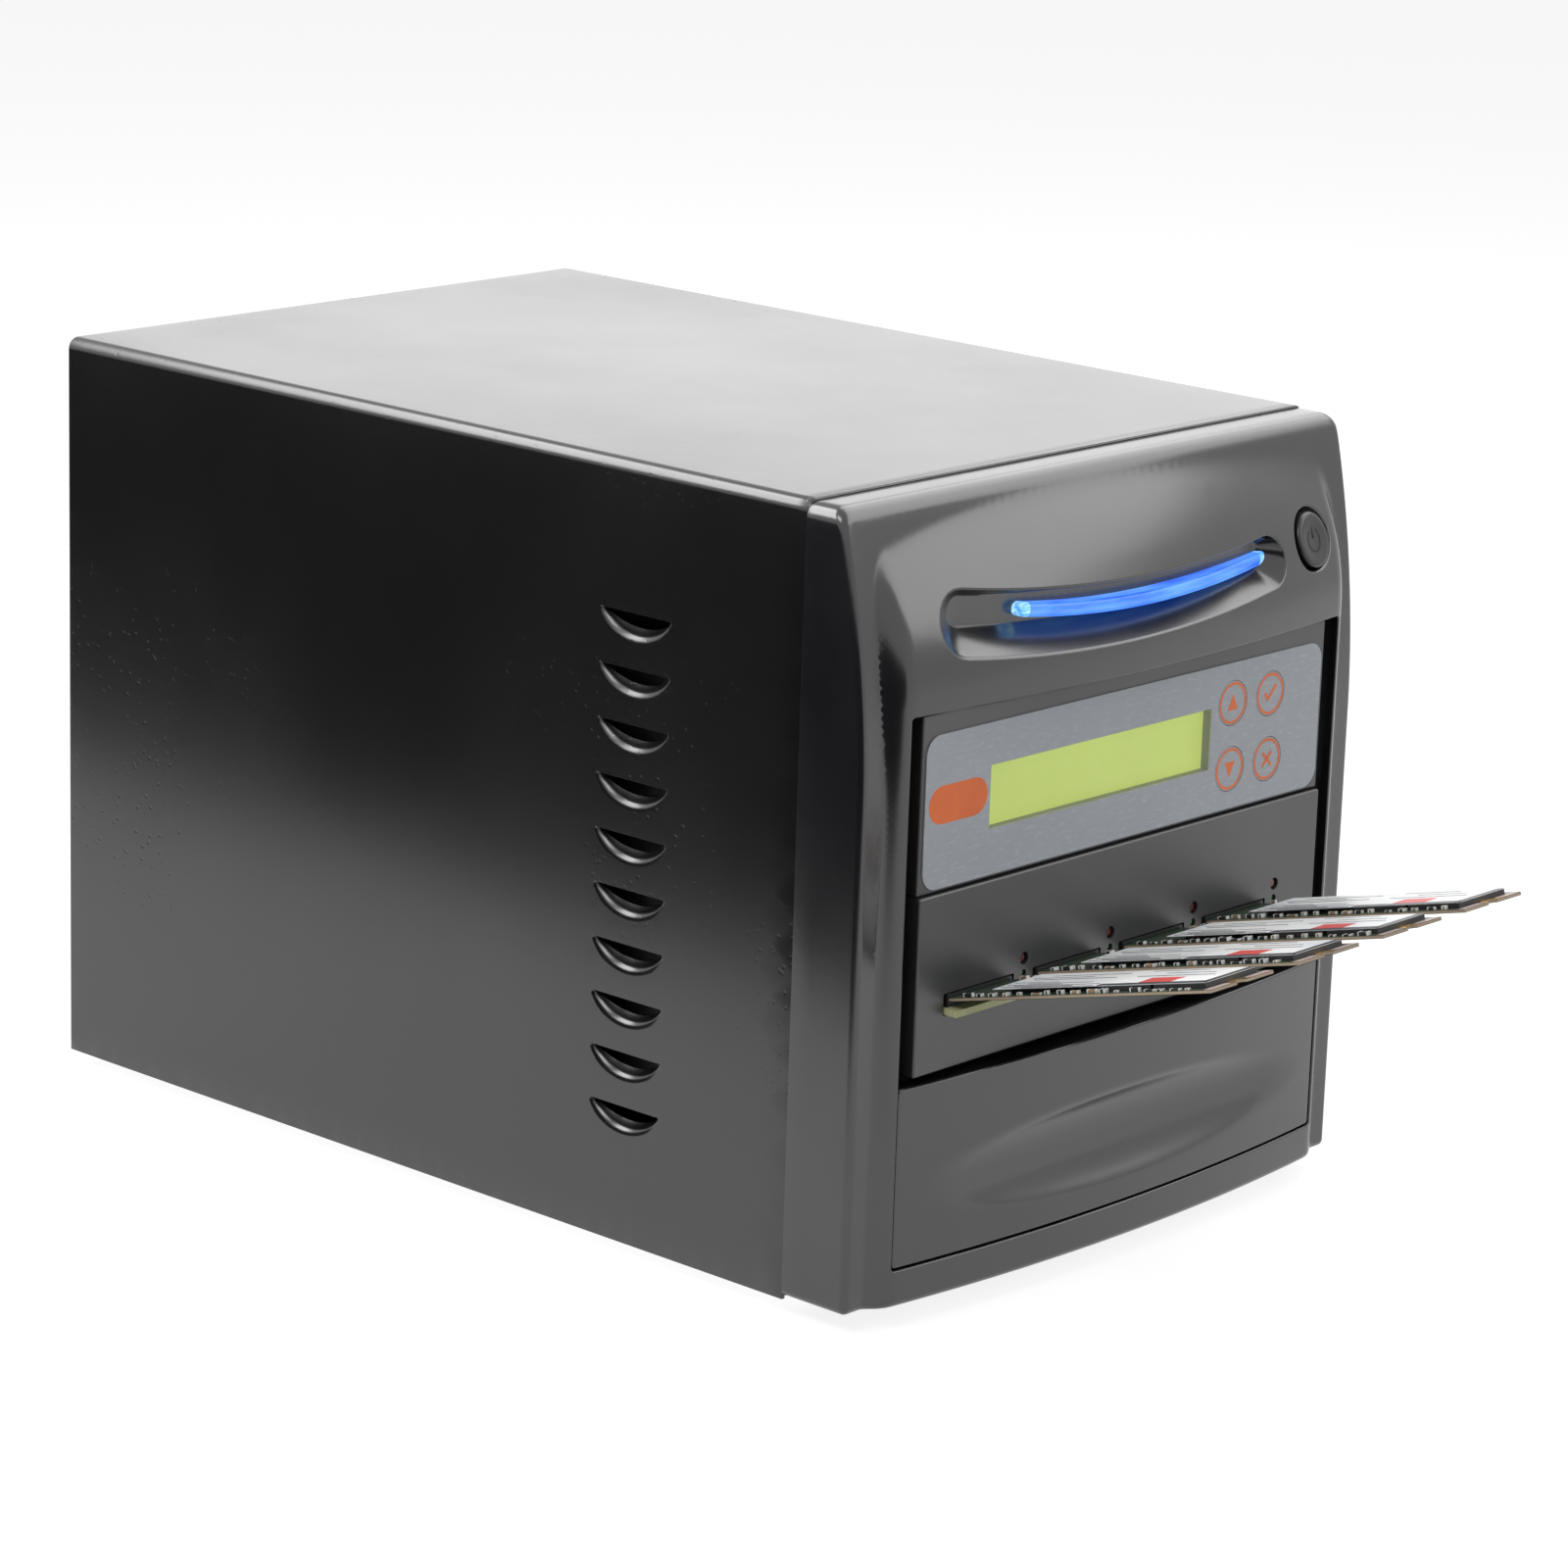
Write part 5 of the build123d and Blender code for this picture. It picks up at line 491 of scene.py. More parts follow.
def brushed(name, colour, roughness, squeeze=(1, 30, 30)):
    """Rolled or brushed metal: fine lines along one axis in its gloss and its relief."""
    material, tree, shader = plain_finish(name, colour, roughness, Metallic=1.0)
    lines = noise(tree, 60.0, 4.0, squeeze=squeeze)
    tree.links.new(remap(tree, lines, 0.3, 0.7, roughness - 0.08, roughness + 0.1),
                   shader.inputs["Roughness"])
    add_bump(tree, shader, lines, 0.15, 0.01)
    stained = tuple(c * 0.86 for c in colour)
    tree.links.new(mix_colour(tree, remap(tree, noise(tree, 25.0), 0.35, 0.65, 0.0, 1.0), colour, stained),
                   shader.inputs["Base Color"])
    return material


def board(name, mask_colour, trace_colour, roughness=0.35):
    """Circuit board: solder mask over faint copper runs in steps, with a glossy coat."""
    material, tree, shader = plain_finish(name, mask_colour, roughness, Specular_IOR_Level=0.5)
    place = tree.nodes.new("ShaderNodeTexCoord")
    runs = tree.nodes.new("ShaderNodeTexBrick")
    runs.inputs["Scale"].default_value = 420.0
    runs.inputs["Mortar Size"].default_value = 0.08
    runs.inputs["Brick Width"].default_value = 3.4
    runs.inputs["Row Height"].default_value = 0.5
    tree.links.new(place.outputs["Object"], runs.inputs["Vector"])
    tint = mix_colour(tree, runs.outputs["Fac"], mask_colour, trace_colour)
    tree.links.new(tint, shader.inputs["Base Color"])
    add_bump(tree, shader, runs.outputs["Fac"], 0.3, 0.03)
    gloss = remap(tree, noise(tree, 60.0), 0.3, 0.7, roughness - 0.06, roughness + 0.08)
    tree.links.new(gloss, shader.inputs["Roughness"])
    return material


def glowing(name, colour, strength, core, streak=300.0):
    """Lit clear plastic: an even glow with brighter streaks along it."""
    material, tree, shader = plain_finish(name, colour, 0.2, Specular_IOR_Level=0.6)
    streaks = remap(tree, noise(tree, streak, 3.0, squeeze=(0.15, 1, 1)), 0.35, 0.68, 0.0, 1.0)
    tree.links.new(mix_colour(tree, streaks, colour, core), shader.inputs["Emission Color"])
    shader.inputs["Emission Strength"].default_value = strength
    return material


def film_finish(name, colour):
    """Printed film: satin, with fine hairline scratches and smudges from fingers."""
    material, tree, shader = plain_finish(name, colour, 0.42, Specular_IOR_Level=0.5)
    scratches = noise(tree, 90.0, 6.0, 0.7, squeeze=(3, 1, 14))
    smudges = noise(tree, 35.0, 5.0, 0.6)
    paler = tuple(c * 1.35 for c in colour)
    streaky = mix_colour(tree, remap(tree, scratches, 0.52, 0.7, 0.0, 1.0), colour, paler)
    hazy = tuple(c * 1.18 for c in colour)
    tree.links.new(mix_colour(tree, remap(tree, smudges, 0.4, 0.75, 0.0, 0.6), streaky, hazy),
                   shader.inputs["Base Color"])
    tree.links.new(remap(tree, smudges, 0.3, 0.7, 0.36, 0.52), shader.inputs["Roughness"])
    add_bump(tree, shader, scratches, 0.12, 0.01)
    return material


def clear_finish(name):
    """Clear film window: mostly see-through, with a satin face that catches some light."""
    material, tree, shader = plain_finish(name, (0.8, 0.85, 0.6), 0.25, Alpha=0.16)
    tree.links.new(remap(tree, noise(tree, 30.0), 0.3, 0.7, 0.2, 0.34), shader.inputs["Roughness"])
    material.surface_render_method = "BLENDED"
    return material


def display_finish(name, colour):
    """Backlit character display: two rows of faint cells, brighter in soft random patches."""
    material, tree, shader = plain_finish(name, colour, 0.3, Specular_IOR_Level=0.4)
    place = tree.nodes.new("ShaderNodeTexCoord")
    mapping = tree.nodes.new("ShaderNodeMapping")
    mapping.inputs["Rotation"].default_value = (math.radians(90), 0, 0)
    cells = tree.nodes.new("ShaderNodeTexBrick")
    cells.offset = 0.0
    cells.inputs["Scale"].default_value = 1000.0 / 11.0
    cells.inputs["Mortar Size"].default_value = 0.05
    cells.inputs["Mortar Smooth"].default_value = 1.0
    cells.inputs["Brick Width"].default_value = 0.42
    cells.inputs["Row Height"].default_value = 0.62
    tree.links.new(place.outputs["Object"], mapping.inputs["Vector"])
    tree.links.new(mapping.outputs["Vector"], cells.inputs["Vector"])
    darker = tuple(c * 0.93 for c in colour)
    ground = mix_colour(tree, cells.outputs["Fac"], darker, colour)
    pooled = mix_colour(tree, remap(tree, noise(tree, 30.0), 0.35, 0.65, 0.0, 0.5), ground,
                        tuple(c * 1.12 for c in colour))
    tree.links.new(pooled, shader.inputs["Emission Color"])
    shader.inputs["Base Color"].default_value = (*[c * 0.15 for c in colour], 1)
    shader.inputs["Emission Strength"].default_value = 0.95
    return material


FINISHES = {}


def finish(name):
    """The named finish, made once."""
    if name not in FINISHES:
        FINISHES[name] = MAKERS[name]()
    return FINISHES[name]


def tones():
    return bpy.context.scene.duplicator_tones


def size(name):
    """One of the sizes that a user can change, in millimetres."""
    return getattr(bpy.context.scene.duplicator_sizes, name) / MM


MAKERS = {
    "coat": lambda: coated("black_powder_coat", tones().cover[:3], 0.24, Specular_IOR_Level=0.9),
    "bezel": lambda: moulded("bezel_moulding", tones().bezel[:3], 0.2, Specular_IOR_Level=0.95),
    "plate": lambda: moulded("faceplate_moulding", tones().plate[:3], 0.42, Specular_IOR_Level=1.0),
    "black": lambda: moulded("black_moulding", (0.012, 0.012, 0.013), 0.45, grain=1400.0),
    "button": lambda: moulded("button_moulding", (0.014, 0.014, 0.016), 0.3, Specular_IOR_Level=0.5),
    # Near-black, rough moulding of the button's sign: painted shade of its sunk ring and bar.
    "sign_shade": lambda: moulded("painted_sign_shade", (0.004, 0.004, 0.005), 0.7, grain=1800.0),
    "film": lambda: film_finish("grey_film", tones().film[:3]),
    "print": lambda: moulded("orange_print", tones().print_orange[:3], 0.5, grain=2200.0, depth=0.005),
    "clear": lambda: clear_finish("clear_film"),
    "display": lambda: display_finish("display_backlight", tones().display[:3]),
    "pipe": lambda: glowing("light_pipe_glow", tones().pipe[:3], 0.95, (0.12, 0.38, 1.0)),
    "pipe_end": lambda: glowing("light_pipe_end_glow", (0.05, 0.3, 1.0), 1.1, (0.5, 0.85, 1.0), streak=900.0),
    "red": lambda: moulded("red_lamp", (0.09, 0.008, 0.01), 0.12, grain=1500.0, Specular_IOR_Level=0.7),
    "green": lambda: moulded("green_lamp", (0.03, 0.14, 0.04), 0.15, grain=1500.0, Specular_IOR_Level=0.7),
    "green_board": lambda: board("green_board", (0.008, 0.06, 0.025), (0.02, 0.11, 0.04)),
    "dark_board": lambda: board("dark_board", (0.012, 0.028, 0.016), (0.03, 0.055, 0.03)),
    "pale_board": lambda: board("pale_board", (0.55, 0.56, 0.3), (0.66, 0.66, 0.4), 0.5),
    "board_core": lambda: moulded("board_core", (0.36, 0.28, 0.2), 0.55, grain=2600.0),
    "chip": lambda: moulded("chip_package", (0.018, 0.018, 0.02), 0.5, grain=2500.0, depth=0.01),
    "ceramic": lambda: moulded("chip_capacitor", (0.32, 0.22, 0.13), 0.4, grain=2500.0),
    "gold": lambda: brushed("gold_contacts", (0.9, 0.55, 0.16), 0.3, (1, 1, 1)),
    "label": lambda: moulded("silver_label", (0.8, 0.82, 0.87), 0.32, grain=2000.0, depth=0.006),
    "label_white": lambda: moulded("label_white", (0.9, 0.91, 0.93), 0.4, grain=2000.0, depth=0.006),
    "label_red": lambda: moulded("label_red", (0.6, 0.06, 0.06), 0.4, grain=2000.0, depth=0.006),
    "label_dark": lambda: moulded("label_dark", (0.03, 0.035, 0.045), 0.35, grain=2000.0, depth=0.006),
    "rim_laminate": lambda: moulded("rim_laminate", (0.42, 0.31, 0.29), 0.35, grain=2600.0, depth=0.005),
    "tinned": lambda: moulded("tinned_end", (0.82, 0.82, 0.79), 0.3, grain=2600.0, depth=0.005),
    "zinc": lambda: brushed("zinc_sheet", (0.6, 0.61, 0.62), 0.38),
    "nickel": lambda: brushed("nickel", (0.68, 0.67, 0.65), 0.2, (1, 1, 1)),
    "brass": lambda: brushed("brass", (0.72, 0.52, 0.22), 0.25, (1, 1, 1)),
    "black_steel": lambda: coated("blackened_steel", (0.015, 0.015, 0.016), 0.3, orange_peel=900.0),
    "rubber": lambda: moulded("rubber", (0.014, 0.014, 0.014), 0.75, grain=500.0, depth=0.05),
}


# Bezel surfaces


def frame_face(a, b):
    """Front of the bezel's frame: upright, then an arc that leans back above the bend."""
    rise = np.clip(b - FRAME_BEND_Z, 0, None)
    return FRAME_FACE_Y + FRAME_BEND_R - np.sqrt(FRAME_BEND_R**2 - rise**2)


def bow(a):
    """How far the pod's face falls back to each side of its middle."""
    return POD_BOW_R - np.sqrt(POD_BOW_R**2 - a**2)


def pod_face(a, b):
    """Face of the pod: bowed across, upright and then an arc over its top, rounded at its sides."""
    rise = np.clip(b - POD_BEND_Z, 0, POD_BEND_R * POD_TOP_SHARE)
    over = POD_BEND_R - np.sqrt(POD_BEND_R**2 - rise**2)
    reach = np.clip(np.abs(a) - POD_HALF + POD_CORNER_R, 0, POD_CORNER_R * POD_SIDE_SHARE)
    side = POD_CORNER_R - np.sqrt(POD_CORNER_R**2 - reach**2)
    beyond = np.clip(np.abs(a) - POD_HALF, 0, None)
    return POD_FACE_Y + bow(a) + over + side + beyond * POD_SIDE_FALL


def bezel_face(a, b):
    """Front of the whole bezel: the nearer of frame and pod, with their crease softened."""
    flat, pod = frame_face(a, b), pod_face(a, b)
    near = np.clip(CREASE_SOFTNESS - np.abs(flat - pod), 0, None) / CREASE_SOFTNESS
    return np.minimum(flat, pod) - near**2 * CREASE_SOFTNESS / 4


# Sizes that the pieces share, in case millimetres
BEZEL_LOW = node_box("front_bezel")[0][2]
BEZEL_HALF, BEZEL_BACK_Y, BEZEL_TOP = node_box("front_bezel")[1]
BEZEL_CORNER_R = 3.6
BEND_CHANGE = 6.0
BACK_CHAMFER = 0.4
SKIN_SPACING = 3.0
FINE_SPACING = 1.1
EDGE_SPACING = 1.6
MOUTH_SPACING = 2.0
LEDGE_SPACING = 6.0
BACK_SPACING = 8.0
CREASE_REACH = 2.6
MOUTH_LIP_R = 0.5
MOUTH_CORNER_R = 0.8
OPENING_HALF = 77.3
OPENING_LOW = 10.0
OPENING_TOP = 138.2
LEDGE = 1.8
LEDGE_Y = -19.5
SCOOP_CENTRE = -6.0
SCOOP_HALF = 54.0
SCOOP_END_Z = 156.8
SCOOP_SAG = 3.4
SCOOP_HEIGHT = 12.8
SCOOP_BACK_Y = -17.5
SCOOP_BACK_HEIGHT = 7.0
SCOOP_BACK_RISE = 1.9
SCOOP_BACK_HALF = 52.0
SCOOP_LIP_R = 0.9
SCOOP_FILLET = 0.6
SCOOP_TAPER = 0.09
SCOOP_FALL = 1.2
SCOOP_SPACING = 1.2
PIPE_CENTRE = 6.6
PIPE_HALF = 43.8
PIPE_END_Z = 156.2
PIPE_FALL = 0.6
PIPE_SAG = 3.0
PIPE_HEIGHT = 3.2
PIPE_FRONT_Y = -21.5
PIPE_EDGE_R = 0.7
PIPE_END = 1.5
PIPE_CROWN = 0.25
PIPE_SHOULDER = 0.12
BUTTON_X = 67.4
BUTTON_Z = 158.0
BUTTON_R = 6.4
BUTTON_FACE_Y = -21.8
BUTTON_DISH_R = 4.9
BUTTON_ROLL = 0.9
BUTTON_GAP = 0.15
BUTTON_DISH = 0.35
CAP_DEPTH = 6.0
BUTTON_PLAY = 0.1
BUTTON_ROOT = 3.0
FLANGE_SETBACK = 2.2
FLANGE_WALL = 1.0
STEM_R = 2.0
SIGN_DEPTH = 0.2
SIGN_WALL = 0.6
SIGN_RING = (2.35, 2.85)
SIGN_GAP = 32
SIGN_BAR_HALF = 0.28
SIGN_BAR = (0.4, 3.5)
WELL_R = 7.2
WELL_FLOOR_Y = -17.6
WELL_LIP_R = 0.9
WELL_CHAMFER = 0.6
WELL_SLEEVE = 5.6
WELL_LID = 1.6
FLANGE_ROOM = 2.4


def between(first, second, share):
    """Row of points a share of the way from one ring to another."""
    return first + (second - first) * share


def build_bezel():
    """Front skin with soft rims round its openings, the scoop, the well and the closed back."""
    bezel = Surface()
    side_bend, top_bend = size("bezel_edge"), size("bezel_top_edge")
    outer = box_loop(-BEZEL_HALF, BEZEL_HALF, BEZEL_LOW, BEZEL_TOP, BEZEL_CORNER_R, EDGE_SPACING,
                     low_radius=side_bend)
    mouth = box_loop(-OPENING_HALF, OPENING_HALF, OPENING_LOW, OPENING_TOP, MOUTH_CORNER_R,
                     MOUTH_SPACING)
    scoop = smile_loop(SCOOP_CENTRE, SCOOP_HALF, SCOOP_END_Z, SCOOP_SAG, spacing=SCOOP_SPACING,
                       taper=SCOOP_TAPER, fall=SCOOP_FALL)
    wall = smile_loop(SCOOP_CENTRE, SCOOP_BACK_HALF, SCOOP_END_Z + SCOOP_BACK_RISE, SCOOP_SAG,
                      spacing=SCOOP_SPACING * SCOOP_BACK_HALF / SCOOP_HALF, fall=SCOOP_FALL)
    well = circle_loop(BUTTON_X, BUTTON_Z, 64)
    edge = outer.radius
    near_top = np.clip((outer.grown(edge)[:, 1] - BEZEL_TOP) / BEND_CHANGE + 1, 0, 1)
    bend = side_bend + (top_bend - side_bend) * near_top**2
    half_scoop = SCOOP_HEIGHT / 2

    # Dense points where the skin bends: along the crease, over the pod's sides and its top
    fine = lattice(-BEZEL_HALF, BEZEL_HALF, BEZEL_LOW, BEZEL_TOP, FINE_SPACING)
    near_crease = np.abs(frame_face(*fine.T) - pod_face(*fine.T)) < CREASE_REACH
    on_side = (np.abs(fine[:, 0]) > POD_HALF - POD_CORNER_R - 1) & (np.abs(fine[:, 0]) < POD_HALF + 1)
    fine = fine[near_crease | on_side]
    rims = [outer.grown(edge - bend), mouth.grown(mouth.radius + MOUTH_LIP_R),
            scoop.grown(half_scoop + SCOOP_LIP_R), well.grown(WELL_R + WELL_LIP_R)]
    bezel.fill(rims, bezel_face, SKIN_SPACING, [(fine, FINE_SPACING)])

    # Outer edge, side walls and back
    turn = quarter(7)
    rows = outer.rolled(edge, bend, bezel_face, turn)
    rows += [between(rows[-1], outer.ring(edge, BEZEL_BACK_Y), share) for share in (0.3, 0.65)]
    rows.append(outer.ring(edge, BEZEL_BACK_Y - BACK_CHAMFER))
    rows.append(outer.ring(edge - BACK_CHAMFER, BEZEL_BACK_Y))
    bezel.grid(rows)

    # Opening: rounded rim, walls, ledge
    rows = mouth.rolled(mouth.radius, MOUTH_LIP_R, bezel_face, turn[::2], inward=True)
    bezel.grid(rows + [mouth.ring(mouth.radius, LEDGE_Y)])
    ledge = box_loop(-OPENING_HALF + LEDGE, OPENING_HALF - LEDGE, OPENING_LOW + LEDGE / 2,
                     OPENING_TOP, MOUTH_CORNER_R, MOUTH_SPACING)
    bezel.fill([mouth.grown(mouth.radius), ledge.grown(ledge.radius)], LEDGE_Y, LEDGE_SPACING)
    bezel.grid([ledge.ring(ledge.radius, LEDGE_Y), ledge.ring(ledge.radius, BEZEL_BACK_Y)])
    bezel.fill([outer.grown(edge - BACK_CHAMFER), ledge.grown(ledge.radius)], BEZEL_BACK_Y,
               BACK_SPACING)

    # Scoop: rolled lip, ramp that narrows to the upright back wall
    rows = scoop.rolled(half_scoop, SCOOP_LIP_R, bezel_face, turn[:-1], inward=True)
    back = wall.ring(SCOOP_BACK_HEIGHT / 2, SCOOP_BACK_Y)
    rows += [between(rows[-1], back, share) for share in (0.2, 0.45, 0.7, 0.9)]
    inner_half, inner_y = SCOOP_BACK_HEIGHT / 2 - SCOOP_FILLET, SCOOP_BACK_Y + SCOOP_FILLET / 4
    bezel.grid(rows + [back, wall.ring(inner_half, inner_y)])
    bezel.fill([wall.grown(inner_half)], inner_y, SKIN_SPACING)

    # Well of the button
    hole = BUTTON_R + BUTTON_GAP
    shelf_y = WELL_FLOOR_Y + WELL_SLEEVE
    steps = (
        (WELL_R, WELL_FLOOR_Y - WELL_CHAMFER), (WELL_R - WELL_CHAMFER, WELL_FLOOR_Y),
        (hole, WELL_FLOOR_Y), (hole, shelf_y), (hole + FLANGE_ROOM, shelf_y),
        (hole + FLANGE_ROOM, BEZEL_BACK_Y - WELL_LID),
    )
    rows = well.rolled(WELL_R, WELL_LIP_R, bezel_face, turn, inward=True)
    rows += [well.ring(*step) for step in steps]
    bezel.grid(rows)
    bezel.cap(rows[-1])
    return bezel.piece("bezel", "case", [finish("bezel")], "bezel_plastic", ["front_bezel"], sharp=50)


def build_light_pipe():
    """Bent clear bar: bowed front with round edges; the lit ends are brighter."""
    pipe = Surface()
    line = smile_loop(PIPE_CENTRE, PIPE_HALF, PIPE_END_Z, PIPE_SAG, spacing=SCOOP_SPACING, fall=PIPE_FALL)
    reach = PIPE_HEIGHT / 2

    def front(a, b):
        return PIPE_FRONT_Y + bow(a)

    rows = [line.ring(0.02, lifted(front, -PIPE_CROWN)), line.ring(reach / 2, lifted(front, -PIPE_SHOULDER))]
    rows += line.rolled(reach, PIPE_EDGE_R, front, np.linspace(0.2, math.pi / 2, 5))
    rows.append(line.ring(reach, node_box("light_pipe")[1][1]))
    pipe.grid(rows)
    pipe.cap(rows[0], turned=True)
    pipe.cap(rows[-1])
    points = np.concatenate(pipe.points)
    ends = [abs(points[f, 0].mean() - PIPE_CENTRE) > PIPE_HALF - PIPE_END for f in pipe.faces]
    pipe.marks = [int(end) for end in ends]
    return pipe.piece("light_bar", "case", [finish("pipe"), finish("pipe_end")], "blue_glow", ["light_pipe"])


def annulus(surface, a, b, inner, outer, front, back, count=48, gap=None, mark=0):
    """Flat ring, or part of one, between two radii; gap is half the open angle at its top, in degrees."""
    if gap is None:
        loop = circle_loop(a, b, count)
        rows = [(inner, back), (inner, front), (outer, front), (outer, back), (inner, back)]
        surface.grid([loop.ring(*row) for row in rows], True, mark)
        return
    angle = np.radians(np.linspace(90 + gap, 450 - gap, count))
    rim = np.column_stack([np.cos(angle), np.sin(angle)])
    rows = [
        np.column_stack([np.array([a, b]) + rim * radius, np.full(count, depth)])
        for radius, depth in ((inner, back), (inner, front), (outer, front), (outer, back), (inner, back))
    ]
    surface.grid(rows, False, mark)
    for side in (0, -1):
        surface.cap(np.array([row[side] for row in rows[:4]]), mark)


def slab(surface, left, right, low, high, front, back, radius=0.0, edge=0.0, mark=0):
    """Flat block with round corners and a rolled front edge."""
    corner = max(radius, edge + 0.01) if edge else radius
    loop = box_loop(left, right, low, high, corner, spacing=30.0, steps=5)
    rows = [(corner, front), (corner, back)]
    if edge:
        rows = [(corner - edge - 0.02, front)]
        rows += [
            (corner - edge * (1 - math.sin(t)), front + edge * (1 - math.cos(t))) for t in quarter(4)
        ]
        rows.append((corner, back))
    surface.prism(loop, rows, mark)


def build_button():
    """Turned cap with a shallow dish and a rolled edge, its flange and stem, and a ring and bar of a sunk
    sign, painted near-black as the shade in it.

    The cap is sheared so that its face leans with the pod: a point at a, b from its middle lies
    a times one slope plus b times the other further back.
    """
    button = Surface()
    high = node_box("power_button")[1]
    flange, flange_y = high[0] - BUTTON_X, high[1] - FLANGE_SETBACK
    lean = (BUTTON_X / POD_BOW_R, math.tan(math.asin((BUTTON_Z - POD_BEND_Z) / POD_BEND_R)))
    button.plane((BUTTON_X, BUTTON_FACE_Y, BUTTON_Z), (1, lean[0], 0), (0, lean[1], 1), (0, 1, 0))
    rim = circle_loop(0, 0, 64)
    rows = [
        (r, BUTTON_DISH * (1 - (r / BUTTON_DISH_R) ** 2)) for r in np.linspace(0.05, BUTTON_DISH_R, 8)
    ]
    rows += [
        (BUTTON_R - BUTTON_ROLL * (1 - math.sin(t)), BUTTON_ROLL * (1 - math.cos(t))) for t in quarter(7)
    ]
    button.prism(rim, rows + [(BUTTON_R, CAP_DEPTH)])
    sign = (SIGN_DEPTH, SIGN_DEPTH + SIGN_WALL)
    # The sign takes the second finish: painted shade of a sunk ring and bar.
    annulus(button, 0, 0, *SIGN_RING, *sign, gap=SIGN_GAP, mark=1)
    slab(button, -SIGN_BAR_HALF, SIGN_BAR_HALF, *SIGN_BAR, *sign, radius=0.2, mark=1)
    button.plane((BUTTON_X, 0, BUTTON_Z), (1, 0, 0), (0, 0, 1), (0, 1, 0))
    body, stem_y = BUTTON_R - BUTTON_PLAY, flange_y + FLANGE_WALL
    button.prism(rim, [(body, flange_y - BUTTON_ROOT), (body, flange_y), (flange, flange_y),
                       (flange, stem_y), (STEM_R, stem_y), (STEM_R, high[1])])
    return button.piece("button_cap", "power_button", [finish("button"), finish("sign_shade")],
                        "button_plastic", ["power_button"])


# Cover

COVER_SHEET = 1.0
COVER_SPACING = 7.0
WALL_STEPS = 42
LOUVRE_COUNT = 10
LOUVRE_PITCH = 13.0
LOUVRE_TOP = 150.0
LOUVRE_MIDDLE = 51.25
LOUVRE_STEPS = 22
LIP_TURN = math.radians(62)
RAMP_END = math.radians(50)
FLANGE_SIDE = 10.0
FLANGE_TOP = 3.5


def louvre(surface, top):
    """Dish pressed in under a straight edge: a rolled lip that runs on into a ramp.

    The lip turns from the wall through LIP_TURN. The ramp follows an ellipse about the straight
    edge: at angle t, a point that starts h below the edge lies h cos t / cos s below it and
    h (sin t - sin s) / cos s deeper, where s is what the lip leaves of a right angle. It ends at
    RAMP_END, and over it the opening is dark.
    """
    half, drop, roll = size("louvre_half"), size("louvre_drop"), size("louvre_roll")
    moon = half_moon_loop(LOUVRE_MIDDLE, top, half, drop, LOUVRE_STEPS)
    lip = moon.rolled(0.0, roll, 0.0, np.linspace(0, LIP_TURN, 7), inward=True)
    surface.grid(lip)
    arc = lip[-1][:LOUVRE_STEPS]
    below = top - arc[:, 1]
    begin = math.pi / 2 - LIP_TURN
    angle = np.linspace(begin, RAMP_END, 10)[:, None]
    surface.grid(np.stack([
        np.broadcast_to(arc[:, 0], (len(angle), len(arc))),
        top - below * np.cos(angle) / math.cos(begin),
        arc[:, 2] + below * (np.sin(angle) - math.sin(begin)) / math.cos(begin),
    ], -1), False)
    return moon.grown(roll)


def build_cover():
    """Folded shell: side walls with louvres, rounded top edges, and a narrow flange round the back."""
    cover = Surface()
    tops = [LOUVRE_TOP - LOUVRE_PITCH * i for i in range(LOUVRE_COUNT)]
    fold = size("cover_edge")
    eaves = CASE_HEIGHT - fold
    lengths = spans(0, CASE_LENGTH - COVER_SHEET, 4.0)
    climb, descent = np.linspace(0, eaves, WALL_STEPS), np.linspace(eaves, 0, WALL_STEPS)
    for side in (-1, 1):
        cover.plane((side * CASE_HALF, 0, 0), (0, 1, 0), (0, 0, 1), (-side, 0, 0))
        holes = [louvre(cover, top) for top in tops]
        outline = np.concatenate([
            np.column_stack([lengths, np.zeros(len(lengths))]),
            np.column_stack([np.full(WALL_STEPS - 2, lengths[-1]), climb[1:-1]]),
            np.column_stack([lengths[::-1], np.full(len(lengths), eaves)]),
            np.column_stack([np.zeros(WALL_STEPS - 2), descent[1:-1]]),
        ])
        cover.fill([outline, *holes], 0.0, COVER_SPACING)
    cover.plane((0, 0, 0), (1, 0, 0), (0, 0, 1), (0, 1, 0))
    bend = quarter(8)
    corner = CASE_HALF - fold
    left = np.column_stack([-corner - fold * np.cos(bend), eaves + fold * np.sin(bend)])
    across = spans(-corner, corner, COVER_SPACING)[1:-1]
    flat = np.column_stack([across, np.full(len(across), CASE_HEIGHT)])
    roof = np.concatenate([left, flat, left[::-1] * (-1, 1)])
    cover.grid([np.column_stack([roof, np.full(len(roof), y)]) for y in lengths], False)
    wall = climb[:-1]
    path = np.concatenate([
        np.column_stack([np.full(len(wall), -CASE_HALF), wall]), roof,
        np.column_stack([np.full(len(wall), CASE_HALF), wall[::-1]]),
    ])
    inner = np.column_stack([
        np.clip(path[:, 0], FLANGE_SIDE + COVER_SHEET - CASE_HALF, CASE_HALF - FLANGE_SIDE - COVER_SHEET),
        np.minimum(path[:, 1], CASE_HEIGHT - FLANGE_TOP - COVER_SHEET),
    ])
    inward = inner - path
    inward /= np.linalg.norm(inward, axis=1)[:, None]
    rows = [
        np.column_stack([path + inward * (1 - math.cos(t)), np.full(len(path), lengths[-1] + math.sin(t))])
        for t in quarter(5)
    ]
    rows.append(np.column_stack([inner, np.full(len(path), CASE_LENGTH)]))
    cover.grid(rows, False)
    return cover.piece("cover_shell", "case", [finish("coat")], "cover_paint", ["top_cover"],
                       facing=(0, 0, 1), sharp=40, wall=COVER_SHEET * 0.95)


# Blank cover and faceplates

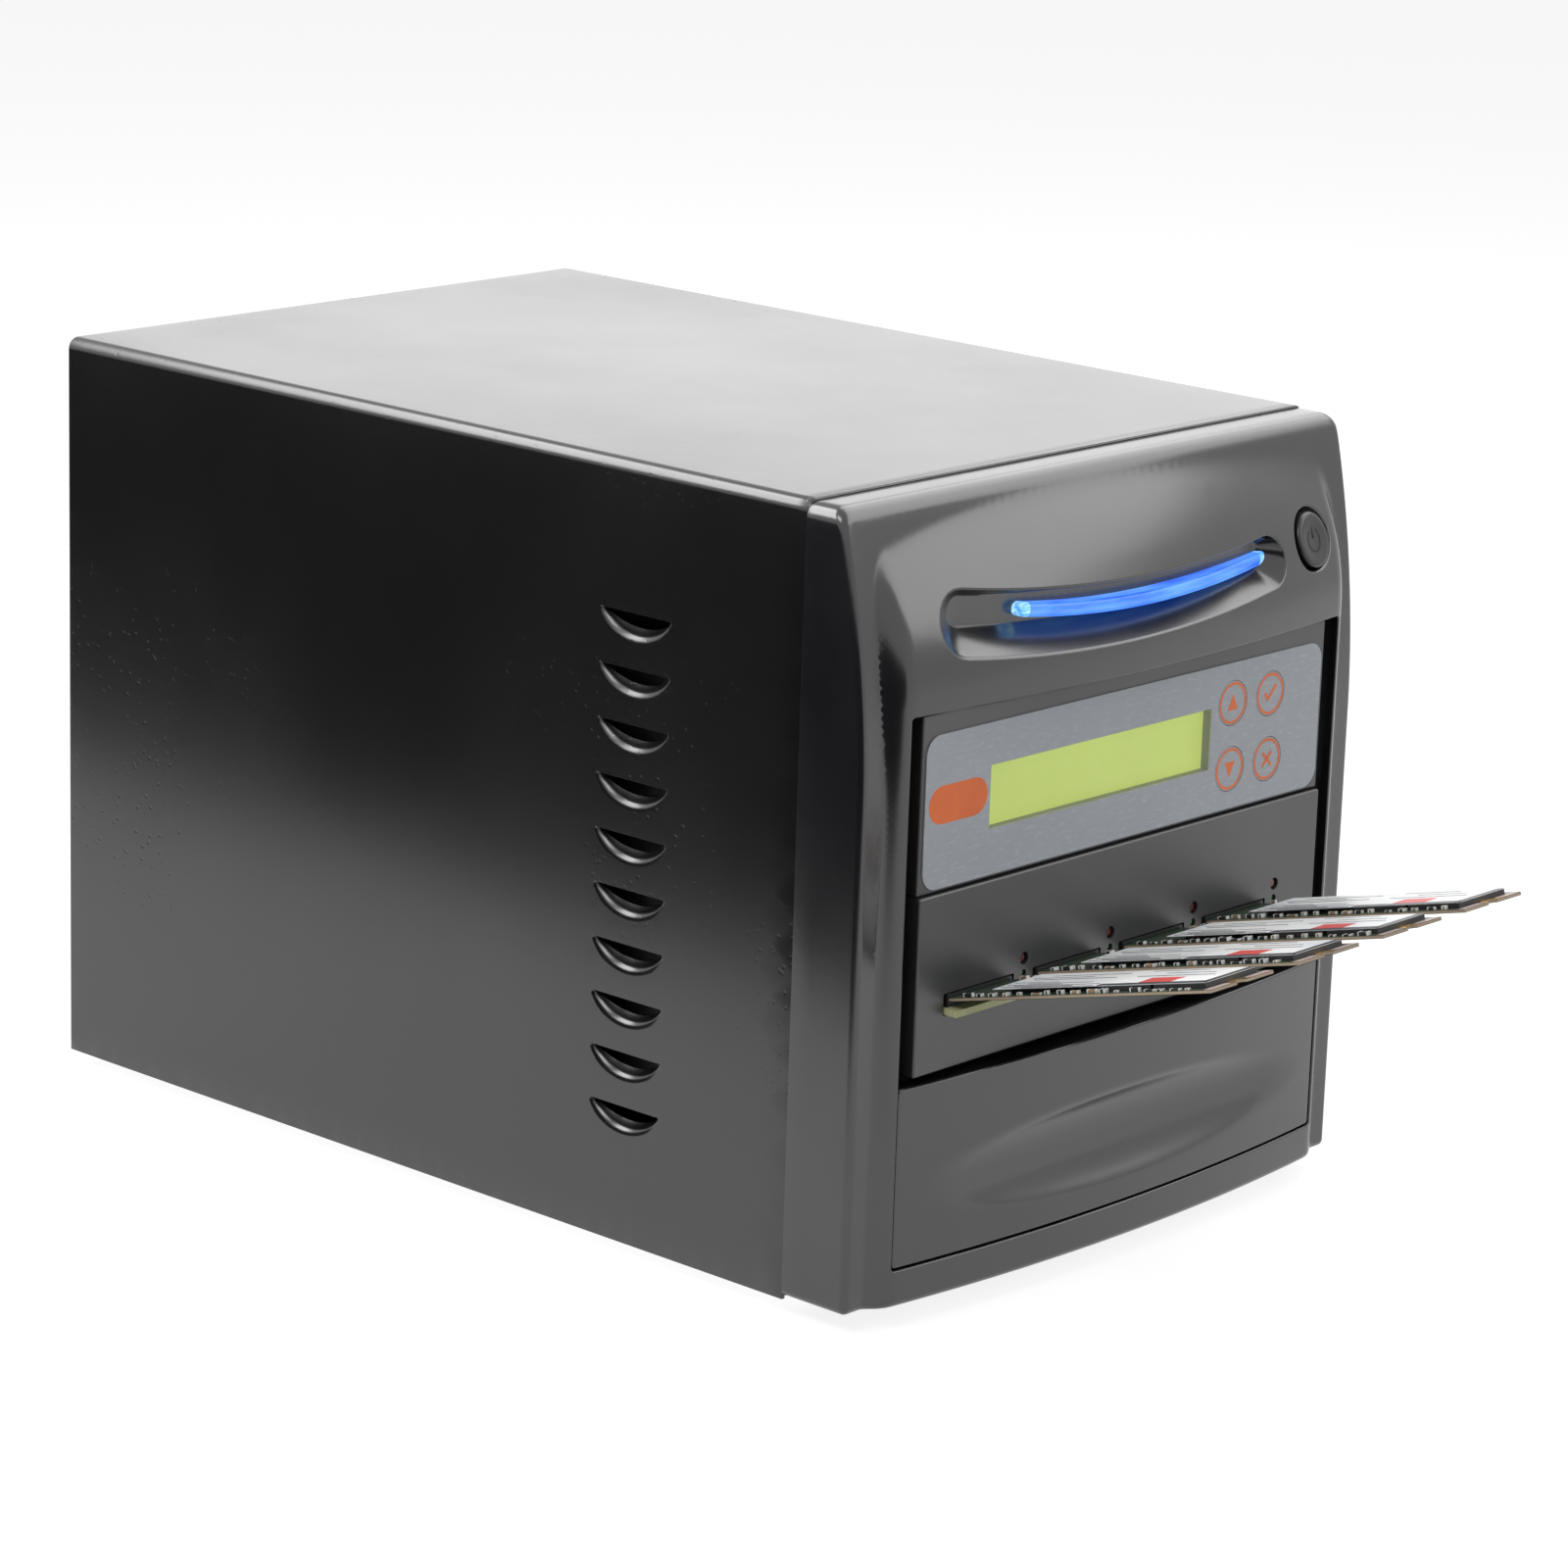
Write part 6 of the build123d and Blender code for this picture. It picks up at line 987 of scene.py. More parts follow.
FINGER_Z = 27.5
FINGER_HALF = 65.0
FINGER_AXIS_OUT = 13.1
BLANK_SINK = 0.3
BLANK_EDGE_R = 0.6
BLANK_CORNER_R = 0.9
BLANK_DEPTH_GAP = 0.2
FINGER_MARGIN = 4
FINGER_REACH = 14
FINGER_SPACING = 0.9
FINGER_SOFTNESS = 0.9


def blank_face(a, b):
    """Bowed face of the blank cover with a finger scoop cut by a long barrel, its rim softened."""
    face = POD_FACE_Y + BLANK_SINK + bow(a)
    end = FINGER_AXIS_OUT + FINGER_HALF**2 / (2 * POD_BOW_R)
    drop = FINGER_AXIS_OUT + size("finger_depth") - end
    barrel_r = (FINGER_HALF**2 + drop**2) / (2 * drop)
    reach = end + np.sqrt(np.clip(barrel_r**2 - a**2, 0, None)) - barrel_r + drop
    barrel = POD_FACE_Y + BLANK_SINK - FINGER_AXIS_OUT + np.sqrt(
        np.clip(reach**2 - (b - FINGER_Z) ** 2, 0, None)
    )
    near = np.clip(FINGER_SOFTNESS - np.abs(face - barrel), 0, None) / FINGER_SOFTNESS
    return np.maximum(face, barrel) + near**2 * FINGER_SOFTNESS / 4


def build_blank():
    """Blank cover: face skin, rolled edge, walls and a closed back."""
    low, high = node_box("blank_cover")
    back = LEDGE_Y - BLANK_DEPTH_GAP
    blank = Surface()
    outline = front_loop(low, high, BLANK_CORNER_R, spacing=EDGE_SPACING)
    fine = lattice(-FINGER_HALF - FINGER_MARGIN, FINGER_HALF + FINGER_MARGIN, FINGER_Z - FINGER_REACH,
                   FINGER_Z + FINGER_REACH, FINGER_SPACING)
    blank.fill([outline.grown(BLANK_CORNER_R - BLANK_EDGE_R)], blank_face, SKIN_SPACING,
               [(fine, FINGER_SPACING)])
    rows = outline.rolled(BLANK_CORNER_R, BLANK_EDGE_R, blank_face, quarter(5))
    rows.append(outline.ring(BLANK_CORNER_R, back))
    blank.grid(rows)
    blank.cap(rows[-1])
    return blank.piece("blank_front", "case", [finish("bezel")], "bezel_plastic", ["blank_cover"], sharp=50)


KEY_XS = (37.8, 52.1)
KEY_ZS = (123.1, 107.1)
KEY_R = 5.4
KEY_GAP = 0.1
KEY_SPOTS = {
    "key_up": (KEY_XS[0], KEY_ZS[0]), "key_enter": (KEY_XS[1], KEY_ZS[0]),
    "key_down": (KEY_XS[0], KEY_ZS[1]), "key_escape": (KEY_XS[1], KEY_ZS[1]),
}
KEY_EDGE = ((0.25, 0.0), (0.08, 0.06), (0.0, 0.2))
KEY_FLANGE = 0.5
KEY_RING = (4.4, 5.05)
PRINT = 0.03
PRINT_DEPTH = 0.1
PLATE_EDGE_R = 0.6
PLATE_CORNER_R = 0.7
PLATE_BACK_Y = -3.0
PLATE_WALL = 1.5
PLATE_SPACING = 9.0
PLATE_RIM_SPACING = 8.0
PLATE_BACK_SPACING = 20.0
INNER_CORNER_R = 0.3
DISPLAY_WALL = 2.0
FILM_CORNER_R = 4.5
WINDOW_CORNER_R = 0.05
WINDOW_GAP = 0.1
GLASS_CORNER_R = 0.3
GLASS_EDGE_R = 0.15
PILL_X = -60.5
PILL_Z = 116.7
PILL_HALF = 10.0
PILL_RISE = 4.4


def plate(name, node, holes, face_y, wall):
    """Faceplate: skin with holes, rolled outer edge, return walls, and a wall round each hole."""
    low, high = node_box(node)
    surface = Surface()
    outline = front_loop(low, high, PLATE_CORNER_R, spacing=PLATE_RIM_SPACING)
    rims = [loop.grown(reach) for loop, reach in holes]
    surface.fill([outline.grown(PLATE_CORNER_R - PLATE_EDGE_R), *rims], face_y, PLATE_SPACING)
    rows = outline.rolled(PLATE_CORNER_R, PLATE_EDGE_R, face_y, quarter(5))
    surface.grid(rows + [outline.ring(PLATE_CORNER_R, PLATE_BACK_Y)])
    inner = front_loop(low, high, INNER_CORNER_R, -PLATE_WALL, spacing=PLATE_RIM_SPACING)
    surface.fill([outline.grown(PLATE_CORNER_R), inner.grown(INNER_CORNER_R)], PLATE_BACK_Y,
                 PLATE_BACK_SPACING)
    surface.grid([inner.ring(INNER_CORNER_R, PLATE_BACK_Y), inner.ring(INNER_CORNER_R, face_y + wall)])
    surface.fill([inner.grown(INNER_CORNER_R), *rims], face_y + wall, PLATE_SPACING)
    for loop, reach in holes:
        surface.grid([loop.ring(reach, face_y), loop.ring(reach, face_y + wall)])
    return surface.piece(name, "case", [finish("plate")], "plate_plastic", [node], sharp=40)


def build_display():
    """Display faceplate, its printed film, window, lit glass and the pill printed beside it."""
    window_low, window_high = node_box("lcd_window")
    window = front_loop(window_low, window_high, WINDOW_CORNER_R, WINDOW_GAP, spacing=6.0, steps=2)
    keys = [(circle_loop(*spot), KEY_R + KEY_GAP) for spot in KEY_SPOTS.values()]
    holes = [(window, WINDOW_CORNER_R), *keys]
    film_low, film_high = node_box("lcd_overlay")
    front, face_y = film_low[1], film_high[1]
    plate("display_plate", "lcd_plate", holes, face_y, DISPLAY_WALL)
    film = Surface()
    outline = front_loop(film_low, film_high, FILM_CORNER_R, spacing=PLATE_SPACING, steps=10)
    edges = [(outline, FILM_CORNER_R), *holes]
    rims = [loop.grown(reach) for loop, reach in edges]
    film.fill(rims, front, PLATE_SPACING)
    for loop, reach in edges:
        film.grid([loop.ring(reach, front), loop.ring(reach, face_y)])
    film.fill(rims, face_y, PLATE_SPACING)
    slab(film, PILL_X - PILL_HALF, PILL_X + PILL_HALF, PILL_Z - PILL_RISE, PILL_Z + PILL_RISE,
         front - PRINT, front + PRINT_DEPTH, radius=PILL_RISE - 0.01, mark=1)
    film.piece("display_film", "case", [finish("film"), finish("print")], "film_grey", ["lcd_overlay"])
    clear = Surface()
    slab(clear, window_low[0], window_high[0], window_low[2], window_high[2], front, face_y,
         WINDOW_CORNER_R)
    clear.piece("display_window", "case", [finish("clear")], "clear_film", ["lcd_window"])
    glass_low, glass_high = node_box("lcd_glass")
    glass = Surface()
    slab(glass, glass_low[0], glass_high[0], glass_low[2], glass_high[2], glass_low[1], glass_high[1],
         GLASS_CORNER_R, GLASS_EDGE_R)
    glass.piece("display_glass", "case", [finish("display")], "display_glow", ["lcd_glass"])


def glyph(surface, spot, corners, front):
    """Flat printed polygon on a key: corners are offsets from the key's middle, in millimetres."""
    corners = np.array(corners, float) + spot
    depths = (front, front + PRINT_DEPTH)
    rings = [np.column_stack([corners, np.full(len(corners), depth)]) for depth in depths]
    surface.grid(rings, True, 1)
    surface.cap(rings[0], 1, turned=True)
    surface.cap(rings[1], 1)


GLYPHS = {
    "key_up": [[(-1.9, -1.7), (1.9, -1.7), (0.0, 2.1)]],
    "key_down": [[(-1.9, 1.7), (0.0, -2.1), (1.9, 1.7)]],
    "key_enter": [[(-2.4, 0.1), (-0.8, -1.9), (2.5, 1.7), (1.9, 2.3), (-0.8, -0.6), (-1.8, 0.7)]],
    "key_escape": [
        [(-2.0, -1.4), (-1.4, -2.0), (2.0, 1.4), (1.4, 2.0)],
        [(-2.0, 1.4), (-0.5, -0.1), (0.1, 0.5), (-1.4, 2.0)],
        [(0.1, -0.5), (1.4, -2.0), (2.0, -1.4), (0.5, 0.1)],
    ],
}


def build_keys():
    """Round keys: film-coloured pads with a printed ring and a sign for up, down, accept or leave."""
    for name, spot in KEY_SPOTS.items():
        low, high = node_box(name)
        key = Surface()
        front = low[1]
        flange, flange_y = high[0] - spot[0], high[1] - KEY_FLANGE
        edge = [(KEY_R - short, front + behind) for short, behind in KEY_EDGE]
        key.prism(circle_loop(*spot), [(0.05, front), *edge, (KEY_R, flange_y), (flange, flange_y),
                                       (flange, high[1])])
        annulus(key, *spot, *KEY_RING, front - PRINT, front + PRINT_DEPTH, mark=1)
        for corners in GLYPHS[name]:
            glyph(key, spot, corners, front - PRINT)
        key.piece(f"{name}_pad", name, [finish("film"), finish("print")], "key_grey", [name])


# Slot panel and drives

DRIVE_XS = [-51.5 + 31.0 * i for i in range(4)]
SLOT_HALF = 12.2
SLOT_LOW = 67.4
SLOT_HIGH = 72.6
LAMP_OFFSET = 15.5
RED_LAMP_Z = 75.5
GREEN_LAMP_Z = 71.9
DRIVE_TILT = math.radians(14.5)
DRIVE_SEAT_Y = -19.5
DRIVE_SEAT_Z = 70.0
DRIVE_LENGTH = 80.0
DRIVE_HALF = 11.0
DRIVE_BOARD = 0.8
TONGUE_LENGTH = 4.6
TONGUE_HALF = 9.925
NOTCH_R = 1.75
CONTACT_COUNT = 30
CONTACT_PITCH = 0.62
CONTACT_WIDTH = 0.38
FIRST_CONTACT = -9.2
CONTACT_SPAN = (-3.2, -0.2)
KEY_NOTCH = (5.0, 7.2)
GOLD = 0.03
RING_IN = 1.78
RING_OUT = 3.0
BAND_LEFTS = (-10.9, 3.3)
BAND_WIDTH = 7.6
BAND_SPAN = (-79.95, -78.0)
CHIP_HEIGHT = 1.2
CHIP_CORNER_R = 0.2
CHIP_EDGE_R = 0.12
CHIPS = ((62.5, 14.6, 8.9), (47.0, 14.6, 8.9), (20.0, 14.0, 7.0), (35.5, 9.5, 6.0))
LABEL_START = 15.6
LABEL_END = 77.3
LABEL_HALF = 8.7
LABEL_DEPTH = 0.1
LABEL_CORNER_R = 0.6
LABEL_PRINT = (0.14, 0.09)
SMALL_FIRST = 8.2
SMALL_PITCH = 4.05
SMALL_COUNT = 17
SMALL_LENGTHS = (1.0, 1.6, 0.6, 2.2)
SMALL_HALVES = (0.5, 0.8, 0.35)
SMALL_HEIGHTS = (0.35, 0.6, 0.8)
SMALL_CORNER_R = 0.03
SMALL_END = 0.4
SMALL_RISE = 0.03
CERAMIC_SHARE = 0.45
SMALL_SEED = 40
SLOT_CORNER_R = 0.4
RED_LAMP_R = 1.5
GREEN_LAMP_R = 0.95
SMALL_COLUMN = -9.9
LABEL_BLOCKS = (
    (-8.65, -6.5, 46.0, 77.25, 3),
    (-8.65, 8.65, 75.4, 77.25, 3),
    (-6.3, -1.0, 47.6, 55.6, 1),
    (-6.3, -1.0, 56.2, 65.4, 2),
    (-6.3, -1.0, 65.9, 74.6, 1),
    (-8.5, -8.0, 24.0, 45.0, 3),
    (-7.4, -6.9, 17.0, 38.0, 3),
    (-6.2, -5.8, 20.0, 45.0, 3),
    (-5.0, -4.5, 17.0, 33.0, 3),
    (-3.6, -3.3, 22.0, 41.0, 3),
    (-2.2, -1.9, 17.0, 30.0, 3),
    (1.0, 1.4, 20.0, 44.0, 3),
    (3.0, 3.3, 18.0, 36.0, 3),
    (5.2, 5.5, 22.0, 45.0, 3),
    (1.0, 1.4, 50.0, 72.0, 3),
    (4.0, 4.3, 56.0, 70.0, 3),
    (7.0, 7.3, 50.0, 66.0, 3),
)


def build_slot_panel():
    """Slot panel with four slots and the holes of its lamps."""
    low = node_box("slot_panel")[0]
    holes = [
        (box_loop(x - SLOT_HALF, x + SLOT_HALF, SLOT_LOW, SLOT_HIGH, SLOT_CORNER_R, spacing=6.0, steps=4),
         SLOT_CORNER_R) for x in DRIVE_XS
    ]
    holes += [(circle_loop(x + LAMP_OFFSET, RED_LAMP_Z, 24), RED_LAMP_R) for x in DRIVE_XS]
    holes += [(circle_loop(x + LAMP_OFFSET, GREEN_LAMP_Z, 20), GREEN_LAMP_R) for x in DRIVE_XS]
    plate("slot_plate", "slot_panel", holes, low[1], PLATE_WALL)


def drive_surface(x):
    """Surface whose flat lies along one drive: across, towards its seat, and down through its board."""
    across = (1, 0, 0)
    inward = (0, math.cos(DRIVE_TILT), -math.sin(DRIVE_TILT))
    up = (0, math.sin(DRIVE_TILT), math.cos(DRIVE_TILT))
    return Surface((x, DRIVE_SEAT_Y, DRIVE_SEAT_Z), across, inward, tuple(-c for c in up))


def build_card(body, x):
    """Board of a drive: tongue, contacts on both faces, and a half-round notch with its gold rim."""
    top = -DRIVE_BOARD / 2
    base = drive_surface(x)
    notch = [
        (-NOTCH_R * math.cos(t), NOTCH_R * math.sin(t) - DRIVE_LENGTH) for t in np.linspace(0, math.pi, 14)
    ]
    outline = np.array(
        [(-TONGUE_HALF, 0), (-TONGUE_HALF, -TONGUE_LENGTH), (-DRIVE_HALF, -TONGUE_LENGTH),
         (-DRIVE_HALF, -DRIVE_LENGTH), *notch, (DRIVE_HALF, -DRIVE_LENGTH),
         (DRIVE_HALF, -TONGUE_LENGTH), (TONGUE_HALF, -TONGUE_LENGTH), (TONGUE_HALF, 0)], float)
    layers = [top, top + 0.1, -top - 0.1, -top]
    rings = [np.column_stack([outline, np.full(len(outline), depth)]) for depth in layers]
    for level, mark in enumerate((0, 1, 0)):
        base.grid(rings[level:level + 2], True, mark)
    base.cap(rings[0], 0, turned=True)
    base.cap(rings[-1], 0)
    for near, far in ((top - GOLD, top), (-top, GOLD - top)):
        for left in FIRST_CONTACT + CONTACT_PITCH * np.arange(CONTACT_COUNT):
            if not KEY_NOTCH[0] < left < KEY_NOTCH[1]:
                slab(base, left, left + CONTACT_WIDTH, *CONTACT_SPAN, near, far, mark=2)
    circle = circle_loop(0, -DRIVE_LENGTH, 28)
    half = Loop(circle.base[:15], circle.normal[:15])
    ring = ((RING_IN, top), (RING_IN, top - GOLD), (RING_OUT, top - GOLD), (RING_OUT, top))
    base.grid([half.ring(*row) for row in ring], False, 2)
    for left in BAND_LEFTS:
        slab(base, left, left + BAND_WIDTH, *BAND_SPAN, top - GOLD, top, mark=3)
    finishes = [finish(name) for name in ("dark_board", "board_core", "gold", "rim_laminate")]
    base.piece(f"{body}_card", body, finishes, "drive_green", [f"{body}_board"], sharp=30)


def build_parts(body, x, seed):
    """Chips of a drive, and small parts with soldered ends in a column along both edges."""
    top = -DRIVE_BOARD / 2
    chips = drive_surface(x)
    for start, length, half in CHIPS:
        slab(chips, -half, half, -start - length, -start, top - CHIP_HEIGHT, top, CHIP_CORNER_R,
             edge=CHIP_EDGE_R)
    rng = np.random.default_rng(seed)
    for column in (SMALL_COLUMN, -SMALL_COLUMN):
        for i in range(SMALL_COUNT):
            along = SMALL_FIRST + i * SMALL_PITCH + rng.uniform(-0.5, 0.5)
            length = SMALL_LENGTHS[rng.integers(0, 4)]
            half = SMALL_HALVES[rng.integers(0, 3)]
            height = SMALL_HEIGHTS[rng.integers(0, 3)]
            kind = 2 if rng.uniform() < CERAMIC_SHARE else 0
            left, right = column - half, column + half
            slab(chips, left, right, -along - length, -along, top - height, top, SMALL_CORNER_R, mark=kind)
            for end in (-along - length - 0.3, -along - 0.1):
                slab(chips, left, right, end, end + SMALL_END, top - height - SMALL_RISE, top,
                     SMALL_CORNER_R, mark=1)
    finishes = [finish(name) for name in ("chip", "tinned", "ceramic")]
    chips.piece(f"{body}_parts", body, finishes, "chip_black", [f"{body}_chips"], sharp=30)


def build_label(body, x):
    """Label over a drive's chips, with printed bars and blocks."""
    label = drive_surface(x)
    top = -DRIVE_BOARD / 2 - CHIP_HEIGHT
    slab(label, -LABEL_HALF, LABEL_HALF, -LABEL_END, -LABEL_START, top - LABEL_DEPTH, top, LABEL_CORNER_R)
    near, far = (top - depth for depth in LABEL_PRINT)
    for left, right, start, end, mark in LABEL_BLOCKS:
        slab(label, left, right, -end, -start, near, far, 0.1, mark=mark)
    finishes = [finish(name) for name in ("label", "label_white", "label_red", "label_dark")]
    label.piece(f"{body}_sticker", body, finishes, "label_silver", [f"{body}_label"], sharp=30)


def build_drives():
    """All four drives, each on its own body."""
    for index, x in enumerate(DRIVE_XS, 1):
        body = f"drive_{index}"
        build_card(body, x)
        build_parts(body, x, SMALL_SEED + index)
        build_label(body, x)


CARRIED = {
    "chassis_tray": "zinc", "front_frame": "zinc", "drive_cage_left": "zinc", "drive_cage_right": "zinc",
    "cage_top": "zinc", "controller_tray": "zinc", "slot_tray": "zinc", "supply_case": "zinc",
    "rear_panel": "coat", "lamp_board": "green_board", "power_switch": "black", "button_spring": "nickel",
    "lcd_frame": "black", "lcd_board": "green_board", "keypad_board": "green_board",
    "controller_board": "green_board", "board_standoffs": "brass", "adapter_boards": "pale_board",
    "drive_sockets": "black", "lamp_holders": "black", "red_lamps": "red", "green_lamps": "green",
    "feet": "rubber", "foot_screws": "nickel", "bay_screws": "nickel", "rear_screws": "black_steel",
    "supply_board": "green_board", "mains_inlet": "black", "inlet_pins": "nickel",
    "rocker_housing": "black", "power_rocker": "button", "fan_frame": "black", "fan_rotor": "black",
    "fan_guard": "nickel",
}


def dress_carried():
    """Gives each CAD node that stays its own finish."""
    for node, name in CARRIED.items():
        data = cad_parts[node].data
        data.materials.clear()
        data.materials.append(finish(name))


# Stage

FLOOR_REACH = 4000.0
FILL_LEVEL = 0.22
FLAG_X = -265.0
FLAG_LOW = 5.0
FLAG_HIGH = 175.0
FLAG_HALF = 1000.0
FLOOR_GREY = 0.3
FLOOR_GLOW = 0.85
FLOOR_BOUNCE = 0.5

# Lamps: name, place and aim in metres of the row, width, height, radiance, roll in degrees
LAMPS = (
    ("key_box", (0.81, -0.95, 1.03), (0.0, -0.02, 0.165), 1.35, 0.95, 2.25, 41.0),
    ("side_box", (0.79, 0.12, 1.05), (0.0, -0.02, 0.165), 0.9, 0.9, 2.4, 0.0),
    ("back_box", (0.95, 0.75, 0.5), (-0.08, 0.0, 0.19), 0.9, 0.55, 1.0, 0.0),
    ("upper_box", (-0.5, 0.69, 0.85), (-0.09, -0.02, 0.1), 1.0, 0.45, 7.0, -41.0),
    ("left_box", (-0.72, -0.1, 0.95), (-0.09, -0.02, 0.1), 0.6, 0.45, 5.0, 0.0),
)


def row_point(point):
    """Case millimetres to row metres."""
    return Vector(((np.array(point, float) + CASE_ORIGIN) * MM).tolist())


def build_camera():
    """Camera at the photograph's place: azimuth and elevation about the target, and a slight roll."""
    scene = bpy.context.scene
    turn, rise, roll = (math.radians(v) for v in (CAMERA_AZIMUTH, CAMERA_ELEVATION, CAMERA_ROLL))
    forward = Vector((-math.sin(turn) * math.cos(rise), math.cos(turn) * math.cos(rise), -math.sin(rise)))
    level_right = forward.cross(Vector((0, 0, 1))).normalized()
    level_up = level_right.cross(forward)
    right = level_right * math.cos(roll) - level_up * math.sin(roll)
    up = level_up * math.cos(roll) + level_right * math.sin(roll)
    data = bpy.data.cameras.new("photo_camera")
    data.lens = LENS
    data.sensor_width = SENSOR
    data.clip_end = 50.0
    camera = bpy.data.objects.new("photo_camera", data)
    place = row_point(CAMERA_TARGET) - forward * CAMERA_DISTANCE * MM
    camera.matrix_world = Matrix((
        (right.x, up.x, -forward.x, place.x), (right.y, up.y, -forward.y, place.y),
        (right.z, up.z, -forward.z, place.z), (0, 0, 0, 1),
    ))
    scene.collection.objects.link(camera)
    scene.camera = camera


def soft_box(name, place, aim, width, height, radiance, roll):
    """Rectangular lamp of one radiance, aimed at a point; its power is radiance times area times pi."""
    data = bpy.data.lights.new(name, "AREA")
    data.shape = "RECTANGLE"
    data.size, data.size_y = width, height
    data.energy = radiance * width * height * math.pi
    lamp = bpy.data.objects.new(name, data)
    lamp.location = place
    aimed = (Vector(aim) - Vector(place)).to_track_quat("-Z", "Y")
    lamp.rotation_euler = (aimed @ Quaternion((0, 0, 1), math.radians(roll))).to_euler()
    lamp.visible_camera = False
    bpy.context.scene.collection.objects.link(lamp)


def seen_share(tree):
    """1 for rays from the camera, a gloss or clear plastic, which all see the same background, else 0."""
    path = tree.nodes.new("ShaderNodeLightPath")
    share = path.outputs["Is Camera Ray"]
    for kind in ("Is Glossy Ray", "Is Transmission Ray"):
        both = tree.nodes.new("ShaderNodeMath")
        both.operation = "MAXIMUM"
        tree.links.new(share, both.inputs[0])
        tree.links.new(path.outputs[kind], both.inputs[1])
        share = both.outputs[0]
    return share


def build_world():
    """Pale surroundings: white where they are seen or mirrored, and a soft fill for the rest."""
    world = bpy.data.worlds.new("studio")
    world.use_nodes = True
    bpy.context.scene.world = world
    tree = world.node_tree
    shader = tree.nodes["Background"]
    strength = remap(tree, seen_share(tree), 0.0, 1.0, FILL_LEVEL, 1.0)
    tree.links.new(strength, shader.inputs["Strength"])
    shader.inputs["Color"].default_value = (1, 1, 1, 1)


def staged(surface, name, material):
    """Makes a mesh of the stage, which isn't part of the object."""
    mesh = bpy.data.meshes.new(name)
    mesh.from_pydata(((np.concatenate(surface.points) + CASE_ORIGIN) * MM).tolist(), [], surface.faces)
    mesh.materials.append(material)
    obj = bpy.data.objects.new(name, mesh)
    bpy.context.scene.collection.objects.link(obj)
    return obj


def build_floor():
    """Pale floor that keeps the soft shadow of the object."""
    lines = np.linspace(-FLOOR_REACH, FLOOR_REACH, 9)
    grid_a, grid_b = np.meshgrid(lines, lines)
    floor = Surface((0, 0, -CASE_ORIGIN[2]), (1, 0, 0), (0, 1, 0), (0, 0, 1))
    floor.grid(np.stack([grid_a, grid_b, np.zeros(grid_a.shape)], -1), False)
    material = bpy.data.materials.new("pale_floor")
    material.use_nodes = True
    tree = material.node_tree
    tree.nodes.clear()
    out = tree.nodes.new("ShaderNodeOutputMaterial")
    shadowed = tree.nodes.new("ShaderNodeBsdfDiffuse")
    shadowed.inputs["Color"].default_value = (FLOOR_GREY, FLOOR_GREY, FLOOR_GREY, 1)
    glow = tree.nodes.new("ShaderNodeEmission")
    glow.inputs["Strength"].default_value = FLOOR_GLOW
    total = tree.nodes.new("ShaderNodeAddShader")
    tree.links.new(shadowed.outputs[0], total.inputs[0])
    tree.links.new(glow.outputs[0], total.inputs[1])
    bounce = tree.nodes.new("ShaderNodeBsdfDiffuse")
    bounce.inputs["Color"].default_value = (FLOOR_BOUNCE, FLOOR_BOUNCE, FLOOR_BOUNCE, 1)
    choose = tree.nodes.new("ShaderNodeMixShader")
    tree.links.new(seen_share(tree), choose.inputs[0])
    tree.links.new(bounce.outputs[0], choose.inputs[1])
    tree.links.new(total.outputs[0], choose.inputs[2])
    tree.links.new(choose.outputs[0], out.inputs["Surface"])
    staged(floor, "floor", material)


def build_flag():
    """Black card on the left, as a photographer sets it: only the gloss of the side wall sees it."""
    card = Surface((FLAG_X, 0, 0), (0, 1, 0), (0, 0, 1), (1, 0, 0))
    along = spans(-FLAG_HALF, FLAG_HALF, 200.0)
    rise = spans(FLAG_LOW, FLAG_HIGH, 200.0)
    grid_a, grid_b = np.meshgrid(along, rise)
    card.grid(np.stack([grid_a, grid_b, np.zeros(grid_a.shape)], -1), False)
    material = bpy.data.materials.new("black_flag")
    material.use_nodes = True
    shader = material.node_tree.nodes["Principled BSDF"]
    shader.inputs["Base Color"].default_value = (0.01, 0.01, 0.01, 1)
    shader.inputs["Roughness"].default_value = 1.0
    shader.inputs["Specular IOR Level"].default_value = 0.0
    obj = staged(card, "left_flag", material)
    for kind in ("visible_camera", "visible_diffuse", "visible_transmission", "visible_shadow"):
        setattr(obj, kind, False)


def build_lamps():
    """Soft box in front on the right, whose slanted edge shows on the pod, and four smaller ones.

    One is high on the right for the scoops, one behind for the sheen of the top, and two on the
    left, one of them further back, for the folds and the lips of the louvres.
    """
    for lamp in LAMPS:
        soft_box(*lamp)


# Add-on


def length_property(name, description, default, low, high):
    """Length that a user can change, in metres."""
    return bpy.props.FloatProperty(name=name, description=description, default=default, min=low, max=high,
                                   unit="LENGTH", subtype="DISTANCE")


def tone_property(name, description, default):
    """Colour that a user can change."""
    return bpy.props.FloatVectorProperty(name=name, description=description, default=default, min=0, max=1,
                                         subtype="COLOR", size=3)


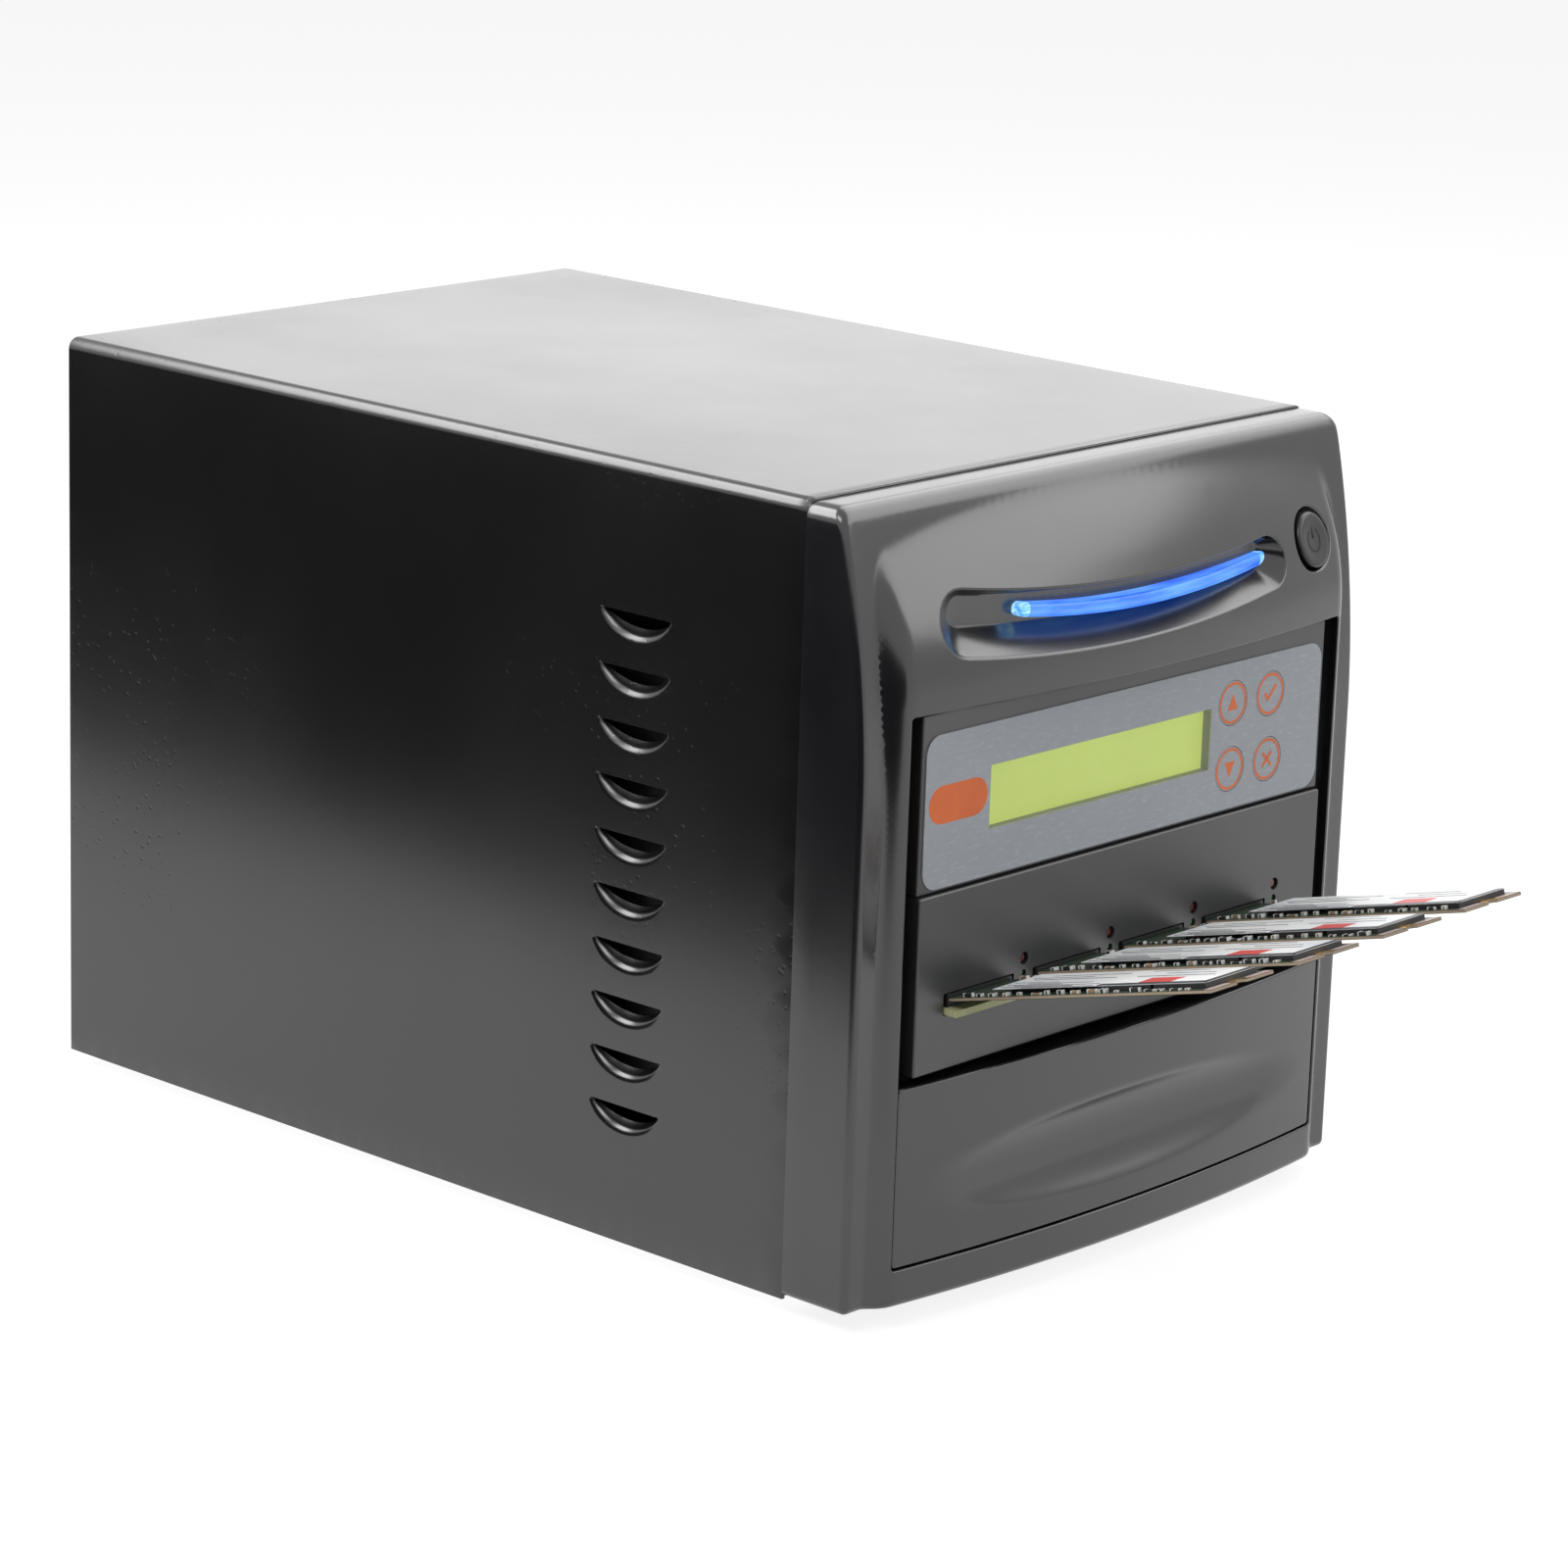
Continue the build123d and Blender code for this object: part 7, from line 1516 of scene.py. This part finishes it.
class DuplicatorSizes(bpy.types.PropertyGroup):
    """Sizes of the duplicator's finer forms."""

    cover_edge: length_property(
        "Cover fold", "Radius of the folds along the top of the cover", 0.003, 0.001, 0.006)
    bezel_edge: length_property(
        "Bezel edge", "Radius of the bezel's outer edge at its sides", 0.0018, 0.0005, 0.003)
    bezel_top_edge: length_property(
        "Bezel top edge", "Radius of the bezel's outer edge along its top", 0.0034, 0.0005, 0.0036)
    louvre_half: length_property(
        "Louvre half width", "Half the length of a louvre's straight edge", 0.0103, 0.006, 0.012)
    louvre_drop: length_property(
        "Louvre drop", "How far a louvre hangs below its edge, without its lip", 0.0047, 0.003, 0.006)
    louvre_roll: length_property(
        "Louvre lip", "Radius of the rolled lip round a louvre", 0.0022, 0.0005, 0.0025)
    finger_depth: length_property(
        "Finger scoop", "Depth of the finger scoop in the blank cover", 0.004, 0.002, 0.006)


class DuplicatorTones(bpy.types.PropertyGroup):
    """Colours of the duplicator's main finishes."""

    cover: tone_property("Cover", "Powder coat of the steel cover", (0.005, 0.005, 0.0055))
    bezel: tone_property("Bezel", "Moulding of the bezel and the blank cover", (0.009, 0.009, 0.0105))
    plate: tone_property(
        "Faceplates", "Moulding of the display plate and the slot panel", (0.012, 0.012, 0.013))
    film: tone_property("Film", "Printed film round the display", (0.38, 0.405, 0.44))
    print_orange: tone_property("Print", "Orange print on the film and the keys", (0.75, 0.16, 0.04))
    display: tone_property("Display", "Backlight of the display", (0.47, 0.6, 0.08))
    pipe: tone_property("Light pipe", "Glow of the light pipe", (0.02, 0.14, 0.9))


def build_stage():
    """Camera, world, floor, black card and lamps."""
    bpy.context.scene.view_settings.view_transform = "Standard"
    build_camera()
    build_world()
    build_floor()
    build_flag()
    build_lamps()


class DUPLICATOR_OT_stage(bpy.types.Operator):
    """Make the camera, the floor, the world and the lamps"""

    bl_idname = "duplicator.stage"
    bl_label = "Stage"

    def execute(self, context):
        build_stage()
        return {"FINISHED"}


class DUPLICATOR_OT_cover(bpy.types.Operator):
    """Make the folded cover with its louvres"""

    bl_idname = "duplicator.cover"
    bl_label = "Cover"

    def execute(self, context):
        build_cover()
        return {"FINISHED"}


class DUPLICATOR_OT_bezel(bpy.types.Operator):
    """Make the moulded bezel with its scoop and the well of the button"""

    bl_idname = "duplicator.bezel"
    bl_label = "Bezel"

    def execute(self, context):
        build_bezel()
        return {"FINISHED"}


class DUPLICATOR_OT_light_pipe(bpy.types.Operator):
    """Make the lit bar in the scoop"""

    bl_idname = "duplicator.light_pipe"
    bl_label = "Light pipe"

    def execute(self, context):
        build_light_pipe()
        return {"FINISHED"}


class DUPLICATOR_OT_button(bpy.types.Operator):
    """Make the round power button"""

    bl_idname = "duplicator.button"
    bl_label = "Power button"

    def execute(self, context):
        build_button()
        return {"FINISHED"}


class DUPLICATOR_OT_blank(bpy.types.Operator):
    """Make the blank cover with its finger scoop"""

    bl_idname = "duplicator.blank"
    bl_label = "Blank cover"

    def execute(self, context):
        build_blank()
        return {"FINISHED"}


class DUPLICATOR_OT_display(bpy.types.Operator):
    """Make the display plate, its film, window and glass"""

    bl_idname = "duplicator.display"
    bl_label = "Display"

    def execute(self, context):
        build_display()
        return {"FINISHED"}


class DUPLICATOR_OT_keys(bpy.types.Operator):
    """Make the four round keys"""

    bl_idname = "duplicator.keys"
    bl_label = "Keys"

    def execute(self, context):
        build_keys()
        return {"FINISHED"}


class DUPLICATOR_OT_slots(bpy.types.Operator):
    """Make the slot panel"""

    bl_idname = "duplicator.slots"
    bl_label = "Slot panel"

    def execute(self, context):
        build_slot_panel()
        return {"FINISHED"}


class DUPLICATOR_OT_drives(bpy.types.Operator):
    """Make the four drives"""

    bl_idname = "duplicator.drives"
    bl_label = "Drives"

    def execute(self, context):
        build_drives()
        return {"FINISHED"}


class DUPLICATOR_OT_carried(bpy.types.Operator):
    """Give the carried solids their finishes"""

    bl_idname = "duplicator.carried"
    bl_label = "Carried solids"

    def execute(self, context):
        dress_carried()
        return {"FINISHED"}


OPERATORS = [
    DUPLICATOR_OT_stage,
    DUPLICATOR_OT_cover,
    DUPLICATOR_OT_bezel,
    DUPLICATOR_OT_light_pipe,
    DUPLICATOR_OT_button,
    DUPLICATOR_OT_blank,
    DUPLICATOR_OT_display,
    DUPLICATOR_OT_keys,
    DUPLICATOR_OT_slots,
    DUPLICATOR_OT_drives,
    DUPLICATOR_OT_carried,
]


class DUPLICATOR_PT_panel(bpy.types.Panel):
    """Lists the operators of the duplicator."""

    bl_label = "Duplicator"
    bl_space_type = "VIEW_3D"
    bl_region_type = "UI"
    bl_category = "Duplicator"

    def draw(self, context):
        for operator in OPERATORS:
            self.layout.operator(operator.bl_idname)
        for group in (context.scene.duplicator_sizes, context.scene.duplicator_tones):
            for name in group.__annotations__:
                self.layout.prop(group, name)


CLASSES = [DuplicatorSizes, DuplicatorTones, *OPERATORS, DUPLICATOR_PT_panel]


def register():
    for cls in CLASSES:
        bpy.utils.register_class(cls)
    bpy.types.Scene.duplicator_sizes = bpy.props.PointerProperty(type=DuplicatorSizes)
    bpy.types.Scene.duplicator_tones = bpy.props.PointerProperty(type=DuplicatorTones)


def unregister():
    del bpy.types.Scene.duplicator_tones
    del bpy.types.Scene.duplicator_sizes
    for cls in reversed(CLASSES):
        bpy.utils.unregister_class(cls)


def main():
    """Runs every operator in order."""
    register()
    for operator in OPERATORS:
        group, name = operator.bl_idname.split(".")
        getattr(getattr(bpy.ops, group), name)()


if __name__ == "__main__":
    main()
